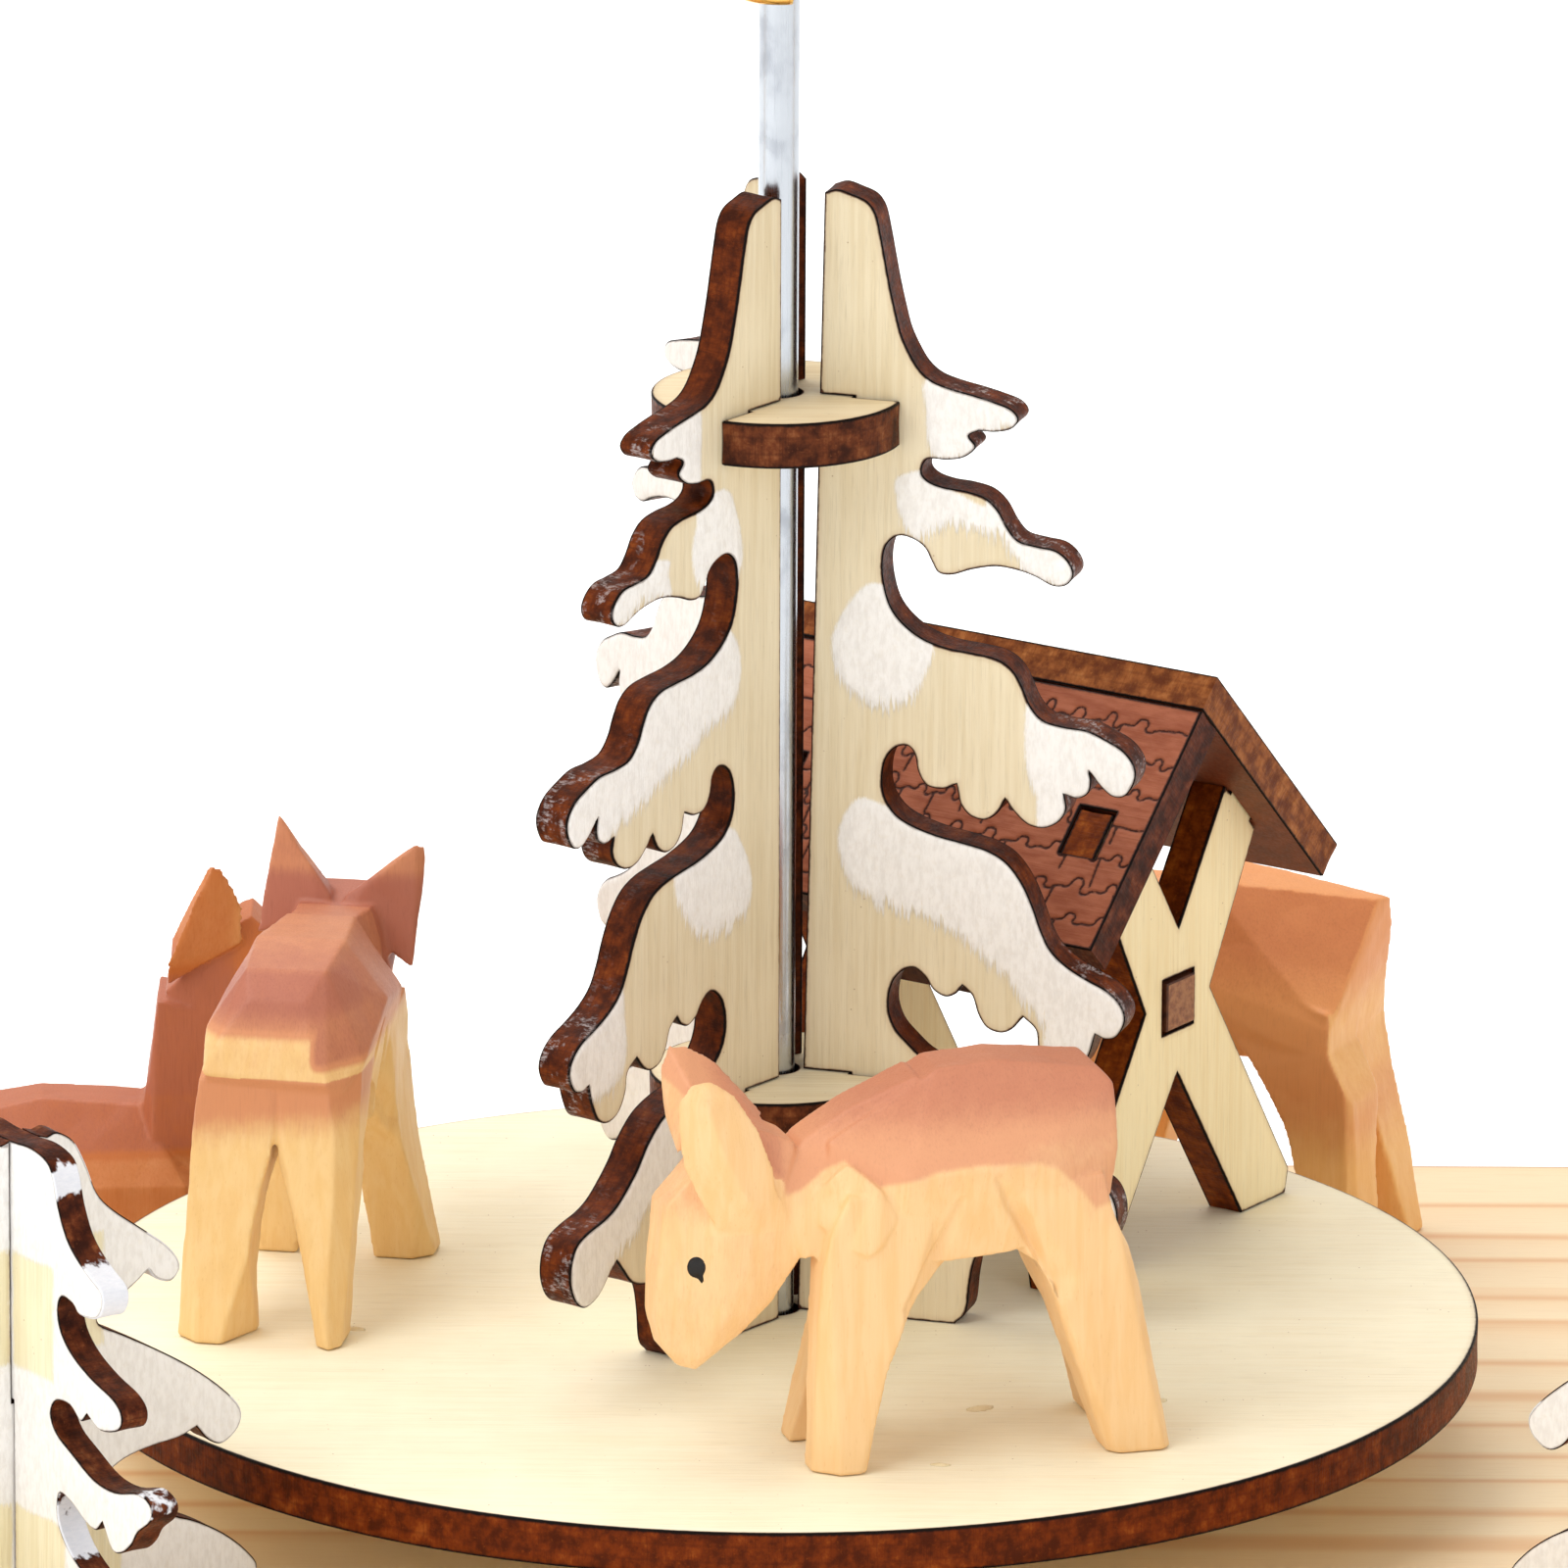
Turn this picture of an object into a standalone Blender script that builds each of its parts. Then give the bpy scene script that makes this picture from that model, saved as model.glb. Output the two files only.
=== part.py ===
"""Candle carousel: a heat-driven table carousel with a laser-cut tree on a turning disc.

Units are metres, +Z is up. The origin is the middle of the footprint, at the
level the feet stand on, so the spindle's axis is the Z axis. +X is to the right
seen from the front and +Y points to the back.
"""
import math

import bmesh
import bpy
from mathutils import Matrix, Vector

MM = 0.001
GAP = 0.3            # clearance between neighbouring pieces, mm

# ---------------------------------------------------------------- dimensions (mm)
FOOT_H = 5.0
FOOT_D = 18.0
BASE_X, BASE_Y, BASE_T = 280.0, 195.0, 12.0
BASE_TOP = FOOT_H + BASE_T                 # 17
DISC_TOP = BASE_TOP + 15.0                 # 32, top of the turning disc
DISC_R, DISC_T = 70.0, 4.5
SHAFT_R = 2.0
SHAFT_HOLE_R = 2.35
COLLAR_R, COLLAR_T = 12.4, 4.5
COLLAR_TOPS = (25.0, 94.2)                 # above the disc
COLLAR_SLOT_R = 7.7                        # the collar's slots run from here to the rim
FIN_T = 4.0
TREE_H = 115.0
FIN_LEAN_TOP = 4.6                         # inner edge of the outermost-leaning fin at its top
FINS = {                                   # direction in degrees, shift sideways, inner edge at the top
    "tree_fin_right": (-16.3, -2.2, 4.6),
    "tree_fin_left": (-128.6, -0.66, 2.8),
    "tree_fin_back": (122.0, 2.75, 2.4),
}
RACK_DIR = math.radians(-34.0)             # the hay rack's ridge, towards its near end
RACK_POS = (40.37, 21.6)                   # near end plate: middle of its front face
RACK_PLATE_T = 4.0
RACK_PITCH = 37.0                          # front face to front face of the end plates
ROOF_T = 4.0
ROOF_L = 50.5
ROOF_RIDGE = 60.0
ROOF_SLOPE = 32.3                          # outer length of a slope
POST_X = 112.0
POST_R = 5.0
BAR_Z = 170.0                              # underside of the crossbar
BAR_L, BAR_W, BAR_T = 252.0, 16.0, 8.0
HUB_Z, HUB_R, HUB_T = 223.0, 17.0, 15.0
N_BLADES = 8
BLADE_PITCH = 38.0                         # degrees from flat
BLADE_R0, BLADE_R1 = 42.0, 140.0
STEM_R = 2.5
CANDLES = ((-122.0, -60.0), (122.0, -60.0), (-122.0, 60.0), (122.0, 60.0))
SMALL_TREES = {"small_tree_left": (-72.3, -62.0), "small_tree_right": (94.0, -62.0)}
SMALL_T = 3.0

# ---------------------------------------------------------------- clean start
for ob in list(bpy.data.objects):
    bpy.data.objects.remove(ob, do_unlink=True)

PARTS = bpy.data.collections.new("candle_carousel")
CUTTERS = bpy.data.collections.new("cutters")
bpy.context.scene.collection.children.link(PARTS)
bpy.context.scene.collection.children.link(CUTTERS)


def material(name, colour, roughness, metallic=0.0):
    mat = bpy.data.materials.new(name)
    mat.use_nodes = True
    bsdf = mat.node_tree.nodes["Principled BSDF"]
    bsdf.inputs["Base Color"].default_value = (*colour, 1.0)
    bsdf.inputs["Roughness"].default_value = roughness
    bsdf.inputs["Metallic"].default_value = metallic
    mat.diffuse_color = (*colour, 1.0)
    return mat


def into(collection, ob):
    for c in list(ob.users_collection):
        c.objects.unlink(ob)
    collection.objects.link(ob)


def finish(ob, name, mat):
    """Name a part, put it in the model's collection and give it its own material."""
    ob.name = name
    ob.data.name = name
    into(PARTS, ob)
    ob.data.materials.clear()
    ob.data.materials.append(mat)
    return ob


def as_cutter(ob, name):
    ob.name = name
    into(CUTTERS, ob)
    ob.hide_render = True
    ob.display_type = "WIRE"
    return ob


# ---------------------------------------------------------------- shape helpers
def smooth(points, steps):
    """Closed Catmull-Rom line through (x, y) points; a third value marks a corner."""
    n = len(points)
    out = []
    for i in range(n):
        p0, p1, p2, p3 = (points[(i + k) % n] for k in (-1, 0, 1, 2))
        a, b = Vector(p1[:2]), Vector(p2[:2])
        ta = (b - a) if len(p1) > 2 else (b - Vector(p0[:2])) * 0.5
        tb = (b - a) if len(p2) > 2 else (Vector(p3[:2]) - a) * 0.5
        straight = len(p1) > 2 and len(p2) > 2
        for k in range(1 if straight else steps):
            t = k / steps
            h1, h2 = 2 * t**3 - 3 * t**2 + 1, t**3 - 2 * t**2 + t
            h3, h4 = -2 * t**3 + 3 * t**2, t**3 - t**2
            p = a * h1 + ta * h2 + b * h3 + tb * h4
            out.append((p.x, p.y))
    return out


def circle(radius, count, cx=0.0, cy=0.0):
    return [(cx + radius * math.cos(2 * math.pi * k / count),
             cy + radius * math.sin(2 * math.pi * k / count)) for k in range(count)]


def plate(name, outline, thickness, matrix, mat, holes=()):
    """A flat piece cut from sheet: outline in local XY, thickness along local Z."""
    cu = bpy.data.curves.new(name, "CURVE")
    cu.dimensions = "2D"
    cu.fill_mode = "BOTH"
    cu.extrude = thickness * MM / 2
    for loop in (outline, *holes):
        sp = cu.splines.new("POLY")
        sp.points.add(len(loop) - 1)
        for q, (x, y) in zip(sp.points, loop):
            q.co = (x * MM, y * MM, 0.0, 1.0)
        sp.use_cyclic_u = True
    ob = bpy.data.objects.new(name, cu)
    bpy.context.scene.collection.objects.link(ob)
    ob.matrix_world = matrix
    return finish(ob, name, mat)


def to_mesh(ob):
    """Turn a curve object into a welded mesh object at the same place."""
    name, mat, world = ob.name, ob.data.materials[0], ob.matrix_world.copy()
    deps = bpy.context.evaluated_depsgraph_get()
    mesh = bpy.data.meshes.new_from_object(ob.evaluated_get(deps))
    bm = bmesh.new()
    bm.from_mesh(mesh)
    bmesh.ops.remove_doubles(bm, verts=bm.verts, dist=1e-6)
    bm.to_mesh(mesh)
    bm.free()
    cu = ob.data
    bpy.data.objects.remove(ob)
    bpy.data.curves.remove(cu)
    new = bpy.data.objects.new(name, mesh)
    bpy.context.scene.collection.objects.link(new)
    new.matrix_world = world
    return finish(new, name, mat)


def turned(name, profile, steps, mat, at=(0, 0, 0), closed=False):
    """A turned piece: profile of (radius, height) mm, outer side from top to bottom."""
    mesh = bpy.data.meshes.new(name)
    verts = [(r * MM, 0.0, z * MM) for r, z in profile]
    edges = [(i, i + 1) for i in range(len(verts) - 1)]
    if closed:
        edges.append((len(verts) - 1, 0))
    mesh.from_pydata(verts, edges, [])
    ob = bpy.data.objects.new(name, mesh)
    bpy.context.scene.collection.objects.link(ob)
    ob.location = [v * MM for v in at]
    mod = ob.modifiers.new("turn", "SCREW")
    mod.axis = "Z"
    mod.angle = 2 * math.pi
    mod.steps = steps
    mod.render_steps = steps
    mod.use_merge_vertices = True
    mod.merge_threshold = 1e-5
    mod.use_smooth_shade = True
    return finish(ob, name, mat)


def block(name, size, at, mat, rot_z=0.0, bevel=0.0, segments=2):
    bpy.ops.mesh.primitive_cube_add(size=1.0)
    ob = bpy.context.object
    for v in ob.data.vertices:
        v.co = Vector((v.co.x * size[0] * MM, v.co.y * size[1] * MM, v.co.z * size[2] * MM))
    ob.location = [v * MM for v in at]
    ob.rotation_euler[2] = rot_z
    if bevel:
        mod = ob.modifiers.new("edges", "BEVEL")
        mod.width = bevel * MM
        mod.segments = segments
        mod.limit_method = "ANGLE"
    return finish(ob, name, mat)


def drill(target, name, radius, top, depth, xy=(0.0, 0.0), sides=24, matrix=None):
    """Cut a round hole from height top downwards (or along matrix's Z)."""
    bm = bmesh.new()
    bmesh.ops.create_cone(bm, cap_ends=True, segments=sides, radius1=radius * MM,
                          radius2=radius * MM, depth=depth * MM)
    mesh = bpy.data.meshes.new(name)
    bm.to_mesh(mesh)
    bm.free()
    ob = bpy.data.objects.new(name, mesh)
    bpy.context.scene.collection.objects.link(ob)
    if matrix is None:
        ob.location = (xy[0] * MM, xy[1] * MM, (top - depth / 2) * MM)
    else:
        ob.matrix_world = matrix
    as_cutter(ob, name)
    mod = target.modifiers.new(name, "BOOLEAN")
    mod.operation = "DIFFERENCE"
    mod.object = ob
    return ob


def upright(direction, shift, z0):
    """Local X runs outwards along direction (degrees), local Y up, local Z sideways."""
    a = math.radians(direction)
    u = Vector((math.cos(a), math.sin(a), 0.0))
    n = Vector((math.sin(a), -math.cos(a), 0.0))
    o = n * shift * MM + Vector((0, 0, z0 * MM))
    return Matrix(((u.x, 0, n.x, o.x), (u.y, 0, n.y, o.y), (0, 1, 0, o.z), (0, 0, 0, 1)))


# ---------------------------------------------------------------- materials
PINE = (0.86, 0.70, 0.50)
LIME = (0.80, 0.60, 0.36)
PLY = (0.80, 0.72, 0.54)
BURNT = (0.22, 0.08, 0.03)
SNOW = (0.90, 0.89, 0.87)

# ---------------------------------------------------------------- base
base = block("base_board", (BASE_X, BASE_Y, BASE_T), (0, 0, FOOT_H + BASE_T / 2),
             material("base_board", PINE, 0.55))
corner = base.modifiers.new("corners", "BEVEL")
corner.width = 26 * MM
corner.segments = 5
corner.limit_method = "WEIGHT"
layer = base.data.attributes.new("bevel_weight_edge", "FLOAT", "EDGE")
for e in base.data.edges:
    p, q = (base.data.vertices[i].co for i in e.vertices)
    layer.data[e.index].value = 1.0 if abs(p.z - q.z) > 1e-6 else 0.0
rim = base.modifiers.new("rim", "BEVEL")
rim.width = 2.2 * MM
rim.segments = 2
rim.limit_method = "ANGLE"
rim.angle_limit = math.radians(60)

drill(base, "cut_bearing", 6.0, BASE_TOP + 1, 9.6, sides=28)
for sx in (-1, 1):
    drill(base, "cut_post_%d" % sx, 3.4, BASE_TOP + 1, 9.0, xy=(sx * POST_X, 0), sides=16)

for k, (sx, sy) in enumerate(((-1, -1), (1, -1), (-1, 1), (1, 1)), 1):
    turned("base_foot_%d" % k, [(0, FOOT_H - GAP), (FOOT_D / 2, FOOT_H - GAP), (FOOT_D / 2, 1.6),
                                (FOOT_D / 2 - 1.4, 0), (0, 0)], 24,
           material("base_foot_%d" % k, (0.45, 0.30, 0.18), 0.6), at=(sx * 112, sy * 70, 0))

# glass bearing cup let into the board; the spindle's point turns in its hollow
turned("bearing_cup", [(0.0, 11.0), (1.2, 12.3), (3.6, 16.6), (5.2, 16.8), (5.7, 16.2), (5.7, 9.2),
                       (5.4, 8.8), (0.0, 8.8)], 20, material("bearing_cup", (0.75, 0.80, 0.80), 0.1))

# ---------------------------------------------------------------- frame
for side, sx in (("left", -1), ("right", 1)):
    z0, z1 = BASE_TOP + GAP, BAR_Z - GAP
    prof = [(0, z1 + 6.0), (2.9, z1 + 6.0), (3.0, z1), (6.2, z1), (6.6, z1 - 2.5), (5.0, z1 - 5.0),
            (4.3, z1 - 9.0), (5.0, z1 - 40), (5.2, z0 + 55), (4.3, z0 + 18), (5.6, z0 + 13),
            (7.4, z0 + 8.0), (7.6, z0 + 2.0), (7.2, z0), (3.0, z0), (2.9, z0 - 7.0), (0, z0 - 7.0)]
    turned("post_" + side, prof, 16, material("post_" + side, PINE, 0.5), at=(sx * POST_X, 0, 0))

bar = block("crossbar", (BAR_L, BAR_W, BAR_T), (0, 0, BAR_Z + BAR_T / 2),
            material("crossbar", PINE, 0.5), bevel=1.2, segments=2)
drill(bar, "cut_bar_shaft", 3.0, BAR_Z + BAR_T + 1, BAR_T + 2, sides=20)
for sx in (-1, 1):
    drill(bar, "cut_bar_post_%d" % sx, 3.4, BAR_Z + 7.0, 8.0, xy=(sx * POST_X, 0), sides=16)
HOOK_XY = (-5.4, 3.4)
drill(bar, "cut_bar_hook", 1.3, BAR_Z + 4.0, 5.0, xy=HOOK_XY, sides=12)

# open brass hook under the crossbar: it steadies the spindle
cu = bpy.data.curves.new("guide_hook", "CURVE")
cu.dimensions = "3D"
cu.bevel_depth = 0.9 * MM
cu.bevel_resolution = 1
cu.use_fill_caps = True
HOOK_Z = DISC_TOP + 134.9
pts = []
for k in range(13):                        # the open ring round the spindle
    a = math.radians(-72 - k * 15.0)
    pts.append((3.7 * math.cos(a), 3.7 * math.sin(a), HOOK_Z))
pts += [(-2.4, 4.9, HOOK_Z + 0.2), (-4.2, 4.8, HOOK_Z + 0.9),
        (HOOK_XY[0], HOOK_XY[1] + 0.4, HOOK_Z + 2.0), (HOOK_XY[0], HOOK_XY[1], HOOK_Z + 3.0),
        (HOOK_XY[0], HOOK_XY[1], BAR_Z + 3.4)]
sp = cu.splines.new("POLY")
sp.points.add(len(pts) - 1)
for q, p in zip(sp.points, pts):
    q.co = (p[0] * MM, p[1] * MM, p[2] * MM, 1.0)
hook = bpy.data.objects.new("guide_hook", cu)
bpy.context.scene.collection.objects.link(hook)
finish(hook, "guide_hook", material("guide_hook", (0.78, 0.58, 0.22), 0.25, 1.0))

# ---------------------------------------------------------------- candle holders
for i, (cx, cy) in enumerate(CANDLES, 1):
    z0 = BASE_TOP + GAP
    prof = [(0, z0 + 4.0), (8.2, z0 + 4.0), (8.2, z0 + 17.5), (10.0, z0 + 17.5), (11.2, z0 + 16.0),
            (11.0, z0 + 13.0), (9.6, z0 + 9.5), (9.4, z0 + 7.5), (10.8, z0 + 4.5), (11.5, z0 + 2.0),
            (11.3, z0), (0, z0)]
    turned("candle_holder_%d" % i, prof, 18, material("candle_holder_%d" % i, (0.78, 0.55, 0.32), 0.45),
           at=(cx, cy, 0))
    zc = z0 + 4.0 + GAP
    cup = [(0, zc + 0.8), (6.9, zc + 0.8), (6.9, zc + 14.6), (11.8, zc + 14.6), (14.6, zc + 16.0),
           (14.8, zc + 15.4), (11.9, zc + 13.9), (7.9, zc + 13.9), (7.8, zc), (0, zc)]
    turned("candle_cup_%d" % i, cup, 20, material("candle_cup_%d" % i, (0.80, 0.60, 0.25), 0.25, 1.0),
           at=(cx, cy, 0))

# ---------------------------------------------------------------- small trees on the base
C = "corner"
SMALL_A = [(7.6, 0.3, C), (8.4, 2.6), (12.0, 2.0), (14.2, 3.8, C), (16.5, 1.8), (20.0, 1.4),
           (22.0, 3.2, C), (24.2, 1.8), (26.6, 2.6), (26.8, 4.8), (24.2, 7.2), (20.6, 9.2), (18.2, 12.2),
           (15.2, 14.6), (12.2, 15.4), (14.6, 15.4), (16.8, 17.2, C), (19.4, 15.2), (22.6, 15.4),
           (24.8, 17.4), (24.4, 19.8), (21.8, 21.8), (18.4, 24.2), (15.4, 27.0), (12.0, 29.0),
           (9.8, 30.6), (11.8, 31.4), (13.6, 33.0, C), (15.6, 32.2), (17.4, 33.8), (17.0, 36.0),
           (14.2, 38.2), (11.0, 41.0), (8.4, 44.6), (6.0, 48.8), (4.0, 51.2), (1.8, 52.0)]
SMALL_B = [(7.6, 0.3, C), (8.6, 2.8), (13.0, 2.2), (16.0, 4.0, C), (19.5, 2.2), (24.0, 2.8),
           (25.8, 5.0), (23.4, 8.0), (20.0, 10.2), (16.4, 12.2), (13.2, 14.0), (16.0, 14.8),
           (18.8, 16.6, C), (22.6, 17.0), (25.4, 19.2), (24.8, 21.8), (21.4, 23.0), (17.4, 23.8),
           (13.6, 24.8), (12.2, 26.2), (15.4, 26.2), (18.4, 26.8), (20.7, 28.6), (20.2, 31.0),
           (16.8, 32.8), (13.6, 34.6), (11.2, 36.6), (13.4, 37.8), (15.8, 39.0), (16.6, 41.2),
           (15.0, 43.4), (12.0, 45.0), (9.0, 47.4), (6.4, 49.6), (4.0, 51.2), (1.8, 52.0)]


def small_tree_outline(half, slot_from_top):
    """Both halves of a small tree's panel, with the slot that crosses the other panel."""
    w = SMALL_T / 2 + GAP
    left = [(-p[0], *p[1:]) for p in reversed(half)]
    if slot_from_top:
        middle = [(w, 52.0, C), (w, 25.7, C), (-w, 25.7, C), (-w, 52.0, C)]
        pts = half[:-1] + [(2.6, 51.8, C)] + middle + [(-2.6, 51.8, C)] + left[1:]
        foot = []
    else:
        foot = [(-w, 0.3, C), (-w, 26.3, C), (w, 26.3, C), (w, 0.3, C)]
        pts = half + left
    return foot + pts


for tree, (tx, ty) in SMALL_TREES.items():
    place = Matrix.Translation((tx * MM, ty * MM, 0))
    mirror = -1 if tree.endswith("right") else 1
    for tag, half, ang, top in (("a", SMALL_A, 35.0, True), ("b", SMALL_B, -55.0, False)):
        line = smooth(small_tree_outline(half, top), 1)
        plate("%s_panel_%s" % (tree, tag), line, SMALL_T,
              place @ upright(ang * mirror, 0.0, BASE_TOP),
              material("%s_panel_%s" % (tree, tag), SNOW, 0.6))

# ---------------------------------------------------------------- spindle and disc
turned("spindle", [(0, HUB_Z + 3.0), (1.6, HUB_Z + 3.0), (2.0, HUB_Z + 2.4), (2.0, 16.0), (0.5, 12.0), (0, 11.6)], 16,
       material("spindle", (0.80, 0.81, 0.83), 0.12, 1.0))

plate("turntable_disc", circle(DISC_R, 80), DISC_T,
      Matrix.Translation((0, 0, (DISC_TOP - DISC_T / 2) * MM)),
      material("turntable_disc", PLY, 0.6), holes=[circle(SHAFT_HOLE_R, 16)])

turned("disc_hub", [(SHAFT_HOLE_R, DISC_TOP - DISC_T - GAP), (11.0, DISC_TOP - DISC_T - GAP),
                    (11.0, 22.6), (9.0, 20.6), (SHAFT_HOLE_R, 20.6)], 24,
       material("disc_hub", (0.70, 0.52, 0.30), 0.5), closed=True)


def collar_outline():
    """A round collar whose slots let the fins in from the rim."""
    w = FIN_T / 2 + GAP
    marks = []
    for direction, shift, _top in FINS.values():
        a = math.radians(direction)
        marks.append((a % (2 * math.pi), shift))
    marks.sort()
    out = []
    for k, (a, shift) in enumerate(marks):
        u = Vector((math.cos(a), math.sin(a)))
        n = Vector((math.sin(a), -math.cos(a)))
        lo, hi = shift + w, shift - w          # n points clockwise, so +w comes first
        for side in (lo, hi):
            r = math.sqrt(COLLAR_R**2 - side**2)
            rim_pt = u * r + n * side
            in_pt = u * COLLAR_SLOT_R + n * side
            pair = (rim_pt, in_pt) if side == lo else (in_pt, rim_pt)
            out.extend((p.x, p.y) for p in pair)
        a0 = math.atan2(out[-1][1], out[-1][0])
        na, nshift = marks[(k + 1) % len(marks)]
        nu, nn = Vector((math.cos(na), math.sin(na))), Vector((math.sin(na), -math.cos(na)))
        nside = nshift + w
        q = nu * math.sqrt(COLLAR_R**2 - nside**2) + nn * nside
        a1 = math.atan2(q.y, q.x)
        while a1 < a0:
            a1 += 2 * math.pi
        steps = 16
        for s in range(1, steps):
            t = a0 + (a1 - a0) * s / steps
            out.append((COLLAR_R * math.cos(t), COLLAR_R * math.sin(t)))
    return out


for tag, top in zip(("lower", "upper"), COLLAR_TOPS):
    plate("tree_collar_" + tag, collar_outline(), COLLAR_T,
          Matrix.Translation((0, 0, (DISC_TOP + top - COLLAR_T / 2) * MM)),
          material("tree_collar_" + tag, PLY, 0.6), holes=[circle(SHAFT_HOLE_R, 16)])

# ---------------------------------------------------------------- the tree's fins
# outer outline of a half tree, from its foot up to its top: (radius, height)
HALF_TREE = [
    (18.6, 0.3, C), (19.8, 1.4), (20.2, 4.6), (20.8, 7.2), (22.0, 8.6),
    (24.2, 8.9), (25.8, 9.6), (27.0, 11.0), (28.1, 12.3, C),                  # lowest tier
    (29.0, 11.4), (30.2, 9.9), (31.4, 9.0), (33.0, 8.7), (34.4, 9.7), (35.2, 11.6), (35.1, 13.7),
    (34.2, 15.4), (32.4, 16.3), (30.0, 17.0), (28.2, 17.9), (26.6, 19.3), (25.0, 21.0), (23.4, 23.2),
    (21.2, 25.2), (18.6, 26.3), (15.6, 27.1), (13.6, 28.7), (12.2, 30.3), (11.6, 32.3), (11.9, 34.5),
    (12.8, 35.9), (14.1, 36.5), (15.3, 35.7), (16.2, 34.4), (17.4, 33.8), (18.5, 34.2),   # fourth tier
    (19.2, 35.1, C), (20.2, 34.1), (20.8, 32.3), (21.7, 31.0), (23.1, 30.6), (24.3, 31.1),
    (25.4, 32.4, C), (26.7, 31.2), (27.0, 29.3), (28.0, 27.5), (29.6, 26.8), (31.2, 27.4),
    (32.2, 29.2), (32.8, 31.3, C), (33.8, 30.9), (35.0, 31.3), (35.8, 33.0),
    (35.3, 34.6), (33.9, 35.9), (31.8, 36.9), (29.7, 38.1), (28.1, 39.6), (27.1, 41.6), (26.3, 43.8),
    (25.2, 46.1), (23.6, 48.1), (21.6, 49.2), (19.0, 49.8), (16.4, 50.3), (13.9, 51.1), (12.2, 52.1),
    (11.1, 53.7), (10.8, 55.6), (11.1, 57.5), (12.0, 58.8), (13.3, 59.2), (14.1, 58.4),    # third tier
    (14.5, 56.6), (15.4, 55.3), (17.0, 55.1), (18.4, 55.7, C), (18.8, 53.8), (19.8, 52.6),
    (21.3, 52.3), (22.6, 53.1), (23.4, 54.6, C), (24.3, 53.4), (25.7, 52.2), (27.4, 52.0),
    (28.9, 52.8), (29.6, 54.1), (29.4, 55.6, C), (30.7, 55.3), (31.8, 55.9), (32.1, 57.1),
    (31.9, 58.2, C), (33.0, 56.8), (34.3, 55.8), (35.6, 56.0), (36.5, 57.5),
    (36.5, 59.0), (35.4, 60.5), (33.6, 61.5), (31.6, 62.3), (29.2, 62.5), (27.1, 63.0), (25.8, 64.4),
    (25.0, 66.2), (24.0, 67.8), (22.4, 68.8), (20.0, 69.2), (17.4, 69.5), (15.0, 70.2), (13.0, 71.5),
    (11.6, 73.2), (10.9, 75.4), (10.7, 77.6), (11.1, 79.5), (12.3, 80.5), (13.8, 80.3),    # second tier
    (15.0, 79.5), (15.7, 78.2), (16.4, 77.1), (17.8, 77.0), (19.8, 77.7), (22.2, 78.2), (24.4, 78.0),
    (26.2, 77.5), (28.0, 76.7), (29.4, 76.9), (30.1, 78.0), (29.6, 79.3), (28.3, 80.3), (26.3, 80.6),
    (24.5, 81.0), (23.4, 82.2), (22.4, 83.9), (21.0, 85.1), (19.0, 85.6), (16.9, 85.8), (15.3, 86.3),
    (14.6, 87.2), (15.2, 88.5), (17.2, 88.6), (18.9, 89.0), (20.1, 90.1), (19.4, 91.2),
    (20.4, 91.8, C), (22.0, 91.8), (23.6, 92.2), (24.4, 93.2), (23.7, 94.2), (22.0, 94.8),  # top tier
    (20.0, 95.3), (17.6, 95.8), (15.7, 96.4), (14.4, 97.4), (13.4, 98.9), (12.5, 100.8), (11.9, 103.0),
    (11.3, 105.6), (10.8, 108.2), (10.3, 110.8), (9.8, 112.8), (8.9, 114.0), (7.4, 114.6), (5.9, 115.0),
]


def fin_outline(inner_top, steps):
    def inner(z):
        return 2.4 + (inner_top - 2.4) * z / TREE_H
    notch = COLLAR_SLOT_R + GAP
    # the three fins are alike but stand at slightly different leans
    lean = FIN_LEAN_TOP - inner_top
    pts = [(r - lean * z / TREE_H, z, *c) for r, z, *c in HALF_TREE] + [(inner(114.6), 114.6, C)]
    for top in reversed(COLLAR_TOPS):
        hi, lo = top + GAP, top - COLLAR_T - GAP
        pts += [(inner(hi), hi, C), (notch, hi, C), (notch, lo, C), (inner(lo), lo, C)]
    pts.append((2.4, 0.3, C))
    return smooth(pts, steps)


for name, (direction, shift, inner_top) in FINS.items():
    plate(name, fin_outline(inner_top, 1), FIN_T, upright(direction, shift, DISC_TOP),
          material(name, PLY, 0.6))

# ---------------------------------------------------------------- hay rack
rd = Vector((math.cos(RACK_DIR), math.sin(RACK_DIR), 0))        # along the ridge, to the near end
hd = Vector((-rd.y, rd.x, 0))                                   # across the rack, to the far side
RACK_O = Vector((RACK_POS[0], RACK_POS[1], DISC_TOP))


def rack_matrix(along, across, up, xa, ya):
    """Local X and Y given as (along, across, up) directions; origin the same way, mm."""
    def world(v):
        return rd * v[0] + hd * v[1] + Vector((0, 0, v[2]))
    x, y = world(xa).normalized(), world(ya).normalized()
    z = x.cross(y)
    o = (RACK_O + world((along, across, up))) * MM
    return Matrix(((x.x, y.x, z.x, o.x), (x.y, y.y, z.y, o.y), (x.z, y.z, z.z, o.z), (0, 0, 0, 1)))


def rack_end_outline():
    """An X-shaped end plate with a tenon on each arm for the roof."""
    right = [(0.0, 33.2), (6.7, 43.2)]
    slope = Vector((1, -1)).normalized()
    out = Vector((1, 1)).normalized()
    under = ROOF_RIDGE - ROOF_T * math.sqrt(2)          # roof's underside at the middle
    a = Vector((8.4, under - 8.4)) - out * GAP
    t0, t1 = a + slope * 1.4, a + slope * 6.6
    b = a + slope * 8.0
    tip = out * (ROOF_T + GAP - 0.1)
    for p in (a, t0, t0 + tip, t1 + tip, t1, b):
        right.append((p.x, p.y))
    right[1:2] = []
    right += [(6.0, 25.6), (21.2, 2.6), (20.6, 0.3), (12.4, 0.3), (0.0, 18.0)]
    left = [(-x, y) for x, y in reversed(right[1:-1])]
    return right + left


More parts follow.
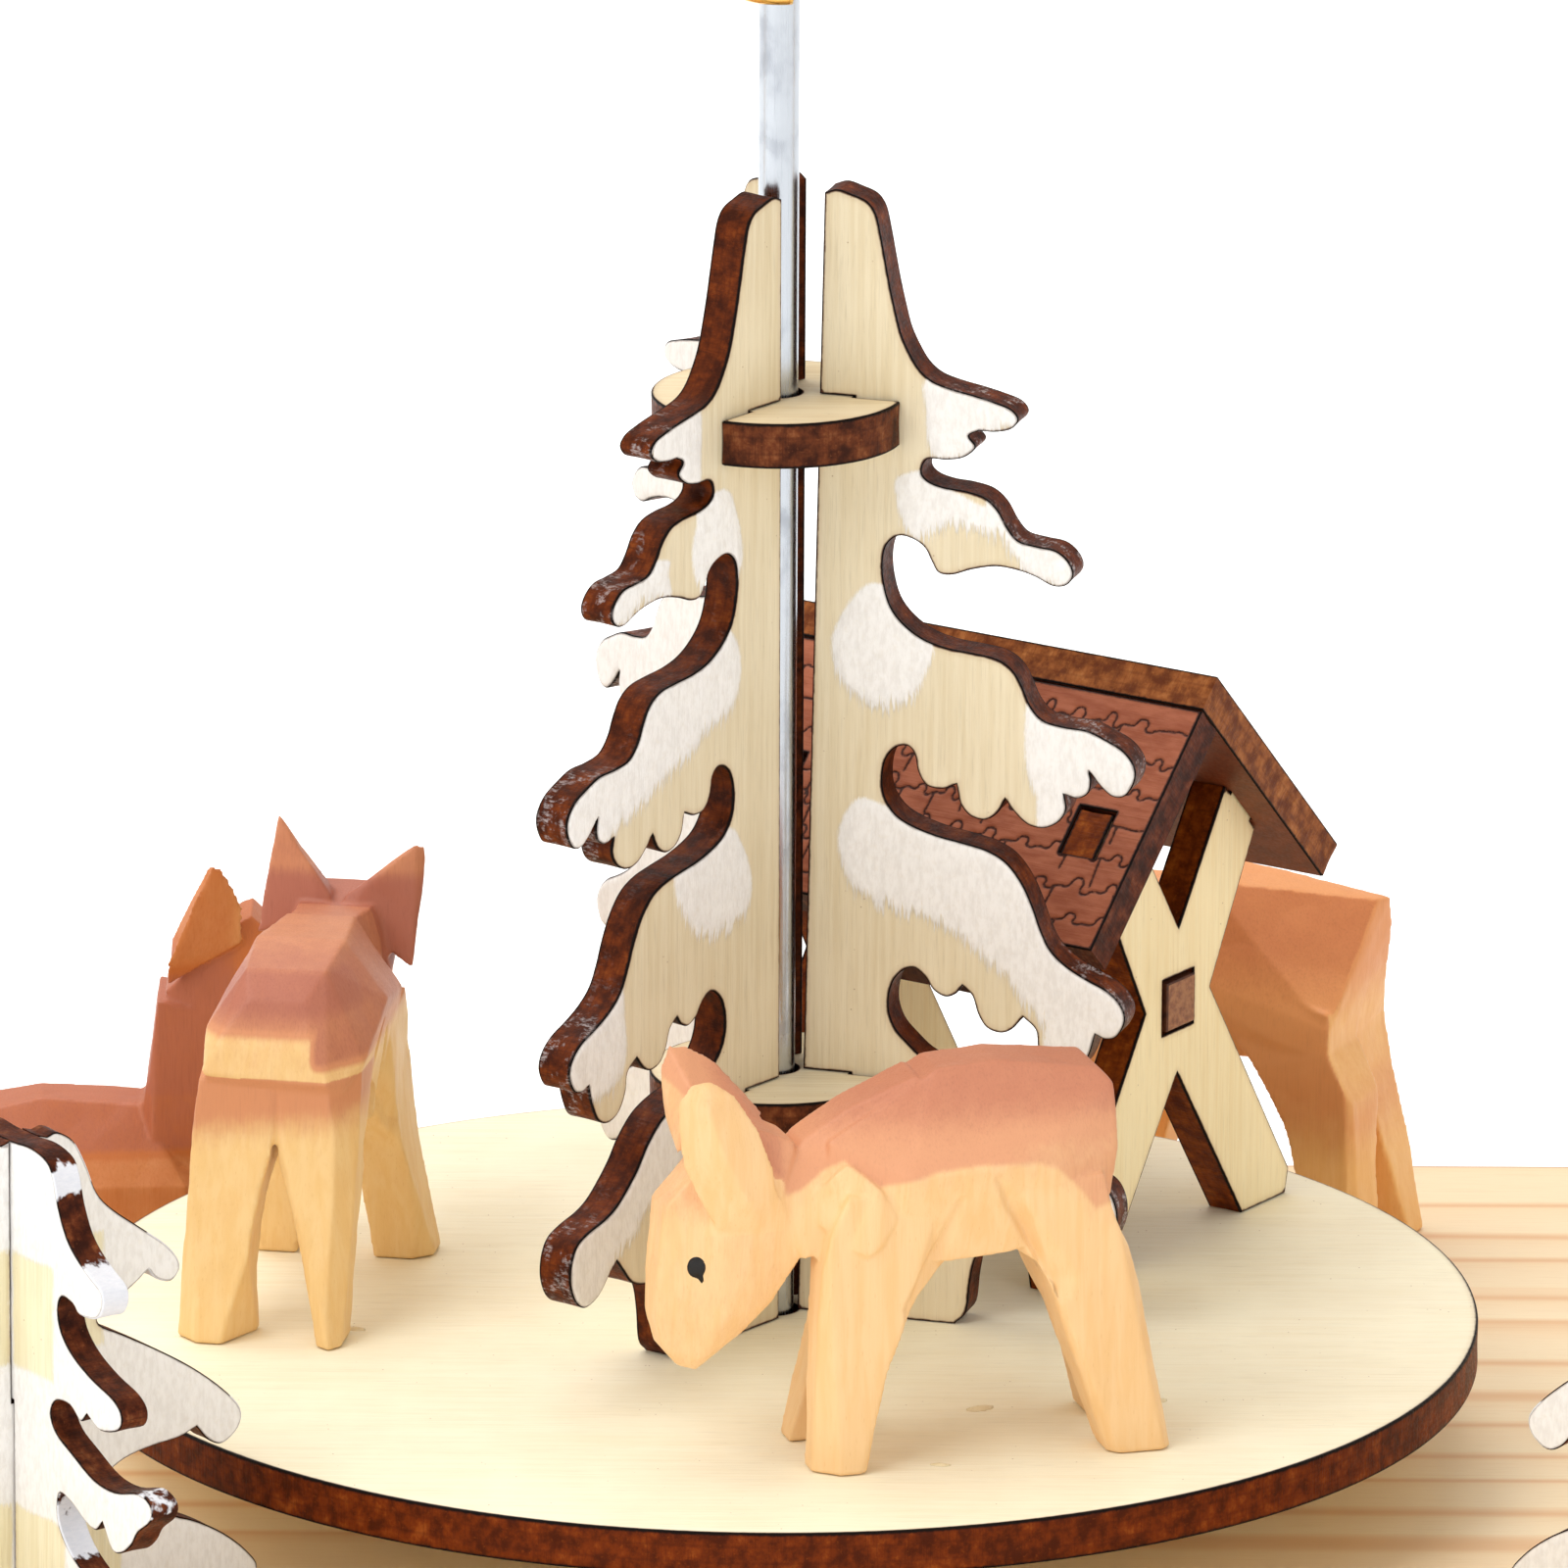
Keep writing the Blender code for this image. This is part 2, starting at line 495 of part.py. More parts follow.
wood_light = (0.84, 0.74, 0.52)
hole = 2.5 + GAP
for tag, along in (("near", -RACK_PLATE_T / 2), ("far", -RACK_PITCH - RACK_PLATE_T / 2)):
    plate("rack_end_" + tag, rack_end_outline(), RACK_PLATE_T,
          rack_matrix(along, 0, 0, (0, 1, 0), (0, 0, 1)),
          material("rack_end_" + tag, wood_light, 0.6),
          holes=[[(-hole, 25.4 - hole), (hole, 25.4 - hole), (hole, 25.4 + hole), (-hole, 25.4 + hole)]])

plate("rack_beam", [(-2.5, 22.9), (2.5, 22.9), (2.5, 27.9), (-2.5, 27.9)], RACK_PITCH + RACK_PLATE_T + 0.8,
      rack_matrix(-(RACK_PITCH + RACK_PLATE_T) / 2, 0, 0, (0, 1, 0), (0, 0, 1)),
      material("rack_beam", (0.35, 0.17, 0.08), 0.6))


def roof_panel(name, side, length, start):
    """One roof slope: local X along the ridge, local Y down the slope from its upper edge."""
    down = (0, side, -1)
    over = 4.3                                            # overhang past the near end plate
    mid = over - ROOF_L / 2
    s2 = math.sqrt(0.5)
    across = side * (start * s2 - ROOF_T / 2 * s2)
    up = ROOF_RIDGE - start * s2 - ROOF_T / 2 * s2
    m = rack_matrix(mid, across, up, (1, 0, 0), down)
    holes = []
    for along in (-RACK_PLATE_T / 2, -RACK_PITCH - RACK_PLATE_T / 2):
        cx = along - mid
        # the tenons' middle, measured down the slope from the ridge's outer corner
        t = (8.4 - GAP * s2) / s2 + 4.0 + ROOF_T - start
        hw, hh = RACK_PLATE_T / 2 + GAP, 2.6 + GAP
        holes.append([(cx - hw, t - hh), (cx + hw, t - hh), (cx + hw, t + hh), (cx - hw, t + hh)])
    return plate(name, [(-ROOF_L / 2, 0), (ROOF_L / 2, 0), (ROOF_L / 2, length), (-ROOF_L / 2, length)],
                 ROOF_T, m, material(name, (0.36, 0.15, 0.08), 0.6), holes=holes)


roof_panel("rack_roof_far", 1, ROOF_SLOPE, 0.0)
roof_panel("rack_roof_near", -1, ROOF_SLOPE - ROOF_T - GAP, ROOF_T + GAP)


# ---------------------------------------------------------------- carved deer
def both(points):
    return [p for x, y, z in points for p in ((x, y, z), (x, -y, z))]


def side(points):
    """A block for the left side and its mirror image for the right side."""
    return [points, [(x, -y, z) for x, y, z in points]]


# grazing: back, neck reaching down, ears laid up and out
GRAZE_TORSO = both([(-11.6, 3.0, 38.0), (-12.6, 5.4, 34.6), (-12.4, 7.2, 29.0), (-11.0, 6.2, 22.5),
                    (-2.0, 3.0, 39.3), (-3.0, 8.4, 31.5), (-2.0, 6.4, 20.6), (5.5, 3.0, 39.0),
                    (8.0, 8.1, 30.0), (9.6, 6.0, 19.6), (15.4, 4.4, 24.2), (15.2, 4.0, 32.6)])
LEVEL_TORSO = both([(-11.8, 3.6, 36.6), (-13.0, 5.4, 33.4), (-13.4, 7.4, 28.0), (-11.6, 6.6, 20.2),
                    (-3.0, 3.8, 37.4), (-4.0, 8.3, 31.0), (-3.0, 6.4, 19.8), (7.6, 3.6, 36.8),
                    (9.0, 8.2, 30.0), (10.6, 6.2, 19.6), (15.4, 4.4, 24.2), (15.2, 3.8, 32.0)])
HIND = side([(-11.9, 0.2, 28.6), (-12.0, 7.8, 28.2), (-3.4, 8.2, 26.0), (-5.0, 6.9, 19.6), (-5.0, 0.2, 20.4),
             (-13.4, 0.2, 20.4), (-18.7, 3.6, 0.3), (-18.5, 8.3, 0.3), (-11.8, 8.4, 0.3), (-11.6, 3.6, 0.3)])
HIND_SWEPT = side([(-11.9, 0.2, 28.6), (-12.0, 7.8, 28.2), (-1.6, 8.2, 23.0), (-2.8, 7.4, 19.8),
                   (-4.0, 0.2, 20.4), (-13.4, 0.2, 20.4), (-18.9, 3.6, 0.3), (-18.7, 8.3, 0.3),
                   (-13.8, 8.4, 0.3), (-13.6, 3.6, 0.3)])
FORE_KNEE = [(11.4, 2.8, 12.0), (11.2, 7.8, 12.0), (16.6, 7.4, 12.0), (16.4, 3.0, 12.0)]
FORE = side([(15.0, 2.0, 28.0), (15.2, 7.2, 26.0), (3.8, 7.8, 25.0), (4.0, 2.2, 23.0), (4.8, 7.0, 17.6)]
            + FORE_KNEE)
SHIN = side(FORE_KNEE + [(11.2, 3.4, 0.3), (10.9, 8.2, 0.3), (17.3, 8.0, 0.3), (17.1, 3.4, 0.3)])

DEER = {
    "graze": [GRAZE_TORSO, *HIND, *FORE, *SHIN,
              both([(6.0, 3.0, 38.6), (8.5, 7.0, 27.0), (13.3, 2.6, 35.9), (18.8, 2.6, 34.1),
                    (20.4, 4.4, 28.0), (18.6, 5.0, 20.6), (12.0, 6.0, 22.0)]),
              both([(18.2, 3.8, 34.0), (18.2, 4.8, 20.4), (24.0, 3.4, 36.8), (30.6, 3.2, 27.0),
                    (30.9, 3.0, 15.4), (28.4, 2.2, 9.4), (26.0, 2.2, 8.9), (19.0, 3.8, 17.0)]),
              [(31.0, 6.4, 37.2), (28.6, 7.4, 41.6), (26.0, 7.6, 42.0), (22.2, 7.4, 35.5), (20.2, 6.4, 30.0),
               (26.2, 5.6, 23.6), (30.4, 5.2, 31.0), (19.8, 3.4, 30.0), (25.0, 2.6, 34.0), (29.0, 3.0, 29.0)],
              [(28.6, -6.4, 38.3), (28.4, -7.4, 40.2), (24.8, -7.6, 40.4), (21.8, -6.8, 37.0),
               (20.8, -5.4, 29.0), (28.8, -4.4, 29.0), (23.0, -2.6, 34.0), (29.8, -5.0, 33.0)]],
    "level": [LEVEL_TORSO, *HIND, *FORE, *SHIN,
              both([(6.5, 3.8, 36.8), (8.5, 6.8, 26.4), (13.6, 4.6, 20.6), (17.6, 4.2, 36.0),
                    (19.0, 4.6, 25.6)]),
              both([(14.6, 4.2, 35.4), (15.2, 6.0, 29.0), (16.2, 4.0, 23.6), (21.8, 4.0, 36.6),
                    (23.2, 5.6, 31.8), (22.6, 4.0, 23.6), (33.0, 2.2, 28.4), (33.4, 2.0, 24.6),
                    (30.6, 2.4, 22.6)]),
              [(15.2, 0.4, 34.6), (16.0, 7.6, 32.8), (20.0, 6.6, 31.8), (20.4, 1.0, 36.4),
               (17.4, 6.2, 44.2), (18.6, 6.6, 43.8), (16.0, 0.6, 36.6)],
              [(15.2, -0.4, 34.6), (15.4, -6.6, 28.0), (20.0, -6.6, 30.0), (20.4, -1.0, 36.4),
               (17.6, -8.0, 41.6), (18.4, -8.5, 39.4), (16.0, -0.6, 36.6)]],
    "swept": [LEVEL_TORSO, *HIND_SWEPT, *FORE, *SHIN,
              both([(6.5, 3.8, 36.8), (8.5, 6.8, 26.4), (13.6, 4.6, 20.6), (17.6, 4.2, 36.0),
                    (19.0, 4.6, 25.6)]),
              both([(14.6, 4.2, 35.4), (15.2, 6.0, 29.0), (16.2, 4.0, 23.6), (21.8, 4.0, 36.6),
                    (23.2, 5.6, 31.8), (22.6, 4.0, 23.6), (33.0, 2.2, 28.4), (33.4, 2.0, 24.6),
                    (30.6, 2.4, 22.6)]),
              *side([(15.2, 0.4, 34.6), (16.0, 7.2, 31.0), (20.0, 6.6, 31.0), (20.4, 1.0, 36.4),
                     (17.4, 6.8, 43.2), (18.6, 7.2, 42.6), (16.0, 0.6, 36.6)])],
    "lying": [both([(-13.6, 4.0, 15.6), (-16.6, 6.6, 10.0), (-15.6, 7.2, 0.3), (-3.0, 4.2, 16.8),
                    (-2.0, 9.0, 10.4), (0.0, 8.6, 0.3), (10.0, 3.8, 16.6), (13.0, 7.6, 10.4),
                    (14.4, 6.2, 0.3), (18.0, 3.6, 8.0)]),
              *side([(4.0, 3.0, 8.0), (4.4, 8.2, 7.0), (3.6, 7.8, 0.3), (24.0, 3.2, 0.3), (24.2, 7.0, 0.3),
                     (23.4, 3.6, 4.0), (23.6, 6.6, 3.8)]),
              *side([(-15.0, 4.0, 9.6), (-14.0, 9.6, 8.0), (-14.6, 10.2, 0.3), (-3.0, 9.2, 9.0),
                     (0.6, 5.0, 0.3), (1.0, 10.0, 0.3), (0.2, 9.4, 4.4)]),
              both([(8.4, 3.8, 16.0), (10.6, 5.6, 9.0), (18.2, 4.6, 10.4), (10.6, 3.6, 28.0),
                    (18.8, 3.8, 26.8)]),
              both([(10.8, 3.8, 30.0), (12.4, 4.2, 26.2), (18.6, 4.0, 37.0), (21.4, 4.6, 31.4),
                    (20.6, 3.4, 24.6), (29.0, 2.1, 28.6), (29.2, 1.9, 25.4), (26.8, 2.3, 23.6)]),
              *side([(10.8, 3.0, 30.4), (11.6, 5.0, 29.6), (18.4, 3.0, 36.2), (18.6, 4.8, 34.4),
                     (15.4, 7.0, 42.0), (16.4, 6.9, 41.7)])],
}


def carved(name, pose, at, heading):
    """Union of knife-cut blocks; each block is the hull of a few corners."""
    place = Matrix.Translation([v * MM for v in at]) @ Matrix.Rotation(math.radians(heading), 4, "Z")
    first = None
    for k, corners in enumerate(DEER[pose]):
        bm = bmesh.new()
        verts = [bm.verts.new(Vector(c) * MM) for c in corners]
        hull = bmesh.ops.convex_hull(bm, input=verts)
        loose = [g for g in hull["geom_interior"] + hull["geom_unused"] if isinstance(g, bmesh.types.BMVert)]
        if loose:
            bmesh.ops.delete(bm, geom=list(set(loose)), context="VERTS")
        bmesh.ops.dissolve_limit(bm, angle_limit=math.radians(2), verts=bm.verts, edges=bm.edges)
        bmesh.ops.triangulate(bm, faces=bm.faces)
        bmesh.ops.recalc_face_normals(bm, faces=bm.faces)
        mesh = bpy.data.meshes.new("%s_block_%d" % (name, k))
        bm.to_mesh(mesh)
        bm.free()
        ob = bpy.data.objects.new(mesh.name, mesh)
        bpy.context.scene.collection.objects.link(ob)
        ob.matrix_world = place
        if first is None:
            first = ob
            finish(ob, name, material(name, LIME, 0.5))
        else:
            as_cutter(ob, "%s_block_%d" % (name, k))
            mod = first.modifiers.new("block_%d" % k, "BOOLEAN")
            mod.operation = "UNION"
            mod.object = ob
    return first


carved("deer_grazing", "graze", (18.8, -41.1, DISC_TOP), 196.3)
carved("deer_disc_left", "level", (-46.5, 4.3, DISC_TOP), 80.3)
carved("deer_base_right", "swept", (49.1, 74.4, BASE_TOP), 155.0)
carved("deer_base_left", "lying", (-73.2, 61.0, BASE_TOP), 0.0)

# ---------------------------------------------------------------- paddle wheel
prof = [(0.0, HUB_Z + HUB_T / 2), (9.0, HUB_Z + HUB_T / 2), (11.0, HUB_Z + HUB_T / 2 - 2.0),
        (HUB_R, HUB_Z + 4.6), (HUB_R, HUB_Z - 4.6), (11.0, HUB_Z - HUB_T / 2 + 2.0),
        (8.0, HUB_Z - HUB_T / 2), (SHAFT_HOLE_R, HUB_Z - HUB_T / 2), (SHAFT_HOLE_R, HUB_Z + 3.4), (0.0, HUB_Z + 3.4)]
hub = turned("rotor_hub", prof, 24, material("rotor_hub", (0.75, 0.53, 0.30), 0.45), closed=False)
z = HUB_Z + HUB_T / 2 + GAP
turned("rotor_finial", [(0, z + 14.0), (2.2, z + 13.6), (3.4, z + 11.6), (2.8, z + 9.4), (1.9, z + 8.0),
                        (3.6, z + 6.8), (5.2, z + 4.6), (5.4, z + 2.4), (4.6, z), (0, z)], 16,
       material("rotor_finial", (0.55, 0.10, 0.06), 0.4))

VANE_T = 1.6
for i in range(N_BLADES):
    ang = 2 * math.pi * i / N_BLADES
    spin = Matrix.Rotation(ang, 4, "Z")
    # stem axis: local X outwards through the hub at HUB_Z
    stem_m = Matrix.Translation((0, 0, HUB_Z * MM)) @ spin
    hole_m = stem_m @ Matrix.Translation((13.0 * MM, 0, 0)) @ Matrix.Rotation(math.pi / 2, 4, "Y")
    drill(hub, "cut_stem_%d" % (i + 1), STEM_R + GAP, 0, 12.0, sides=12, matrix=hole_m)

    # vane: a thin board, narrower towards the hub, turned about the stem
    holder = bpy.data.objects.new("blade_axis_%d" % (i + 1), None)
    PARTS.objects.link(holder)
    holder.matrix_world = stem_m @ Matrix.Rotation(math.radians(BLADE_PITCH), 4, "X")
    slot = 14.0
    line = [(BLADE_R0, -11.5, C), (BLADE_R0 + 45, -16.0), (BLADE_R1 - 8, -19.0), (BLADE_R1 - 1.5, -15.0),
            (BLADE_R1, 0.0), (BLADE_R1 - 1.5, 15.0), (BLADE_R1 - 8, 19.0), (BLADE_R0 + 45, 16.0),
            (BLADE_R0, 11.5, C)]
    vane = plate("vane_%d" % (i + 1), smooth(line, 2), VANE_T, Matrix.Identity(4),
                 material("vane_%d" % (i + 1), (0.84, 0.72, 0.52), 0.6))
    vane.parent = holder
    # stem: a round dowel whose outer end is split for the vane
    bm = bmesh.new()
    x0, x1 = 8.2, BLADE_R0 + slot
    bmesh.ops.create_cone(bm, cap_ends=True, segments=12, radius1=STEM_R * MM, radius2=STEM_R * MM,
                          depth=(x1 - x0) * MM,
                          matrix=Matrix.Translation(((x0 + x1) / 2 * MM, 0, 0)) @ Matrix.Rotation(math.pi / 2, 4, "Y"))
    mesh = bpy.data.meshes.new("stem_%d" % (i + 1))
    bm.to_mesh(mesh)
    bm.free()
    stem = bpy.data.objects.new("stem_%d" % (i + 1), mesh)
    bpy.context.scene.collection.objects.link(stem)
    finish(stem, "stem_%d" % (i + 1), material("stem_%d" % (i + 1), (0.78, 0.60, 0.38), 0.55))
    stem.parent = holder
    bm = bmesh.new()
    bmesh.ops.create_cube(bm, size=1.0, matrix=Matrix.Translation(((BLADE_R0 - GAP + 10.0) * MM, 0, 0))
                          @ Matrix.Diagonal((20.0 * MM, 8.0 * MM, (VANE_T + 2 * 0.3) * MM, 1)))
    mesh = bpy.data.meshes.new("cut_split_%d" % (i + 1))
    bm.to_mesh(mesh)
    bm.free()
    cutter = bpy.data.objects.new("cut_split_%d" % (i + 1), mesh)
    bpy.context.scene.collection.objects.link(cutter)
    as_cutter(cutter, "cut_split_%d" % (i + 1))
    cutter.parent = holder
    mod = stem.modifiers.new("split", "BOOLEAN")
    mod.operation = "DIFFERENCE"
    mod.object = cutter
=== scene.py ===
"""Candle carousel: the finished look of every piece, in the same frame as the solid model.

Units are metres, +Z is up, the spindle is the Z axis and +Y points to the back.
Sizes in this file are written in millimetres and multiplied by MM where a mesh is made.
"""
import math

import bmesh
import bpy
import numpy as np
from mathutils import Matrix, Vector
from mathutils.bvhtree import BVHTree
from mathutils.geometry import delaunay_2d_cdt

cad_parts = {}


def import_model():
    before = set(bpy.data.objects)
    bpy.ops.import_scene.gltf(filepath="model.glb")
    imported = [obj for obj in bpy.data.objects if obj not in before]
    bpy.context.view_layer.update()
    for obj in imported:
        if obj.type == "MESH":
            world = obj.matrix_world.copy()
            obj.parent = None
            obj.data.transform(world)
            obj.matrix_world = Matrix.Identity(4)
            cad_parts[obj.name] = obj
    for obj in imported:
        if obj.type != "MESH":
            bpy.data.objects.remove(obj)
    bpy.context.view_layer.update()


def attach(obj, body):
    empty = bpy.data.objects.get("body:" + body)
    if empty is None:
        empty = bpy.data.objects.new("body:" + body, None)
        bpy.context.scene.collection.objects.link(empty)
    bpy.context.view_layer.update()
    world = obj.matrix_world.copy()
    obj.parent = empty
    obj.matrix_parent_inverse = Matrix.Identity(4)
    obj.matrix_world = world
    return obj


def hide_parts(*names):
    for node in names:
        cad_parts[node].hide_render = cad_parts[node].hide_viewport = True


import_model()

MM = 0.001
C = "corner"

# ---------------------------------------------------------------- dimensions (mm), as in the solid model
FOOT_H, FOOT_D = 5.0, 18.0
BASE_X, BASE_Y, BASE_T = 280.0, 195.0, 12.0
BASE_TOP = FOOT_H + BASE_T
DISC_TOP = BASE_TOP + 15.0
DISC_R, DISC_T = 70.0, 4.5
SHAFT_R, SHAFT_HOLE_R = 2.0, 2.35
COLLAR_R, COLLAR_T = 12.4, 4.5
COLLAR_TOPS = (25.0, 94.2)
COLLAR_SLOT_R = 7.7
FIN_T = 4.0
TREE_H = 115.0
FIN_LEAN_TOP = 4.6
FINS = {
    "tree_fin_right": (-16.3, -2.2, 4.6),
    "tree_fin_left": (-128.6, -0.66, 2.8),
    "tree_fin_back": (122.0, 2.75, 2.4),
}
RACK_DIR = math.radians(-34.0)
RACK_POS = (40.37, 21.6)
RACK_PLATE_T, RACK_PITCH = 4.0, 37.0
ROOF_T, ROOF_L, ROOF_RIDGE, ROOF_SLOPE = 4.0, 50.5, 60.0, 32.3
POST_X = 112.0
BAR_Z, BAR_L, BAR_W, BAR_T = 170.0, 252.0, 16.0, 8.0
HUB_Z, HUB_R, HUB_T = 223.0, 17.0, 15.0
N_BLADES, BLADE_PITCH = 8, 38.0
BLADE_R0, BLADE_R1, VANE_T, STEM_R = 42.0, 140.0, 1.6, 2.5
CANDLES = ((-122.0, -60.0), (122.0, -60.0), (-122.0, 60.0), (122.0, 60.0))
SMALL_TREES = {"small_tree_left": (-72.3, -62.0), "small_tree_right": (94.0, -62.0)}
SMALL_T = 3.0
GAP = 0.3
SEAT = 0.04          # the visible pieces stand this close to what carries them


# ================================================================ camera
def make_camera():
    data = bpy.data.cameras.new("camera")
    data.sensor_width = 36.0
    data.lens = 36.0 * 17795.0 / 1600.0
    data.clip_start, data.clip_end = 0.05, 60.0
    ob = bpy.data.objects.new("camera", data)
    bpy.context.scene.collection.objects.link(ob)
    p, roll = math.radians(16.218), math.radians(0.282)
    ahead = Vector((0.0, math.cos(p), -math.sin(p)))
    right = Vector((1.0, 0.0, 0.0))
    up = Vector((0.0, math.sin(p), math.cos(p)))
    x = right * math.cos(roll) + up * math.sin(roll)
    y = up * math.cos(roll) - right * math.sin(roll)
    z = -ahead
    o = Vector((0.0008, -1.6495, 0.566))
    ob.matrix_world = Matrix(((x.x, y.x, z.x, o.x), (x.y, y.y, z.y, o.y),
                              (x.z, y.z, z.z, o.z), (0, 0, 0, 1)))
    bpy.context.scene.camera = ob


make_camera()


# ================================================================ numbers
def _corner_value(ix, iy, iz, seed):
    h = (ix * 374761393 + iy * 668265263 + iz * 1440662683 + seed * 974634777) & 0xFFFFFFFF
    h = ((h ^ (h >> 13)) * 1274126177) & 0xFFFFFFFF
    h = ((h ^ (h >> 15)) * 2246822519) & 0xFFFFFFFF
    return ((h ^ (h >> 16)) & 0xFFFF) / 65535.0


def value_noise(p, seed=0):
    """Smooth noise from 0 to 1 at points p (N, 3); one unit between lattice values."""
    i = np.floor(p).astype(np.int64)
    f = p - i
    f = f * f * (3 - 2 * f)
    total = np.zeros(len(p))
    for dx in (0, 1):
        wx = f[:, 0] if dx else 1 - f[:, 0]
        for dy in (0, 1):
            wy = f[:, 1] if dy else 1 - f[:, 1]
            for dz in (0, 1):
                wz = f[:, 2] if dz else 1 - f[:, 2]
                total += wx * wy * wz * _corner_value(i[:, 0] + dx, i[:, 1] + dy, i[:, 2] + dz, seed)
    return total


def fbm(p, octaves=3, seed=0):
    total, amp, norm = np.zeros(len(p)), 1.0, 0.0
    for k in range(octaves):
        total += amp * value_noise(p * (2.03 ** k), seed + 17 * k)
        norm += amp
        amp *= 0.5
    return total / norm


def ease(x, a, b):
    t = np.clip((x - a) / (b - a), 0.0, 1.0)
    return t * t * (3 - 2 * t)


# ================================================================ outlines
def smooth(points, steps):
    """Closed Catmull-Rom line through (x, y) points; a third value marks a corner."""
    n = len(points)
    out = []
    for i in range(n):
        p0, p1, p2, p3 = (points[(i + k) % n] for k in (-1, 0, 1, 2))
        a, b = Vector(p1[:2]), Vector(p2[:2])
        ta = (b - a) if len(p1) > 2 else (b - Vector(p0[:2])) * 0.5
        tb = (b - a) if len(p2) > 2 else (Vector(p3[:2]) - a) * 0.5
        straight = len(p1) > 2 and len(p2) > 2
        for k in range(1 if straight else steps):
            t = k / steps
            h1, h2 = 2 * t**3 - 3 * t**2 + 1, t**3 - 2 * t**2 + t
            h3, h4 = -2 * t**3 + 3 * t**2, t**3 - t**2
            p = a * h1 + ta * h2 + b * h3 + tb * h4
            out.append((p.x, p.y))
    return out


def circle(radius, count, cx=0.0, cy=0.0):
    return [(cx + radius * math.cos(2 * math.pi * k / count),
             cy + radius * math.sin(2 * math.pi * k / count)) for k in range(count)]


def rounded_rect(w, h, r, steps=10):
    out = []
    for k, (sx, sy) in enumerate(((1, 1), (-1, 1), (-1, -1), (1, -1))):
        for s in range(steps + 1):
            a = math.pi / 2 * (k + s / steps)
            out.append((sx * (w / 2 - r) + r * math.cos(a), sy * (h / 2 - r) + r * math.sin(a)))
    return out


def rounded(points, radius, steps=4, closed=False):
    """A line whose corners are eased; a third value gives a corner its own radius."""
    n = len(points)
    out = []
    for i, p in enumerate(points):
        if not closed and i in (0, n - 1):
            out.append((p[0], p[1]))
            continue
        a, b, c = Vector(points[i - 1][:2]), Vector(p[:2]), Vector(points[(i + 1) % n][:2])
        r = p[2] if len(p) > 2 else radius
        d = min(r, (a - b).length * 0.45, (c - b).length * 0.45)
        if d < 1e-4:
            out.append((b.x, b.y))
            continue
        q0, q1 = b + (a - b).normalized() * d, b + (c - b).normalized() * d
        for k in range(steps + 1):
            t = k / steps
            q = q0 * (1 - t) ** 2 + b * 2 * t * (1 - t) + q1 * t ** 2
            out.append((q.x, q.y))
    return out


def signed_area(loop):
    a = np.asarray(loop, float)
    b = np.roll(a, -1, 0)
    return 0.5 * float(np.sum(a[:, 0] * b[:, 1] - b[:, 0] * a[:, 1]))


def tidy(loop, longest, ccw=True):
    """Drop doubled points, split long edges, and turn the loop the asked way."""
    pts = [Vector(p[:2]) for p in loop]
    kept = [pts[0]]
    for p in pts[1:]:
        if (p - kept[-1]).length > 0.02:
            kept.append(p)
    if (kept[-1] - kept[0]).length <= 0.02:
        kept.pop()
    out = []
    for i, p in enumerate(kept):
        q = kept[(i + 1) % len(kept)]
        m = max(1, math.ceil((q - p).length / longest))
        out += [tuple(p.lerp(q, k / m)) for k in range(m)]
    a = np.array(out, float)
    if (signed_area(a) > 0) != ccw:
        a = a[::-1].copy()
    return a


def inset(loop, d):
    """Move a loop into the material by d (its material is on the left)."""
    if d == 0:
        return loop.copy()
    e0 = loop - np.roll(loop, 1, 0)
    e1 = np.roll(loop, -1, 0) - loop
    e0 /= np.maximum(np.linalg.norm(e0, axis=1, keepdims=True), 1e-9)
    e1 /= np.maximum(np.linalg.norm(e1, axis=1, keepdims=True), 1e-9)
    n0 = np.stack([-e0[:, 1], e0[:, 0]], 1)
    n1 = np.stack([-e1[:, 1], e1[:, 0]], 1)
    cos = np.sum(n0 * n1, 1, keepdims=True)
    return loop + d * (n0 + n1) / np.maximum(1 + cos, 0.5)


def inside(loops, x, y):
    c = np.zeros(x.shape, bool)
    for loop in loops:
        a = np.asarray(loop, float)
        b = np.roll(a, -1, 0)
        for (x0, y0), (x1, y1) in zip(a, b):
            if y0 != y1:
                c ^= ((y0 > y) != (y1 > y)) & (x < (x1 - x0) * (y - y0) / (y1 - y0) + x0)
    return c


def distance(loops, x, y, closed=True):
    best = np.full(x.shape, 1e9)
    for loop in loops:
        a = np.asarray(loop, float)
        b = np.roll(a, -1, 0)
        if not closed:
            a, b = a[:-1], b[:-1]
        for (x0, y0), (x1, y1) in zip(a, b):
            dx, dy = x1 - x0, y1 - y0
            t = np.clip(((x - x0) * dx + (y - y0) * dy) / max(dx * dx + dy * dy, 1e-12), 0, 1)
            best = np.minimum(best, (x - x0 - t * dx) ** 2 + (y - y0 - t * dy) ** 2)
    return np.sqrt(best)


def signed(loop, x, y):
    """Distance to a closed line, positive inside it."""
    d = distance([loop], x, y)
    return np.where(inside([loop], x, y), d, -d)


# ================================================================ meshes
def add_attribute(mesh, name, values):
    values = np.asarray(values, np.float32)
    if values.ndim == 2:
        layer = mesh.attributes.new(name, "FLOAT_VECTOR", "POINT")
        layer.data.foreach_set("vector", values.ravel())
    else:
        layer = mesh.attributes.new(name, "FLOAT", "POINT")
        layer.data.foreach_set("value", values)


def place(ob, body, stands_for=()):
    """Link a piece, let it ride on its body, and let it stand for its solid."""
    if ob.name not in bpy.context.scene.collection.objects:
        bpy.context.scene.collection.objects.link(ob)
    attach(ob, body)
    if stands_for:
        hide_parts(*([stands_for] if isinstance(stands_for, str) else stands_for))
    return ob


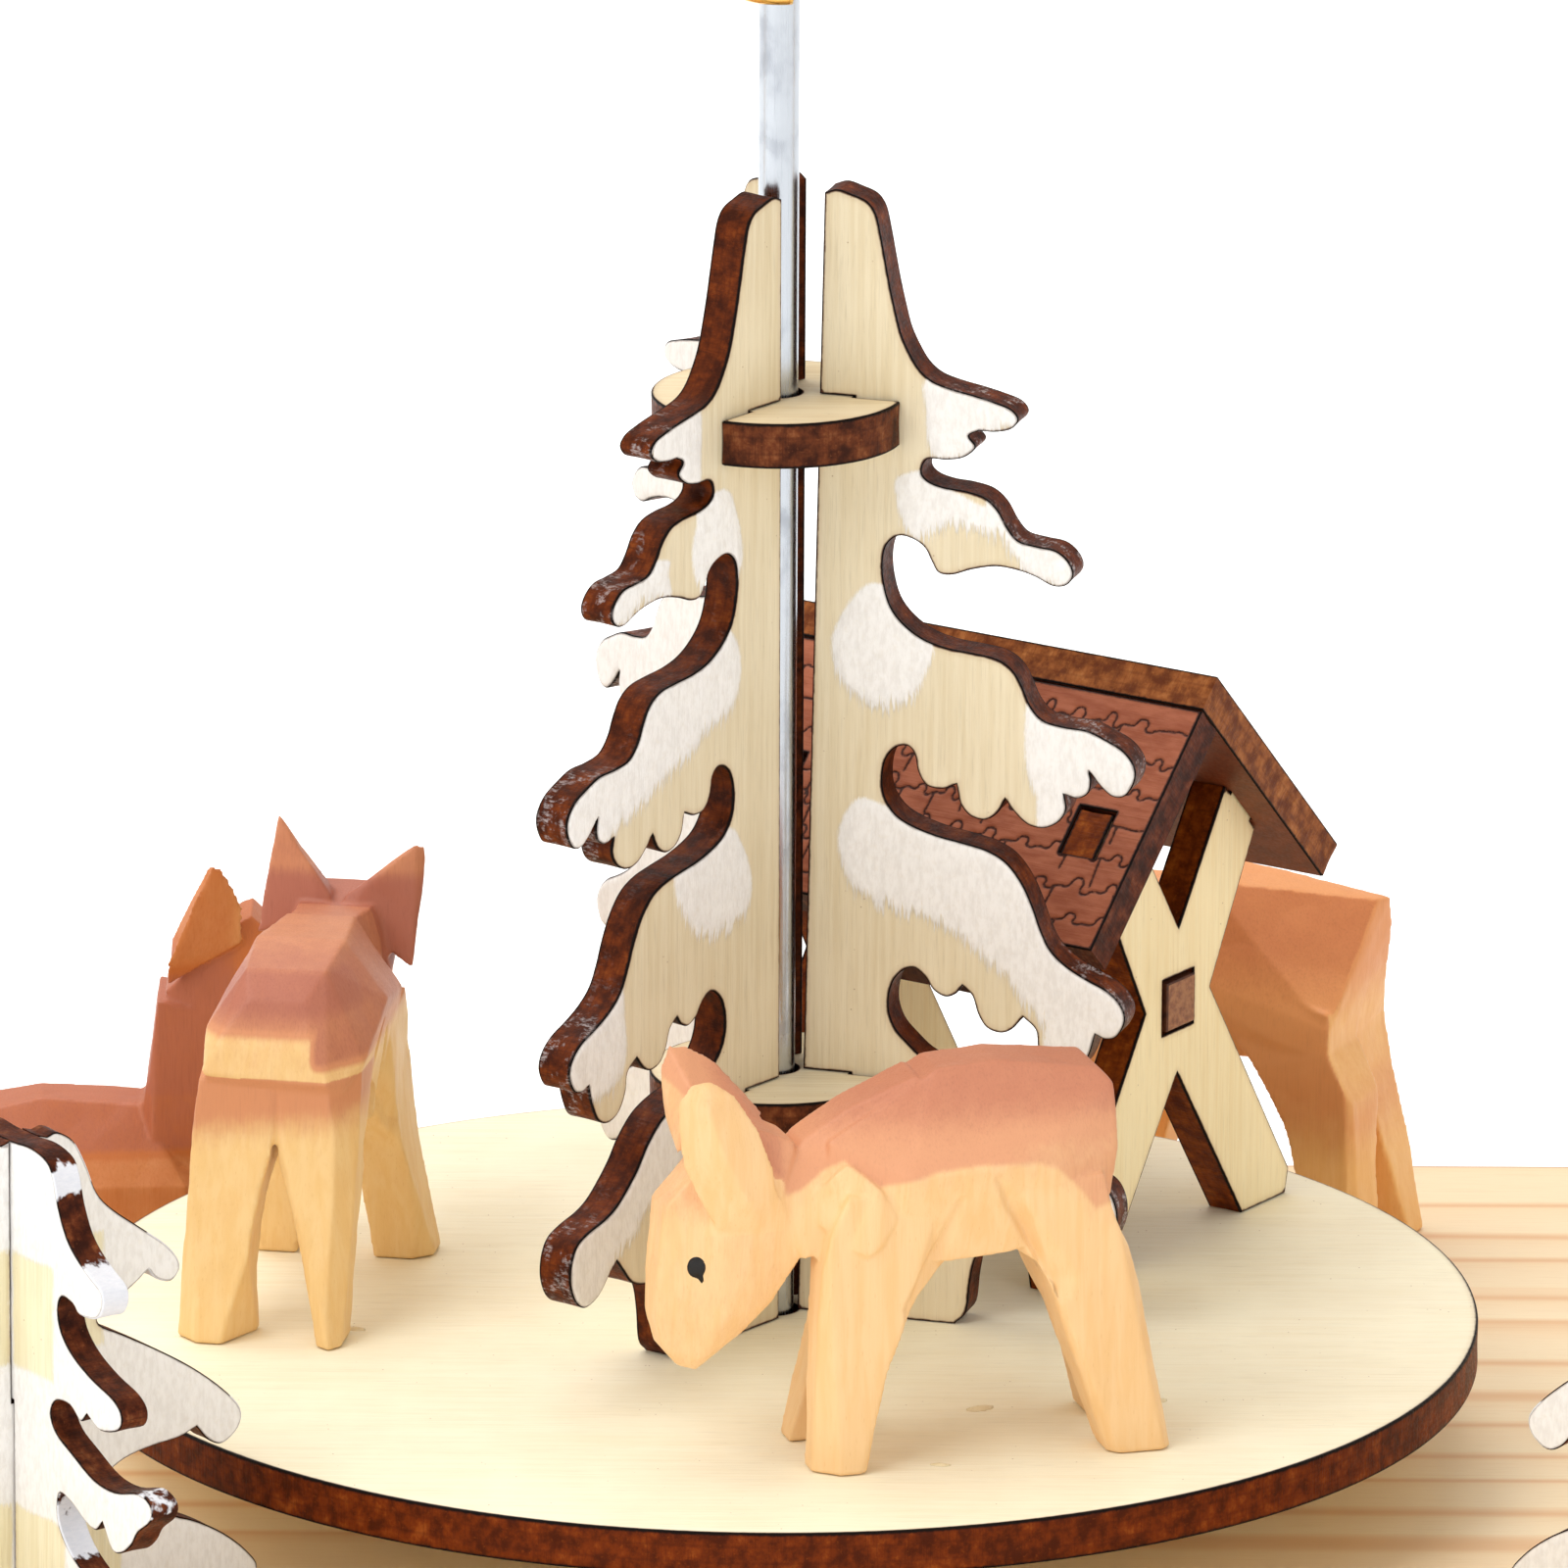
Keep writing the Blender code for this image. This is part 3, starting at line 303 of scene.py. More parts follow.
def triangulate(loops, spacing):
    """Evenly filled triangles inside loops. Returns points, triangles and the loops' vertex numbers."""
    every = np.concatenate(loops)
    (x0, y0), (x1, y1) = every.min(0), every.max(0)
    rows = np.arange(y0 + spacing / 2, y1, spacing * 0.866)
    xs, ys = [], []
    for k, y in enumerate(rows):
        row = np.arange(x0 + spacing / 2 + (k % 2) * spacing / 2, x1, spacing)
        xs.append(row)
        ys.append(np.full(row.shape, y))
    x, y = np.concatenate(xs), np.concatenate(ys)
    keep = inside(loops, x, y)
    x, y = x[keep], y[keep]
    keep = distance(loops, x, y) > 0.5 * spacing
    grid = np.stack([x[keep], y[keep]], 1)
    pts = np.concatenate([every, grid])
    edges, start = [], 0
    for loop in loops:
        n = len(loop)
        edges += [(start + k, start + (k + 1) % n) for k in range(n)]
        start += n
    got = delaunay_2d_cdt([Vector(p) for p in pts], edges, [], 1, 1e-7)
    verts = np.array([(v[0], v[1]) for v in got[0]], float)
    tris = np.array([f for f in got[2] if len(f) == 3], np.int64)
    where = {}
    for new, olds in enumerate(got[3]):
        for old in olds:
            where[old] = new
    mid = verts[tris].mean(1)
    tris = tris[inside(loops, mid[:, 0], mid[:, 1])]
    numbers, start = [], 0
    for loop in loops:
        numbers.append(np.array([where[start + k] for k in range(len(loop))], np.int64))
        start += len(loop)
    return verts, tris, numbers


def arc_rings(thickness, rim, steps, walls):
    """(inset, height) from the upper face over a rounded rim down to the lower face."""
    top = [(rim * (1 - math.sin(a)), thickness / 2 - rim * (1 - math.cos(a)))
           for a in [math.pi / 2 * k / steps for k in range(steps + 1)]]
    low = [(i, -z) for i, z in reversed(top)]
    mid = [(0.0, (thickness / 2 - rim) * (1 - 2 * k / (walls + 1))) for k in range(1, walls + 1)]
    return top + mid + low


def sheet_mesh(name, outline, thickness, holes=(), spacing=(1.0, 1.0), rim=0.14, rim_steps=1, walls=3,
               longest=0.6, pockets=(), relief=None, extras=None, wobble=0.0, matrix=None):
    """A piece cut from sheet: two fine faces, an eased rim and cut walls. Returns a mesh in metres.

    relief(x, y, side) lifts a face, side is 1 for the upper and -1 for the lower one.
    extras(x, y, z, side) gives more point values by name; side is 0 on the walls.
    """
    outer = tidy(outline, longest, True)
    through = [tidy(h, longest, False) for h in holes]
    blind = [(tidy(h, longest, False), depth) for h, depth in pockets]
    loops = [outer] + through
    rings = arc_rings(thickness, rim, rim_steps, walls)
    half = thickness / 2

    co, faces, slots = [], [], []
    x_all, y_all, z_all, side_all, edge_all = [], [], [], [], []

    def add(xy, z, side, edge):
        start = sum(len(a) for a in x_all)
        x_all.append(xy[:, 0]); y_all.append(xy[:, 1])
        z_all.append(np.broadcast_to(np.asarray(z, float), (len(xy),)).copy())
        side_all.append(np.full(len(xy), side)); edge_all.append(edge)
        return start

    face_loops = {}
    for side, gap in ((1, spacing[0]), (-1, spacing[1])):
        true = loops + ([b[0] for b in blind] if side > 0 else [])
        cut = [inset(l, rim) for l in true]
        verts, tris, numbers = triangulate(cut, gap)
        edge = distance(true, verts[:, 0], verts[:, 1])
        z = np.full(len(verts), side * half)
        if relief is not None:
            z = z + side * relief(verts[:, 0], verts[:, 1], side) * ease(edge, rim, rim + 0.25)
        start = add(verts, z, side, edge)
        a = verts[tris]
        turn = np.cross(a[:, 1] - a[:, 0], a[:, 2] - a[:, 0])
        good = np.where((turn * side > 0)[:, None], tris, tris[:, ::-1])
        faces += (good + start).tolist()
        slots += [0] * len(good)
        face_loops[side] = [n + start for n in numbers]

    for k, loop in enumerate(loops):
        prev = face_loops[1][k]
        shift = np.zeros(len(loop))
        for j, (i, z) in enumerate(rings[1:], 1):
            last = j == len(rings) - 1
            if last:
                cur = face_loops[-1][k]
            else:
                ring = inset(loop, i)
                if wobble:
                    p = np.stack([ring[:, 0] * 0.9, ring[:, 1] * 0.9, np.full(len(ring), z * 0.5)], 1)
                    ring = inset(ring, 0) + (inset(ring, 1.0) - ring) * (
                        (fbm(p, 3, 5) * wobble * max(0.0, 1 - abs(z) / half))[:, None])
                start = add(ring, z, 0, np.zeros(len(ring)))
                cur = np.arange(len(ring)) + start
            nxt_p, nxt_c = np.roll(prev, -1), np.roll(cur, -1)
            quads = np.stack([prev, cur, nxt_c, nxt_p], 1)
            faces += quads.tolist()
            slots += [1] * len(quads)
            prev = cur
    for m, (loop, depth) in enumerate(blind):
        prev = face_loops[1][len(loops) + m]
        for i, z in ((0.0, half - rim), (0.0, half - depth * 0.5), (0.0, half - depth)):
            start = add(inset(loop, i), z, 0, np.zeros(len(loop)))
            cur = np.arange(len(loop)) + start
            quads = np.stack([prev, cur, np.roll(cur, -1), np.roll(prev, -1)], 1)
            faces += quads.tolist()
            slots += [1] * len(quads)
            prev = cur
        c = add(loop.mean(0)[None], half - depth, 0, np.zeros(1))
        faces += [[int(p), int(q), c] for p, q in zip(np.roll(prev, -1), prev)][::-1]
        slots += [1] * len(prev)

    x, y, z = (np.concatenate(v) for v in (x_all, y_all, z_all))
    side, edge = np.concatenate(side_all), np.concatenate(edge_all)
    local = np.stack([x, y, z], 1)
    mesh = bpy.data.meshes.new(name)
    mesh.from_pydata((local * MM).tolist(), [], faces)
    mesh.polygons.foreach_set("material_index", np.array(slots, np.int32))
    mesh.validate()
    mesh.update()
    add_attribute(mesh, "loc", local)
    add_attribute(mesh, "edge", edge)
    if extras is not None:
        for key, values in extras(x, y, z, side, edge).items():
            add_attribute(mesh, key, values)
    if matrix is not None:
        mesh.transform(matrix)
    bm = bmesh.new()
    bm.from_mesh(mesh)
    bmesh.ops.recalc_face_normals(bm, faces=bm.faces)
    bm.to_mesh(mesh)
    bm.free()
    mesh.shade_smooth()
    mesh.set_sharp_from_angle(angle=math.radians(32))
    return mesh


def sheet_piece(name, mats, body, matrix, stands_for=None, **kw):
    mesh = sheet_mesh(name, matrix=matrix, **kw)
    for m in mats:
        mesh.materials.append(m)
    ob = bpy.data.objects.new(name + "_look", mesh)
    return place(ob, body, stands_for or name)


def lathe_mesh(name, profile, count=64, at=(0, 0, 0), close=False, flute=None):
    """A turned piece from (radius, height) mm, listed from the axis or the outside, top to bottom."""
    verts, rows = [], []
    for r, z in profile:
        if r < 1e-6:
            rows.append([len(verts)])
            verts.append((0.0, 0.0, z))
        else:
            rows.append(list(range(len(verts), len(verts) + count)))
            for k in range(count):
                a = 2 * math.pi * k / count
                verts.append((r * math.cos(a), r * math.sin(a), z))
    faces = []
    pairs = list(zip(rows, rows[1:])) + ([(rows[-1], rows[0])] if close else [])
    for p, q in pairs:
        for k in range(count):
            j = (k + 1) % count
            if len(p) == 1 and len(q) == 1:
                continue
            if len(p) == 1:
                faces.append((p[0], q[k], q[j]))
            elif len(q) == 1:
                faces.append((p[j], p[k], q[0]))
            else:
                faces.append((p[j], p[k], q[k], q[j]))
    mesh = bpy.data.meshes.new(name)
    local = np.array(verts, float)
    mesh.from_pydata((local * MM).tolist(), [], faces)
    mesh.validate()
    add_attribute(mesh, "loc", local)
    mesh.transform(Matrix.Translation(Vector(at) * MM))
    bm = bmesh.new()
    bm.from_mesh(mesh)
    bmesh.ops.recalc_face_normals(bm, faces=bm.faces)
    bm.to_mesh(mesh)
    bm.free()
    mesh.shade_smooth()
    mesh.set_sharp_from_angle(angle=math.radians(40))
    return mesh


def lathe_piece(name, mat, body, profile, stands_for=None, **kw):
    mesh = lathe_mesh(name, profile, **kw)
    mesh.materials.append(mat)
    return place(bpy.data.objects.new(name + "_look", mesh), body, stands_for or name)


def upright(direction, shift, z0):
    """Local X runs outwards along direction (degrees), local Y up, local Z sideways."""
    a = math.radians(direction)
    u = Vector((math.cos(a), math.sin(a), 0.0))
    n = Vector((math.sin(a), -math.cos(a), 0.0))
    o = n * shift * MM + Vector((0, 0, z0 * MM))
    return Matrix(((u.x, 0, n.x, o.x), (u.y, 0, n.y, o.y), (0, 1, 0, o.z), (0, 0, 0, 1)))


# ================================================================ materials
def srgb(r, g, b):
    out = []
    for v in (r, g, b):
        v /= 255.0
        out.append(v / 12.92 if v <= 0.04045 else ((v + 0.055) / 1.055) ** 2.4)
    return (*out, 1.0)


class Shader:
    """A short way to write node materials. Lengths in the 'loc' point value are millimetres."""

    def __init__(self, name):
        self.mat = bpy.data.materials.new(name)
        self.mat.use_nodes = True
        self.nt = self.mat.node_tree
        self.nt.nodes.clear()
        out = self.nt.nodes.new("ShaderNodeOutputMaterial")
        self.bsdf = self.nt.nodes.new("ShaderNodeBsdfPrincipled")
        self.nt.links.new(self.bsdf.outputs[0], out.inputs[0])
        self._loc = None

    def put(self, socket, value):
        if isinstance(value, bpy.types.NodeSocket):
            self.nt.links.new(value, socket)
        elif value is not None:
            socket.default_value = value

    def node(self, kind, **props):
        n = self.nt.nodes.new(kind)
        for k, v in props.items():
            setattr(n, k, v)
        return n

    def attr(self, name, out="Fac"):
        n = self.node("ShaderNodeAttribute", attribute_type="GEOMETRY", attribute_name=name)
        return n.outputs[out]

    @property
    def loc(self):
        if self._loc is None:
            self._loc = self.attr("loc", "Vector")
        return self._loc

    def scaled(self, v, sx, sy, sz, off=(0, 0, 0)):
        n = self.node("ShaderNodeVectorMath", operation="MULTIPLY_ADD")
        self.put(n.inputs[0], v)
        n.inputs[1].default_value = (sx, sy, sz)
        n.inputs[2].default_value = off
        return n.outputs[0]

    def axis(self, v, k):
        n = self.node("ShaderNodeSeparateXYZ")
        self.put(n.inputs[0], v)
        return n.outputs[k]

    def noise(self, v, scale=1.0, detail=2.0, rough=0.5, warp=0.0, out="Fac"):
        n = self.node("ShaderNodeTexNoise")
        self.put(n.inputs["Vector"], v)
        n.inputs["Scale"].default_value = scale
        n.inputs["Detail"].default_value = detail
        n.inputs["Roughness"].default_value = rough
        n.inputs["Distortion"].default_value = warp
        return n.outputs[out]

    def cells(self, v, scale=1.0, feature="F1", rand=1.0, out="Distance"):
        n = self.node("ShaderNodeTexVoronoi", feature=feature)
        self.put(n.inputs["Vector"], v)
        n.inputs["Scale"].default_value = scale
        n.inputs["Randomness"].default_value = rand
        return n.outputs[out]

    def math(self, op, a, b=None, c=None, clamp=False):
        n = self.node("ShaderNodeMath", operation=op, use_clamp=clamp)
        self.put(n.inputs[0], a)
        self.put(n.inputs[1], b)
        self.put(n.inputs[2], c)
        return n.outputs[0]

    def remap(self, v, a, b, c=0.0, d=1.0, soft=True):
        n = self.node("ShaderNodeMapRange", interpolation_type="SMOOTHSTEP" if soft else "LINEAR", clamp=True)
        self.put(n.inputs["Value"], v)
        for key, x in (("From Min", a), ("From Max", b), ("To Min", c), ("To Max", d)):
            self.put(n.inputs[key], x)
        return n.outputs[0]

    def mix(self, fac, a, b, mode="MIX"):
        n = self.node("ShaderNodeMix", data_type="RGBA", blend_type=mode, clamp_factor=True)
        self.put(n.inputs["Factor"], fac)
        self.put(n.inputs[6], a)
        self.put(n.inputs[7], b)
        return n.outputs[2]

    def ramp(self, fac, *stops):
        n = self.node("ShaderNodeValToRGB")
        self.put(n.inputs[0], fac)
        els = n.color_ramp.elements
        while len(els) < len(stops):
            els.new(0.5)
        for e, (pos, colour) in zip(els, stops):
            e.position = pos
            e.color = colour
        return n.outputs[0]

    def bump(self, height, distance_mm, strength=1.0, normal=None):
        n = self.node("ShaderNodeBump")
        n.inputs["Strength"].default_value = strength
        n.inputs["Distance"].default_value = distance_mm * MM
        self.put(n.inputs["Height"], height)
        self.put(n.inputs["Normal"], normal)
        return n.outputs[0]

    def done(self, colour=None, rough=None, normal=None, **fixed):
        b = self.bsdf.inputs
        self.put(b["Base Color"], colour)
        self.put(b["Roughness"], rough)
        self.put(b["Normal"], normal)
        for key, v in fixed.items():
            b[key.replace("_", " ")].default_value = v
        return self.mat


def snow_cover(s, reach=0.35):
    """How much of a point the brushed white paint covers: crisp, with strokes drawn downwards."""
    snow, streak = s.attr("snow"), s.attr("streak")
    long_strokes = s.noise(s.scaled(s.loc, 4.4, 0.20, 0.0, (3, 1, 0)), 1.0, 3.0, 0.7)
    short = s.noise(s.scaled(s.loc, 5.5, 1.6, 0.0, (9, 4, 0)), 1.0, 2.0, 0.6)
    drag = s.math("MULTIPLY", s.math("SUBTRACT", long_strokes, 0.5), s.math("MULTIPLY", streak, 44.0))
    fine = s.math("MULTIPLY", s.math("SUBTRACT", short, 0.5), 0.5)
    level = s.math("ADD", s.math("ADD", snow, drag), fine)
    wide = s.math("MULTIPLY_ADD", streak, 4.5, reach)
    return s.remap(level, -0.10, wide)


def ply_face(name, base, dark, snow=True, along="y", speck=0.6, burn=0.24, burn_colour=(70, 30, 12)):
    """Sanded poplar ply: fine upright streaks, pores, specks, a burnt line at the cut, brushed paint."""
    s = Shader(name)
    fine, grain = (6.0, 0.22), (1.7, 0.05)
    if along == "x":
        fine, grain = fine[::-1], grain[::-1]
    hair = s.noise(s.scaled(s.loc, fine[0], fine[1], 0.2), 1.0, 2.0, 0.65)
    broad = s.noise(s.scaled(s.loc, grain[0], grain[1], 0.1, (5, 2, 0)), 1.0, 3.0, 0.55, 0.4)
    cloud = s.noise(s.scaled(s.loc, 0.10, 0.06, 0.1, (1, 7, 0)), 1.0, 2.0, 0.5)
    pore = (9.0, 1.1) if along == "y" else (1.1, 9.0)
    pores = s.cells(s.scaled(s.loc, pore[0] * 0.55, pore[1] * 0.55, 0.3), 1.0)
    col = s.mix(s.remap(broad, 0.32, 0.70), srgb(*base), srgb(*dark))
    light = tuple(min(255, c + 8) for c in base)
    col = s.mix(s.remap(cloud, 0.35, 0.75, 0.0, 0.55), col, srgb(*light))
    col = s.mix(s.remap(hair, 0.52, 0.74, 0.0, 0.30), col, srgb(*[c * 0.86 for c in dark]))
    col = s.mix(s.remap(pores, 0.10, 0.02, 0.0, 0.30), col, srgb(*[c * 0.72 for c in dark]))
    dots = s.cells(s.scaled(s.loc, 0.75, 0.75, 0.3, (4, 4, 0)), 1.0)
    some = s.noise(s.scaled(s.loc, 0.30, 0.30, 0.3, (8, 1, 0)), 1.0, 1.0)
    speckle = s.math("MULTIPLY", s.remap(dots, 0.085, 0.03), s.remap(some, 0.5, 0.6))
    col = s.mix(s.math("MULTIPLY", speckle, speck), col, srgb(150, 115, 75))
    edge = s.attr("edge")
    wav = s.noise(s.scaled(s.loc, 1.2, 1.2, 0.3), 1.0, 2.0)
    scorch = s.remap(s.math("ADD", edge, s.math("MULTIPLY", wav, -0.16)), burn, burn * 0.15)
    halo = s.remap(edge, 0.9, 0.1, 0.0, 0.22)
    col = s.mix(halo, col, srgb(165, 120, 70))
    rough = s.remap(hair, 0.3, 0.7, 0.52, 0.68, False)
    height = s.math("ADD", s.math("MULTIPLY", hair, 0.5), s.math("MULTIPLY", pores, 0.25))
    if snow:
        cover = snow_cover(s)
        brush = s.noise(s.scaled(s.loc, 2.2, 0.7, 0.2, (2, 8, 0)), 1.0, 3.0, 0.6)
        clumps = s.noise(s.scaled(s.loc, 1.1, 1.1, 0.2, (6, 6, 0)), 1.0, 3.0, 0.6)
        paint = s.mix(s.remap(brush, 0.35, 0.7), srgb(243, 242, 240), srgb(232, 230, 227))
        paint = s.mix(s.remap(clumps, 0.55, 0.75, 0.0, 0.35), paint, srgb(226, 221, 212))
        thin = s.remap(clumps, 0.25, 0.42, 0.90, 1.0)
        cover = s.math("MULTIPLY", cover, thin)
        col = s.mix(cover, col, paint)
        scorch = s.math("MULTIPLY", scorch, s.remap(cover, 0.2, 0.9, 1.0, 0.62))
        rough = s.mix(cover, rough, s.remap(brush, 0.3, 0.7, 0.42, 0.6, False))
        height = s.math("ADD", height, s.math("MULTIPLY", cover, s.math("ADD", 0.8, s.math("MULTIPLY", brush, 0.9))))
    col = s.mix(scorch, col, srgb(*burn_colour))
    return s.done(col, rough, s.bump(height, 0.05, 0.8), Specular_IOR_Level=0.35)


def burnt_wall(name, half, base=(102, 44, 12), light=(136, 68, 24), dark=(58, 22, 7), rims=0.40,
               scuff=1.0, black=(16, 9, 7), blobs=False):
    """A laser-cut edge: brown char with streaks through the sheet, glue lines and near-black rims."""
    s = Shader(name)
    z = s.axis(s.loc, 2)
    depth = s.math("SUBTRACT", half, s.math("ABSOLUTE", z))
    mott = s.noise(s.scaled(s.loc, 0.55, 0.55, 0.5), 1.0, 4.0, 0.62)
    cut = s.noise(s.scaled(s.loc, 4.5, 4.5, 0.35, (3, 3, 1)), 1.0, 2.0, 0.6)
    fine = s.noise(s.scaled(s.loc, 2.2, 2.2, 3.0, (1, 5, 2)), 1.0, 3.0, 0.65)
    col = s.mix(s.remap(mott, 0.34, 0.62), srgb(*dark), srgb(*base))
    col = s.mix(s.remap(mott, 0.55, 0.78, 0.0, 0.9), col, srgb(*light))
    col = s.mix(s.remap(cut, 0.5, 0.75, 0.0, 0.45), col, srgb(*dark))
    col = s.mix(s.remap(fine, 0.58, 0.74, 0.0, 0.35), col, srgb(*light))
    veneer = s.math("ABSOLUTE", s.math("SUBTRACT", s.math("ABSOLUTE", z), half * 0.36))
    col = s.mix(s.remap(veneer, 0.22, 0.05, 0.0, 0.30), col, srgb(*dark))
    wav = s.math("MULTIPLY", s.math("SUBTRACT", s.noise(s.scaled(s.loc, 1.6, 1.6, 0.2), 1.0, 3.0, 0.6), 0.5), 0.28)
    rim = s.remap(s.math("ADD", depth, wav), rims, rims * 0.35)
    col = s.mix(rim, col, srgb(*black))
    rough = s.remap(fine, 0.3, 0.75, 0.34, 0.62, False)
    height = s.math("ADD", s.math("MULTIPLY", cut, 0.7), s.math("MULTIPLY", fine, 0.5))
    if scuff:
        snow = s.attr("snow")
        patch = s.noise(s.scaled(s.loc, 0.42, 0.42, 0.55, (7, 2, 5)), 1.0, 3.0, 0.6)
        dry = s.noise(s.scaled(s.loc, 3.0, 3.0, 1.2, (2, 2, 5)), 1.0, 3.0, 0.7)
        tip = s.attr("tip")
        if blobs:
            near = s.remap(s.math("ADD", tip, s.math("MULTIPLY", s.math("SUBTRACT", patch, 0.5), 3.2)), 0.0, 0.35)
            daub = s.math("MULTIPLY", near, s.remap(dry, 0.22, 0.34, 0.75, 1.0))
            col = s.mix(daub, col, s.mix(dry, srgb(238, 238, 242), srgb(208, 212, 222)))
            height = s.math("ADD", height, s.math("MULTIPLY", daub, 1.2))
        else:
            near = s.math("MULTIPLY", s.remap(snow, -0.5, 0.4), s.remap(patch, 0.50, 0.60))
            near = s.math("MULTIPLY", near, s.remap(tip, -2.0, 4.0, 0.10, 1.0))
            daub = s.math("MULTIPLY", near, s.remap(dry, 0.42, 0.66, 0.0, scuff * 0.75))
            daub = s.math("MULTIPLY", daub, s.remap(rim, 0.1, 0.9, 1.0, 0.35))
            col = s.mix(daub, col, srgb(176, 166, 166))
    return s.done(col, rough, s.bump(height, 0.09, 0.8), Specular_IOR_Level=0.08)


def pine(name, base=(233, 201, 166), ring=(216, 170, 130), late=(196, 146, 104), along="x", pitch=7.0,
         gloss=0.42, sway=3.4):
    """Planed pine: growth rings drawn out along the board, fine fibres, a few resin streaks."""
    s = Shader(name)
    k = {"x": (0.010, 1.0, 1.0), "y": (1.0, 0.010, 1.0), "z": (1.0, 1.0, 0.012)}[along]
    wide = s.noise(s.scaled(s.loc, k[0] * 0.9 / pitch, k[1] * 0.55 / pitch, k[2] * 0.55 / pitch, (3.1, 0.7, 1.9)),
                   1.0, 2.0, 0.5)
    across = s.axis(s.scaled(s.loc, 1 / pitch, 1 / pitch, 1 / pitch), 1 if along != "y" else 0)
    band = s.math("ADD", across, s.math("MULTIPLY", wide, sway))
    saw = s.math("FRACT", band)
    lateness = s.remap(s.math("ABSOLUTE", s.math("SUBTRACT", saw, 0.82)), 0.17, 0.0)
    soft = s.remap(saw, 0.15, 0.85, 0.0, 0.55)
    f = (0.16, 6.0, 6.0) if along == "x" else ((6.0, 0.16, 6.0) if along == "y" else (6.0, 6.0, 0.16))
    fibre = s.noise(s.scaled(s.loc, *f), 1.0, 3.0, 0.65)
    g = tuple(v * 0.22 for v in f)
    streak = s.noise(s.scaled(s.loc, *g, (5, 5, 2)), 1.0, 2.0, 0.6)
    col = s.mix(soft, srgb(*base), srgb(*ring))
    col = s.mix(s.math("MULTIPLY", lateness, 0.75), col, srgb(*late))
    col = s.mix(s.remap(fibre, 0.5, 0.75, 0.0, 0.30), col, srgb(*[c * 0.9 for c in ring]))
    col = s.mix(s.remap(streak, 0.62, 0.8, 0.0, 0.30), col, srgb(*late))
    rough = s.remap(fibre, 0.3, 0.7, gloss - 0.06, gloss + 0.12, False)
    height = s.math("ADD", fibre, s.math("MULTIPLY", lateness, 0.8))
    return s.done(col, rough, s.bump(height, 0.05, 0.7), Specular_IOR_Level=0.4)


def turned_wood(name, base, dark, gloss=0.32, rings=0.6):
    """Turned hardwood under thin varnish: grain along the axis crossed by faint tool rings."""
    s = Shader(name)
    grain = s.noise(s.scaled(s.loc, 1.1, 1.1, 0.10), 1.0, 3.0, 0.6, 0.6)
    fibre = s.noise(s.scaled(s.loc, 7.0, 7.0, 0.35, (1, 2, 3)), 1.0, 2.0, 0.6)
    tool = s.noise(s.scaled(s.loc, 0.02, 0.02, 9.0, (4, 4, 4)), 1.0, 2.0, 0.5)
    col = s.mix(s.remap(grain, 0.35, 0.68), srgb(*base), srgb(*dark))
    col = s.mix(s.remap(fibre, 0.52, 0.75, 0.0, 0.35), col, srgb(*[c * 0.82 for c in dark]))
    col = s.mix(s.remap(tool, 0.58, 0.75, 0.0, 0.18), col, srgb(*[c * 0.8 for c in dark]))
    rough = s.remap(fibre, 0.3, 0.7, gloss - 0.05, gloss + 0.12, False)
    height = s.math("ADD", s.math("MULTIPLY", tool, rings), s.math("MULTIPLY", fibre, 0.5))
    return s.done(col, rough, s.bump(height, 0.04, 0.8), Specular_IOR_Level=0.45, Coat_Weight=0.15,
                  Coat_Roughness=0.25)


def metal(name, colour, dull, rough=0.16, draw="z", spots=0.3):
    """Drawn or spun metal: fine lines the way it was worked, and slight dulling."""
    s = Shader(name)
    f = (9.0, 9.0, 0.12) if draw == "z" else (0.4, 0.4, 9.0)
    lines = s.noise(s.scaled(s.loc, *f), 1.0, 3.0, 0.7)
    haze = s.noise(s.scaled(s.loc, 0.22, 0.22, 0.16, (3, 6, 1)), 1.0, 3.0, 0.6)
    col = s.mix(s.remap(haze, 0.45, 0.75, 0.0, spots), srgb(*colour), srgb(*dull))
    col = s.mix(s.remap(lines, 0.55, 0.8, 0.0, 0.25), col, srgb(*dull))
    r = s.math("ADD", s.remap(lines, 0.3, 0.7, rough * 0.8, rough * 1.25, False), s.remap(haze, 0.5, 0.8, 0.0, 0.12))
    return s.done(col, r, s.bump(lines, 0.012, 0.6), Metallic=1.0)


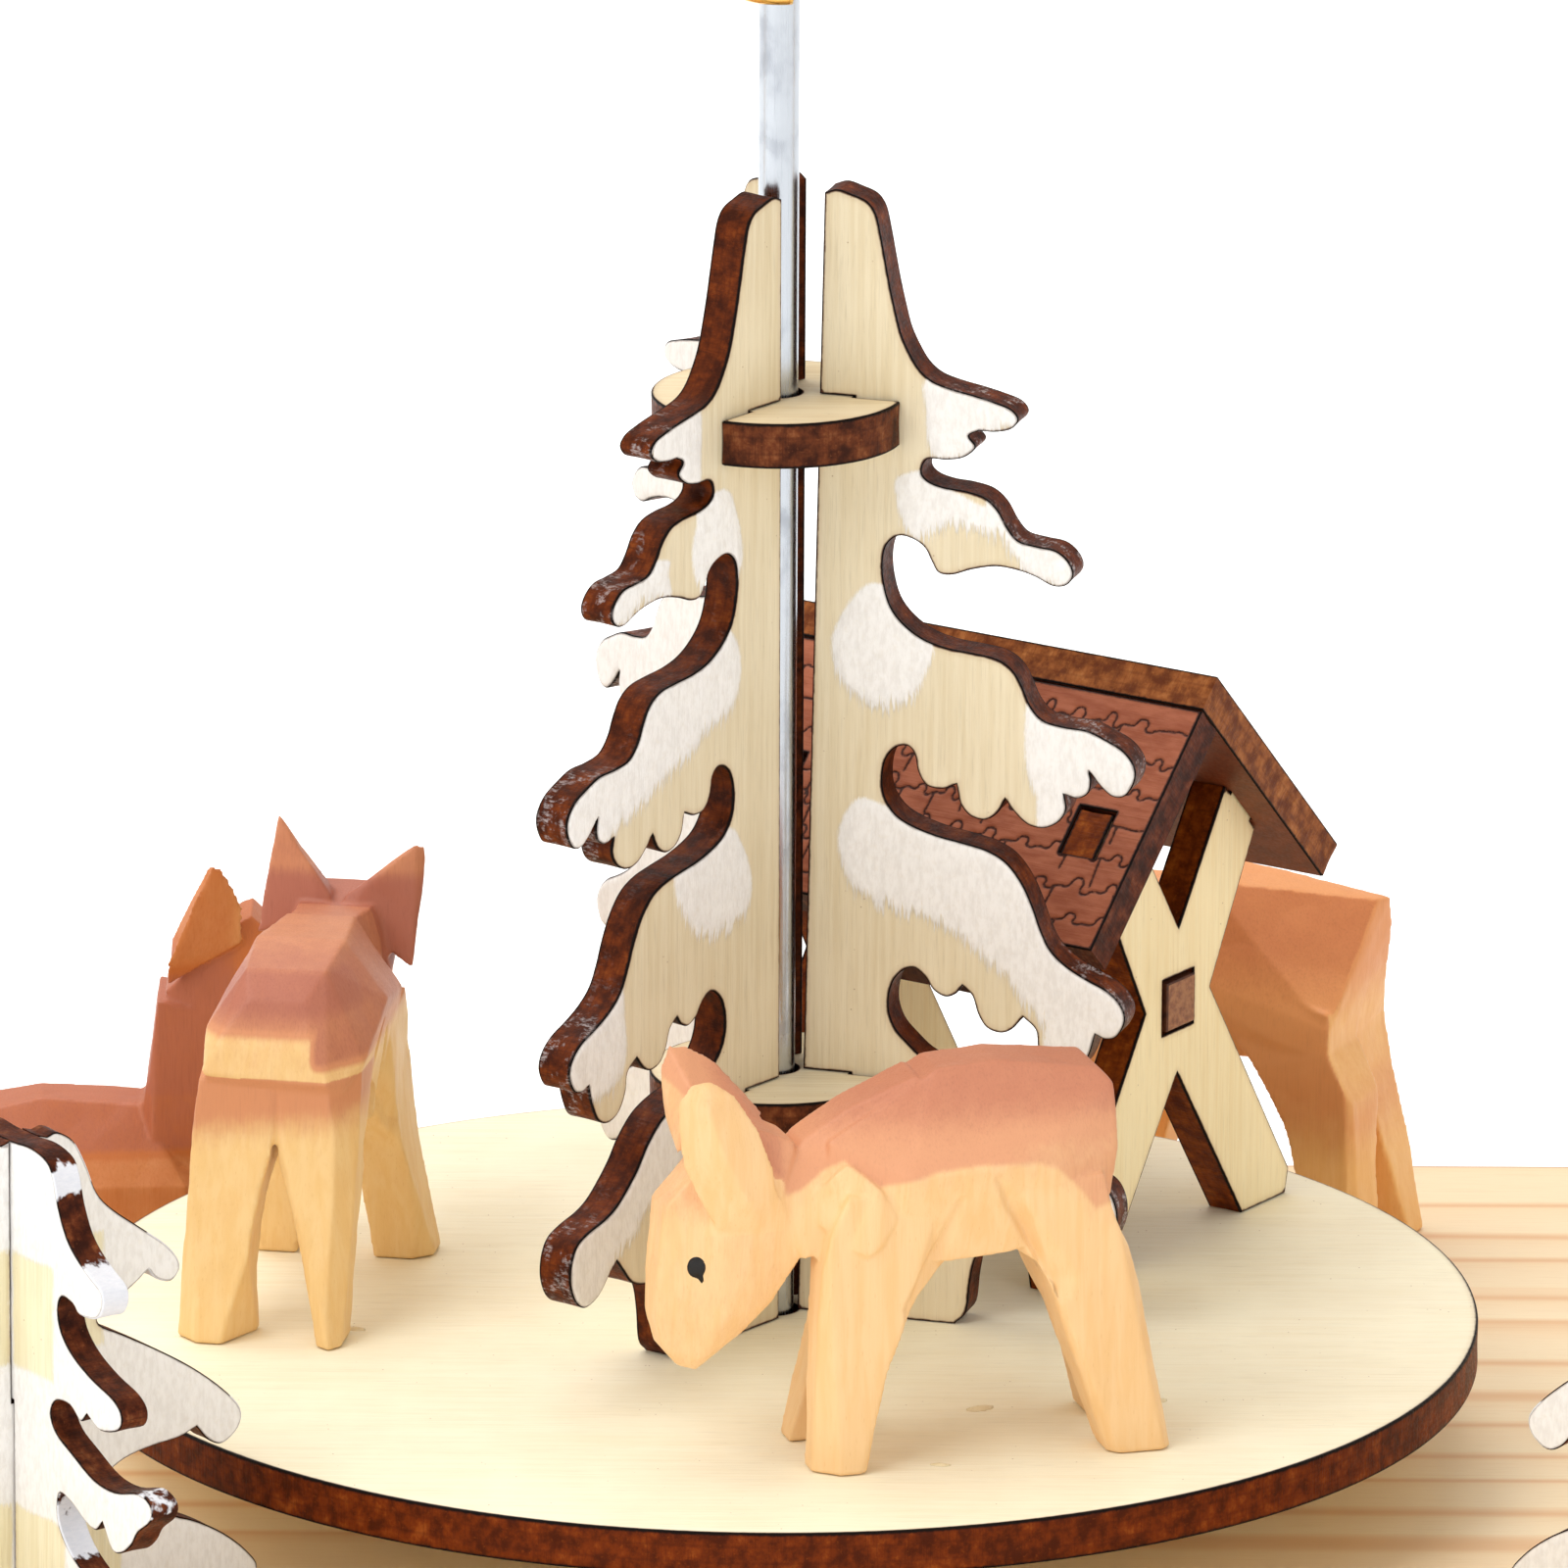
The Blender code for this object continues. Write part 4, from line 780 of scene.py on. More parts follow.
def roof_face(name):
    """Stained ply with engraved shingles: the engraved lines come as distances in 'groove'."""
    s = Shader(name)
    hair = s.noise(s.scaled(s.loc, 0.12, 6.0, 0.2), 1.0, 2.0, 0.6)
    broad = s.noise(s.scaled(s.loc, 0.25, 0.9, 0.2, (2, 3, 0)), 1.0, 3.0, 0.6)
    spot = s.noise(s.scaled(s.loc, 2.4, 2.4, 0.3, (5, 1, 0)), 1.0, 3.0, 0.7)
    col = s.mix(s.remap(broad, 0.35, 0.68), srgb(170, 100, 72), srgb(148, 80, 54))
    col = s.mix(s.remap(hair, 0.52, 0.76, 0.0, 0.35), col, srgb(122, 62, 40))
    col = s.mix(s.remap(spot, 0.62, 0.76, 0.0, 0.30), col, srgb(180, 116, 84))
    g = s.attr("groove")
    wob = s.math("MULTIPLY", s.math("SUBTRACT", s.noise(s.scaled(s.loc, 3.0, 3.0, 0.2, (1, 1, 0)), 1.0, 2.0), 0.5), 0.16)
    depth = s.math("ADD", g, wob)
    col = s.mix(s.remap(depth, 0.36, 0.12, 0.0, 0.40), col, srgb(118, 60, 38))
    col = s.mix(s.remap(depth, 0.19, 0.08), col, srgb(62, 28, 18))
    edge = s.attr("edge")
    col = s.mix(s.remap(s.math("ADD", edge, wob), 0.42, 0.15), col, srgb(46, 20, 14))
    rough = s.remap(hair, 0.3, 0.7, 0.42, 0.6, False)
    return s.done(col, rough, s.bump(s.math("ADD", hair, spot), 0.05, 0.7), Specular_IOR_Level=0.2)


def limewood(name, rust, peach, cream, eye_pale=0.0):
    """Knife-cut limewood with airbrushed stain; a point value says how much stain a point has, and on the level and
    swept deer it also carries painted shade and painted highlights.
    """
    s = Shader(name)
    fibre = s.noise(s.scaled(s.loc, 5.0, 5.0, 0.22), 1.0, 3.0, 0.65)
    grain = s.noise(s.scaled(s.loc, 0.8, 0.8, 0.07, (3, 1, 4)), 1.0, 3.0, 0.55, 0.5)
    fleck = s.cells(s.scaled(s.loc, 2.2, 2.2, 0.45, (1, 1, 1)), 1.0)
    spray = s.noise(s.scaled(s.loc, 0.7, 0.7, 0.5, (5, 5, 5)), 1.0, 4.0, 0.65)
    t = s.math("ADD", s.attr("stain_and_painted_light"), s.math("MULTIPLY", s.math("SUBTRACT", spray, 0.5), 0.22))
    t = s.math("ADD", t, s.math("MULTIPLY", s.math("SUBTRACT", fibre, 0.5), 0.14))
    wood = s.mix(s.remap(grain, 0.34, 0.68), srgb(*cream), srgb(*[c * k for c, k in zip(cream, (0.985, 0.96, 0.91))]))
    wood = s.mix(s.remap(fibre, 0.55, 0.78, 0.0, 0.30), wood, srgb(*[c * k for c, k in zip(cream, (0.93, 0.88, 0.78))]))
    wood = s.mix(s.remap(fleck, 0.16, 0.05, 0.0, 0.25), wood, srgb(*[c * k for c, k in zip(cream, (0.88, 0.78, 0.64))]))
    mid = s.mix(s.remap(fibre, 0.5, 0.75, 0.0, 0.30), srgb(*peach), srgb(*[c * 0.9 for c in peach]))
    top = s.mix(s.remap(fibre, 0.5, 0.75, 0.0, 0.35), srgb(*rust), srgb(*[c * 0.86 for c in rust]))
    col = s.mix(s.remap(t, 0.02, 0.48), wood, mid)
    col = s.mix(s.remap(t, 0.52, 1.0), col, top)
    rough = s.remap(fibre, 0.3, 0.75, 0.40, 0.56, False)
    height = s.math("ADD", s.math("MULTIPLY", fibre, 0.7), s.math("MULTIPLY", fleck, 0.2))
    return s.done(col, rough, s.bump(height, 0.05, 0.7), Specular_IOR_Level=0.4)


def simple(name, a, b, rough=0.4, scale=1.0, relief=0.03, **fixed):
    s = Shader(name)
    n = s.noise(s.scaled(s.loc, scale, scale, scale), 1.0, 4.0, 0.6)
    m = s.noise(s.scaled(s.loc, scale * 5, scale * 5, scale * 5, (2, 2, 2)), 1.0, 2.0, 0.6)
    col = s.mix(s.remap(n, 0.35, 0.7), srgb(*a), srgb(*b))
    return s.done(col, s.remap(m, 0.3, 0.7, rough * 0.85, rough * 1.2, False), s.bump(m, relief, 0.7), **fixed)


PLY = (228, 216, 187)
PLY_DARK = (219, 204, 170)
FACE_TREE = ply_face("tree_ply", PLY, PLY_DARK, snow=True)
# Collars: the fin ply made whiter, a painted top light on their up-facing faces.
FACE_COLLAR_TOPLIT = ply_face("collar_ply_painted_top_light", (240, 229, 200), (229, 214, 180), snow=False, along="x")
# Disc: the same ply made whiter, a painted top light on its up-facing face.
FACE_DISC_TOPLIT = ply_face("disc_ply_painted_top_light", (250, 242, 216), (245, 235, 205), snow=False, along="x", speck=0.8, burn=0.35)
FACE_RACK = ply_face("rack_ply", (248, 232, 190), (242, 222, 174), snow=False)
WALL_TREE = burnt_wall("tree_cut_edge", FIN_T / 2)
WALL_COLLAR = burnt_wall("collar_cut_edge", COLLAR_T / 2, (102, 52, 27), (146, 88, 52), (54, 24, 13), scuff=0)
WALL_DISC = burnt_wall("disc_cut_edge", DISC_T / 2, (114, 46, 8), (148, 74, 24), (72, 26, 5), rims=0.44, scuff=0)
WALL_RACK = burnt_wall("rack_cut_edge", RACK_PLATE_T / 2, (132, 62, 14), (172, 96, 32), (88, 34, 6), scuff=0)
# Roof cut edges: one burnt ply in a light copy for the back slope (painted light) and a dark copy for the front slope
# (painted shade).
WALL_ROOF_LIT_AND_SHADED = {"far": burnt_wall("roof_far_cut_edge_painted_light", ROOF_T / 2, (150, 88, 44), (186, 122, 68), (98, 48, 20), rims=0.34,
                               scuff=0),
             "near": burnt_wall("roof_near_cut_edge_painted_shade", ROOF_T / 2, (92, 42, 22), (130, 72, 44), (52, 22, 12), rims=0.26,
                                scuff=0)}
FACE_ROOF = roof_face("roof_shingles")
# Roof underside: darker brown than the stained outer face, painted shade under the roof.
UNDER_ROOF_SHADE = simple("roof_underside_painted_shade", (118, 56, 26), (98, 44, 20), 0.5, 0.5)
FACE_SMALL = ply_face("small_tree_paint", (238, 230, 200), (228, 218, 182), snow=True, burn_colour=(96, 70, 62))
WALL_SMALL = burnt_wall("small_tree_edge", SMALL_T / 2, (92, 42, 20), (142, 84, 48), (48, 18, 9), rims=0.16, scuff=1.0,
                        blobs=True)


# ================================================================ painted snow
SNOW_A = [
    # top tier: from the body out to the tip
    [(15.0, 96.9), (14.9, 93.0), (15.2, 89.6), (16.4, 88.0), (19.6, 88.6), (21.0, 91.0), (25.2, 92.0), (25.0, 95.0),
     (20.6, 96.6)],
    # second tier
    [(12.1, 86.6), (11.9, 84.4), (12.3, 82.4), (13.6, 80.2), (15.4, 80.2), (17.4, 81.6), (20.4, 81.2), (22.6, 80.6),
     (24.0, 78.8), (26.0, 76.6), (29.6, 75.8), (31.4, 78.0), (29.2, 81.4), (25.0, 83.6), (22.0, 86.6), (16.0, 87.6)],
    # round patch below the second tier
    [(5.6, 70.2), (5.5, 67.8), (6.2, 65.4), (7.8, 63.6), (10.0, 62.6), (12.4, 62.8), (14.2, 64.2), (15.4, 66.6),
     (16.0, 70.4), (12.6, 74.6), (10.8, 75.6), (9.0, 75.4), (7.2, 73.4)],
    # tip of the third tier
    [(25.6, 65.4), (25.2, 61.6), (25.4, 57.8), (26.4, 54.8), (27.6, 51.2), (38.0, 54.0), (38.0, 62.0), (28.0, 65.6)],
    # long band from the body down to the tip of the fourth tier
    [(8.4, 53.6), (6.8, 51.6), (6.2, 49.2), (6.6, 46.4), (7.8, 43.8), (10.0, 42.6), (13.2, 41.8), (16.2, 41.0),
     (18.8, 39.6), (21.2, 37.8), (23.4, 36.0), (25.2, 33.6), (27.2, 31.4), (27.4, 28.6), (28.2, 25.6), (37.4, 29.0),
     (37.4, 36.2), (30.0, 40.6), (27.8, 45.6), (24.4, 50.4), (16.6, 51.6), (10.8, 53.2)],
    # lowest tier
    [(18.6, 25.6), (17.6, 21.6), (18.8, 18.4), (22.4, 16.8), (26.2, 14.6), (28.8, 12.2), (31.2, 8.0), (37.0, 8.0),
     (37.0, 16.6), (28.0, 20.4), (23.6, 25.4)],
]
BARE_A = [
    [(17.6, 86.0), (19.0, 85.2), (21.0, 84.4), (20.6, 86.4), (18.8, 87.0)],
    [(15.6, 80.2), (16.6, 77.0), (20.4, 76.6), (22.8, 77.4), (22.2, 79.2), (19.4, 80.4), (17.4, 80.8)],
]
SNOW_B = [
    [(15.5, 96.4), (15.0, 93.8), (15.1, 91.0), (15.3, 88.0), (18.0, 88.0), (22.0, 91.4), (25.2, 93.4), (23.0, 96.4),
     (19.1, 96.6)],
    [(12.5, 87.4), (10.7, 86.9), (9.6, 84.7), (8.8, 82.1), (8.6, 79.1), (9.9, 76.4), (12.2, 76.4), (15.6, 78.0),
     (16.6, 80.3), (16.6, 82.7), (16.0, 84.5), (15.9, 86.6)],
    [(20.1, 82.0), (20.0, 80.2), (19.6, 78.0), (22.3, 77.9), (25.0, 77.6), (27.6, 76.0), (31.4, 76.6), (30.6, 80.4),
     (25.0, 82.2)],
    [(12.2, 74.2), (9.5, 71.6), (8.8, 69.1), (8.9, 66.7), (9.8, 64.7), (11.6, 63.5), (14.1, 62.9), (15.8, 61.6),
     (17.0, 60.6), (19.2, 60.0), (21.6, 58.9), (24.0, 57.6), (26.2, 56.8), (28.6, 55.4), (31.0, 54.0), (37.8, 53.0),
     (37.8, 62.4), (26.4, 66.0), (23.5, 70.6), (14.0, 72.4)],
    [(10.5, 52.8), (8.6, 50.8), (7.2, 47.8), (6.9, 45.2), (7.8, 42.9), (9.7, 42.2), (12.0, 41.8), (15.0, 42.1),
     (17.3, 44.1), (18.8, 46.5), (19.4, 49.4), (18.9, 51.2), (14.0, 52.0)],
    [(27.3, 41.4), (26.6, 36.8), (26.3, 33.2), (27.1, 30.9), (29.4, 29.4), (36.8, 29.0), (36.8, 36.4), (31.0, 40.0)],
    [(18.9, 26.6), (18.1, 22.4), (17.5, 20.3), (18.7, 18.4), (21.0, 17.2), (23.3, 15.8), (25.0, 13.8), (27.5, 12.6),
     (29.2, 10.6), (31.2, 7.6), (36.6, 7.8), (36.6, 16.4), (28.4, 20.2), (24.2, 26.0)],
]
BARE_B = []
# the fin at the back is painted almost to its inner edge
SNOW_C = [
    [(13.8, 99.0), (13.0, 93.0), (14.4, 87.0), (26.0, 88.0), (26.0, 96.0), (18.0, 99.6)],
    [(11.6, 87.0), (10.6, 82.0), (12.4, 77.4), (20.0, 75.6), (32.0, 75.0), (31.0, 82.0), (22.0, 88.0)],
    [(9.6, 73.8), (8.4, 68.0), (11.0, 61.6), (16.0, 58.6), (20.0, 54.0), (24.0, 50.6), (38.0, 53.0), (37.6, 63.0),
     (26.0, 70.6), (14.0, 73.4)],
    [(9.4, 53.4), (8.0, 47.0), (10.4, 41.4), (15.4, 37.4), (20.0, 32.0), (25.0, 28.0), (30.0, 25.4), (37.6, 29.0),
     (37.0, 37.0), (28.4, 45.0), (25.0, 51.0), (14.0, 53.0)],
    [(16.6, 27.6), (15.6, 20.0), (19.0, 14.0), (24.4, 10.0), (30.0, 7.4), (37.0, 8.0), (36.6, 17.0), (27.0, 22.0),
     (23.6, 27.0)],
]


def snow_field(shapes, bare, x, y):
    s = np.full(x.shape, -9.0)
    for poly in shapes:
        s = np.maximum(s, signed(smooth(poly, 3), x, y))
    for poly in bare:
        s = np.minimum(s, -signed(smooth(poly, 3), x, y))
    return s


def snow_extras(front, back, lean=0.0):
    """Point values for painted faces. Where the paint is above and bare wood below, the brush trailed off."""
    def extras(x, y, z, side, edge):
        r = x + lean * y / TREE_H
        out, trail = np.full(x.shape, -9.0), np.zeros(x.shape)
        for which, (shapes, bare) in ((1, front), (-1, back)):
            m = (side == which) | ((side == 0) & ((z >= 0) == (which > 0)))
            if not m.any():
                continue
            here = snow_field(shapes, bare, r[m], y[m])
            up = snow_field(shapes, bare, r[m], y[m] + 0.4)
            out[m] = here
            trail[m] = np.clip((up - here) / 0.4, 0, 1) * 0.15 + 0.006
        tier = np.interp(y, [0, 9, 17, 24, 27, 37, 48, 52, 62, 69, 72, 80, 86, 92, 96, 100],
                         [24, 26, 30, 30, 24, 28, 30, 26, 28, 28, 24, 22, 20, 16, 16, 60])
        return {"snow": np.clip(out, -4, 4), "streak": trail, "tip": np.clip(r - tier, -6, 8)}
    return extras


def snow_relief(front, back, lean=0.0, lift=0.16):
    def relief(x, y, side):
        shapes, bare = front if side > 0 else back
        s = snow_field(shapes, bare, x + lean * y / TREE_H, y)
        p = np.stack([x * 0.8, y * 0.5, np.full(x.shape, 3.0 + side)], 1)
        return lift * ease(s, 0.1, 1.1) * (0.45 + 0.9 * fbm(p, 2, 11))
    return relief


# ================================================================ the tree
HALF_TREE = [
    (18.6, SEAT, C), (19.8, 1.4), (20.2, 4.6), (20.8, 7.2), (22.0, 8.6),
    (24.2, 8.9), (25.8, 9.6), (27.0, 11.0), (28.1, 12.3, C),
    (29.0, 11.4), (30.2, 9.9), (31.4, 9.0), (33.0, 8.7), (34.4, 9.7), (35.2, 11.6), (35.1, 13.7),
    (34.2, 15.4), (32.4, 16.3), (30.0, 17.0), (28.2, 17.9), (26.6, 19.3), (25.0, 21.0), (23.4, 23.2),
    (21.2, 25.2), (18.6, 26.3), (15.6, 27.1), (13.6, 28.7), (12.2, 30.3), (11.6, 32.3), (11.9, 34.5),
    (12.8, 35.9), (14.1, 36.5), (15.3, 35.7), (16.2, 34.4), (17.4, 33.8), (18.5, 34.2),
    (19.2, 35.1, C), (20.2, 34.1), (20.8, 32.3), (21.7, 31.0), (23.1, 30.6), (24.3, 31.1),
    (25.4, 32.4, C), (26.7, 31.2), (27.0, 29.3), (28.0, 27.5), (29.6, 26.8), (31.2, 27.4),
    (32.2, 29.2), (32.8, 31.3, C), (33.8, 30.9), (35.0, 31.3), (35.8, 33.0),
    (35.3, 34.6), (33.9, 35.9), (31.8, 36.9), (29.7, 38.1), (28.1, 39.6), (27.1, 41.6), (26.3, 43.8),
    (25.2, 46.1), (23.6, 48.1), (21.6, 49.2), (19.0, 49.8), (16.4, 50.3), (13.9, 51.1), (12.2, 52.1),
    (11.1, 53.7), (10.8, 55.6), (11.1, 57.5), (12.0, 58.8), (13.3, 59.2), (14.1, 58.4),
    (14.5, 56.6), (15.4, 55.3), (17.0, 55.1), (18.4, 55.7, C), (18.8, 53.8), (19.8, 52.6),
    (21.3, 52.3), (22.6, 53.1), (23.4, 54.6, C), (24.3, 53.4), (25.7, 52.2), (27.4, 52.0),
    (28.9, 52.8), (29.6, 54.1), (29.4, 55.6, C), (30.7, 55.3), (31.8, 55.9), (32.1, 57.1),
    (31.9, 58.2, C), (33.0, 56.8), (34.3, 55.8), (35.6, 56.0), (36.5, 57.5),
    (36.5, 59.0), (35.4, 60.5), (33.6, 61.5), (31.6, 62.3), (29.2, 62.5), (27.1, 63.0), (25.8, 64.4),
    (25.0, 66.2), (24.0, 67.8), (22.4, 68.8), (20.0, 69.2), (17.4, 69.5), (15.0, 70.2), (13.0, 71.5),
    (11.6, 73.2), (10.9, 75.4), (10.7, 77.6), (11.1, 79.5), (12.3, 80.5), (13.8, 80.3),
    (15.0, 79.5), (15.7, 78.2), (16.4, 77.1), (17.8, 77.0), (19.8, 77.7), (22.2, 78.2), (24.4, 78.0),
    (26.2, 77.5), (28.0, 76.7), (29.4, 76.9), (30.1, 78.0), (29.6, 79.3), (28.3, 80.3), (26.3, 80.6),
    (24.5, 81.0), (23.4, 82.2), (22.4, 83.9), (21.0, 85.1), (19.0, 85.6), (16.9, 85.8), (15.3, 86.3),
    (14.6, 87.2), (15.2, 88.5), (17.2, 88.6), (18.9, 89.0), (20.1, 90.1), (19.4, 91.2),
    (20.4, 91.8, C), (22.0, 91.8), (23.6, 92.2), (24.4, 93.2), (23.7, 94.2), (22.0, 94.8),
    (20.0, 95.3), (17.6, 95.8), (15.7, 96.4), (14.4, 97.4), (13.4, 98.9), (12.5, 100.8), (11.9, 103.0),
    (11.3, 105.6), (10.8, 108.2), (10.3, 110.8), (9.8, 112.8), (8.9, 114.0), (7.4, 114.6), (5.9, 115.0),
]


def fin_outline(inner_top, steps):
    def inner(z):
        return 2.4 + (inner_top - 2.4) * z / TREE_H
    notch = COLLAR_SLOT_R + 0.1
    lean = FIN_LEAN_TOP - inner_top
    pts = [(r - lean * z / TREE_H, z, *c) for r, z, *c in HALF_TREE] + [(inner(114.6), 114.6, C)]
    for top in reversed(COLLAR_TOPS):
        hi, lo = top + 0.1, top - COLLAR_T - 0.1
        pts += [(inner(hi), hi, C), (notch, hi, C), (notch, lo, C), (inner(lo), lo, C)]
    pts.append((2.4, SEAT, C))
    return smooth(pts, steps)


def collar_outline():
    w = FIN_T / 2 + 0.12
    marks = sorted((math.radians(d) % (2 * math.pi), shift) for d, shift, _t in FINS.values())
    out = []
    for k, (a, shift) in enumerate(marks):
        u = Vector((math.cos(a), math.sin(a)))
        n = Vector((math.sin(a), -math.cos(a)))
        lo, hi = shift + w, shift - w
        for side in (lo, hi):
            r = math.sqrt(COLLAR_R**2 - side**2)
            rim_pt, in_pt = u * r + n * side, u * COLLAR_SLOT_R + n * side
            out.extend(tuple(p) for p in ((rim_pt, in_pt) if side == lo else (in_pt, rim_pt)))
        a0 = math.atan2(out[-1][1], out[-1][0])
        na, nshift = marks[(k + 1) % len(marks)]
        nu, nn = Vector((math.cos(na), math.sin(na))), Vector((math.sin(na), -math.cos(na)))
        q = nu * math.sqrt(COLLAR_R**2 - (nshift + w)**2) + nn * (nshift + w)
        a1 = math.atan2(q.y, q.x)
        while a1 < a0:
            a1 += 2 * math.pi
        rim = COLLAR_R - (0.9 if 120 < math.degrees(a0) % 360 < 135 else 0.0)
        out += [(rim * math.cos(a0 + (a1 - a0) * s / 40), rim * math.sin(a0 + (a1 - a0) * s / 40))
                for s in range(1, 40)]
    return out


def make_tree():
    painted = {
        "tree_fin_right": ((SNOW_A, BARE_A), (SNOW_B, BARE_B)),
        "tree_fin_left": ((SNOW_A, BARE_A), (SNOW_B, BARE_B)),
        "tree_fin_back": ((SNOW_A, BARE_A), (SNOW_C, [])),
    }
    for name, (direction, shift, inner_top) in FINS.items():
        lean = 0.0 if name == "tree_fin_right" else 0.0
        front, back = painted[name]
        sheet_piece(name, (FACE_TREE, WALL_TREE), "rotor", upright(direction, shift, DISC_TOP),
                    outline=fin_outline(inner_top, 5), thickness=FIN_T, spacing=(0.42, 0.42), rim=0.12,
                    walls=4, longest=0.5, relief=snow_relief(front, back, lean),
                    extras=snow_extras(front, back, lean), wobble=0.10)
    for tag, top in zip(("lower", "upper"), COLLAR_TOPS):
        sheet_piece("tree_collar_" + tag, (FACE_COLLAR_TOPLIT, WALL_COLLAR), "rotor",
                    Matrix.Translation((0, 0, (DISC_TOP + top - COLLAR_T / 2) * MM)),
                    outline=collar_outline(), thickness=COLLAR_T, holes=[circle(SHAFT_HOLE_R, 40)],
                    spacing=(0.6, 0.8), rim=0.12, walls=4, longest=0.5, wobble=0.10)


# ================================================================ the turning disc
def make_disc():
    sheet_piece("turntable_disc", (FACE_DISC_TOPLIT, WALL_DISC), "rotor",
                Matrix.Translation((0, 0, (DISC_TOP - DISC_T / 2) * MM)),
                outline=circle(DISC_R, 300), thickness=DISC_T, holes=[circle(SHAFT_HOLE_R, 40)],
                spacing=(1.1, 2.2), rim=0.22, rim_steps=2, walls=5, longest=1.4, wobble=0.10,
                relief=lambda x, y, side: 0.05 * (fbm(np.stack([x * 0.16, y * 0.16, x * 0], 1), 2, 3) - 0.5))
    lathe_piece("disc_hub", turned_wood("hub_wood", (214, 172, 118), (190, 146, 94)), "rotor",
                rounded([(SHAFT_HOLE_R, DISC_TOP - DISC_T - SEAT), (11.0, DISC_TOP - DISC_T - SEAT, 0.5),
                         (11.0, 22.6, 1.2), (9.0, 20.6, 0.8), (SHAFT_HOLE_R, 20.6)], 0.5), count=64, close=True)
    glue = simple("dried_glue", (240, 226, 188), (228, 210, 166), 0.3, 1.2)
    rng = np.random.default_rng(4)
    spots = [(20.2, -31.6, 1.05, 0.28), (34.4, -36.8, 0.9, 0.3), (16.2, -49.0, 0.7, 0.2), (-41.4, -7.4, 0.8, 0.22),
             (-52.0, -8.6, 0.6, 0.2), (38.0, -28.8, 0.6, 0.2)]
    for k, (gx, gy, r, h) in enumerate(spots):
        verts, faces, rings, n = [(gx, gy, h)], [], 5, 18
        wob = 1 + 0.22 * np.sin(np.arange(n) * 2 * math.pi / n * 2 + k) + rng.normal(0, 0.06, n)
        for i in range(1, rings + 1):
            t = i / rings
            for j in range(n):
                a = 2 * math.pi * j / n
                q = r * t * wob[j]
                verts.append((gx + q * 1.25 * math.cos(a), gy + q * math.sin(a), h * math.cos(t * math.pi / 2)))
        for j in range(n):
            faces.append((0, 1 + j, 1 + (j + 1) % n))
        for i in range(rings - 1):
            for j in range(n):
                a, b = 1 + i * n + j, 1 + i * n + (j + 1) % n
                faces.append((a, a + n, b + n, b))
        low = len(verts)
        verts.append((gx, gy, -0.02))
        for j in range(n):
            faces.append((low, 1 + (rings - 1) * n + (j + 1) % n, 1 + (rings - 1) * n + j))
        mesh = bpy.data.meshes.new("glue_spot_%d" % (k + 1))
        local = np.array(verts)
        mesh.from_pydata(((local + (0, 0, DISC_TOP)) * MM).tolist(), [], faces)
        add_attribute(mesh, "loc", local)
        mesh.materials.append(glue)
        mesh.shade_smooth()
        place(bpy.data.objects.new("glue_spot_%d" % (k + 1), mesh), "rotor")


# ================================================================ hay rack
rd = Vector((math.cos(RACK_DIR), math.sin(RACK_DIR), 0))
hd = Vector((-rd.y, rd.x, 0))
RACK_O = Vector((RACK_POS[0], RACK_POS[1], DISC_TOP))


def rack_matrix(along, across, up, xa, ya):
    def world(v):
        return rd * v[0] + hd * v[1] + Vector((0, 0, v[2]))
    x, y = world(xa).normalized(), world(ya).normalized()
    z = x.cross(y)
    o = (RACK_O + world((along, across, up))) * MM
    return Matrix(((x.x, y.x, z.x, o.x), (x.y, y.y, z.y, o.y), (x.z, y.z, z.z, o.z), (0, 0, 0, 1)))


def rack_end_outline():
    right = [(0.0, 33.2)]
    slope, out = Vector((1, -1)).normalized(), Vector((1, 1)).normalized()
    under = ROOF_RIDGE - ROOF_T * math.sqrt(2)
    a = Vector((8.4, under - 8.4)) - out * 0.08
    t0, t1, b = a + slope * 1.4, a + slope * 6.6, a + slope * 8.0
    tip = out * (ROOF_T + 0.04)
    right += [tuple(p) for p in (a, t0, t0 + tip, t1 + tip, t1, b)]
    right += [(6.0, 25.6), (21.2, 2.6), (20.6, SEAT), (12.4, SEAT), (0.0, 18.0)]
    left = [(-x, y) for x, y in reversed(right[1:-1])]
    return right + left


def shingle_lines(width, length, first, seed):
    """Engraved rows across a slope: each shingle ends in a curl, and short joints run between rows."""
    rng = np.random.default_rng(seed)
    lines = []
    row, y = 0, first
    while y < length - 0.8:
        x = -width / 2 - rng.uniform(0, 4)
        pts = [(x, y)]
        while x < width / 2:
            w = rng.uniform(3.0, 4.4)
            h = rng.uniform(0.65, 1.15)
            d = rng.uniform(-0.25, 0.25)
            shape = [(0.16, 0.02), (0.27, -0.25 * h), (0.30, -0.75 * h), (0.40, -1.05 * h), (0.53, -0.95 * h),
                     (0.60, -0.45 * h), (0.57, 0.05 * h), (0.63, 0.42 * h), (0.76, 0.45 * h), (0.86, 0.12 * h),
                     (1.0, 0.0)]
            if rng.random() < 0.25:
                shape = [(0.3, 0.06), (0.5, 0.1), (0.75, -0.05), (1.0, 0.0)]
            for u, v in shape:
                pts.append((x + u * w, y + d * u * (1 - u) * 4 + v))
            if rng.random() < 0.55:
                jx = x + w * rng.uniform(0.80, 1.0)
                lines.append([(jx, y + 0.2), (jx + rng.uniform(-0.25, 0.25), y + rng.uniform(1.2, 3.6))])
            x += w
        lines.append([(px, py) for px, py in pts])
        y += 3.75
        row += 1
    return lines


def spline_open(pts, steps):
    out = []
    n = len(pts)
    for i in range(n - 1):
        p0, p1, p2, p3 = pts[max(i - 1, 0)], pts[i], pts[i + 1], pts[min(i + 2, n - 1)]
        for k in range(steps):
            t = k / steps
            out.append(tuple(0.5 * ((2 * b) + (-a + c) * t + (2 * a - 5 * b + 4 * c - d) * t**2
                                    + (-a + 3 * b - 3 * c + d) * t**3) for a, b, c, d in zip(p0, p1, p2, p3)))
    out.append(tuple(pts[-1][:2]))
    return out


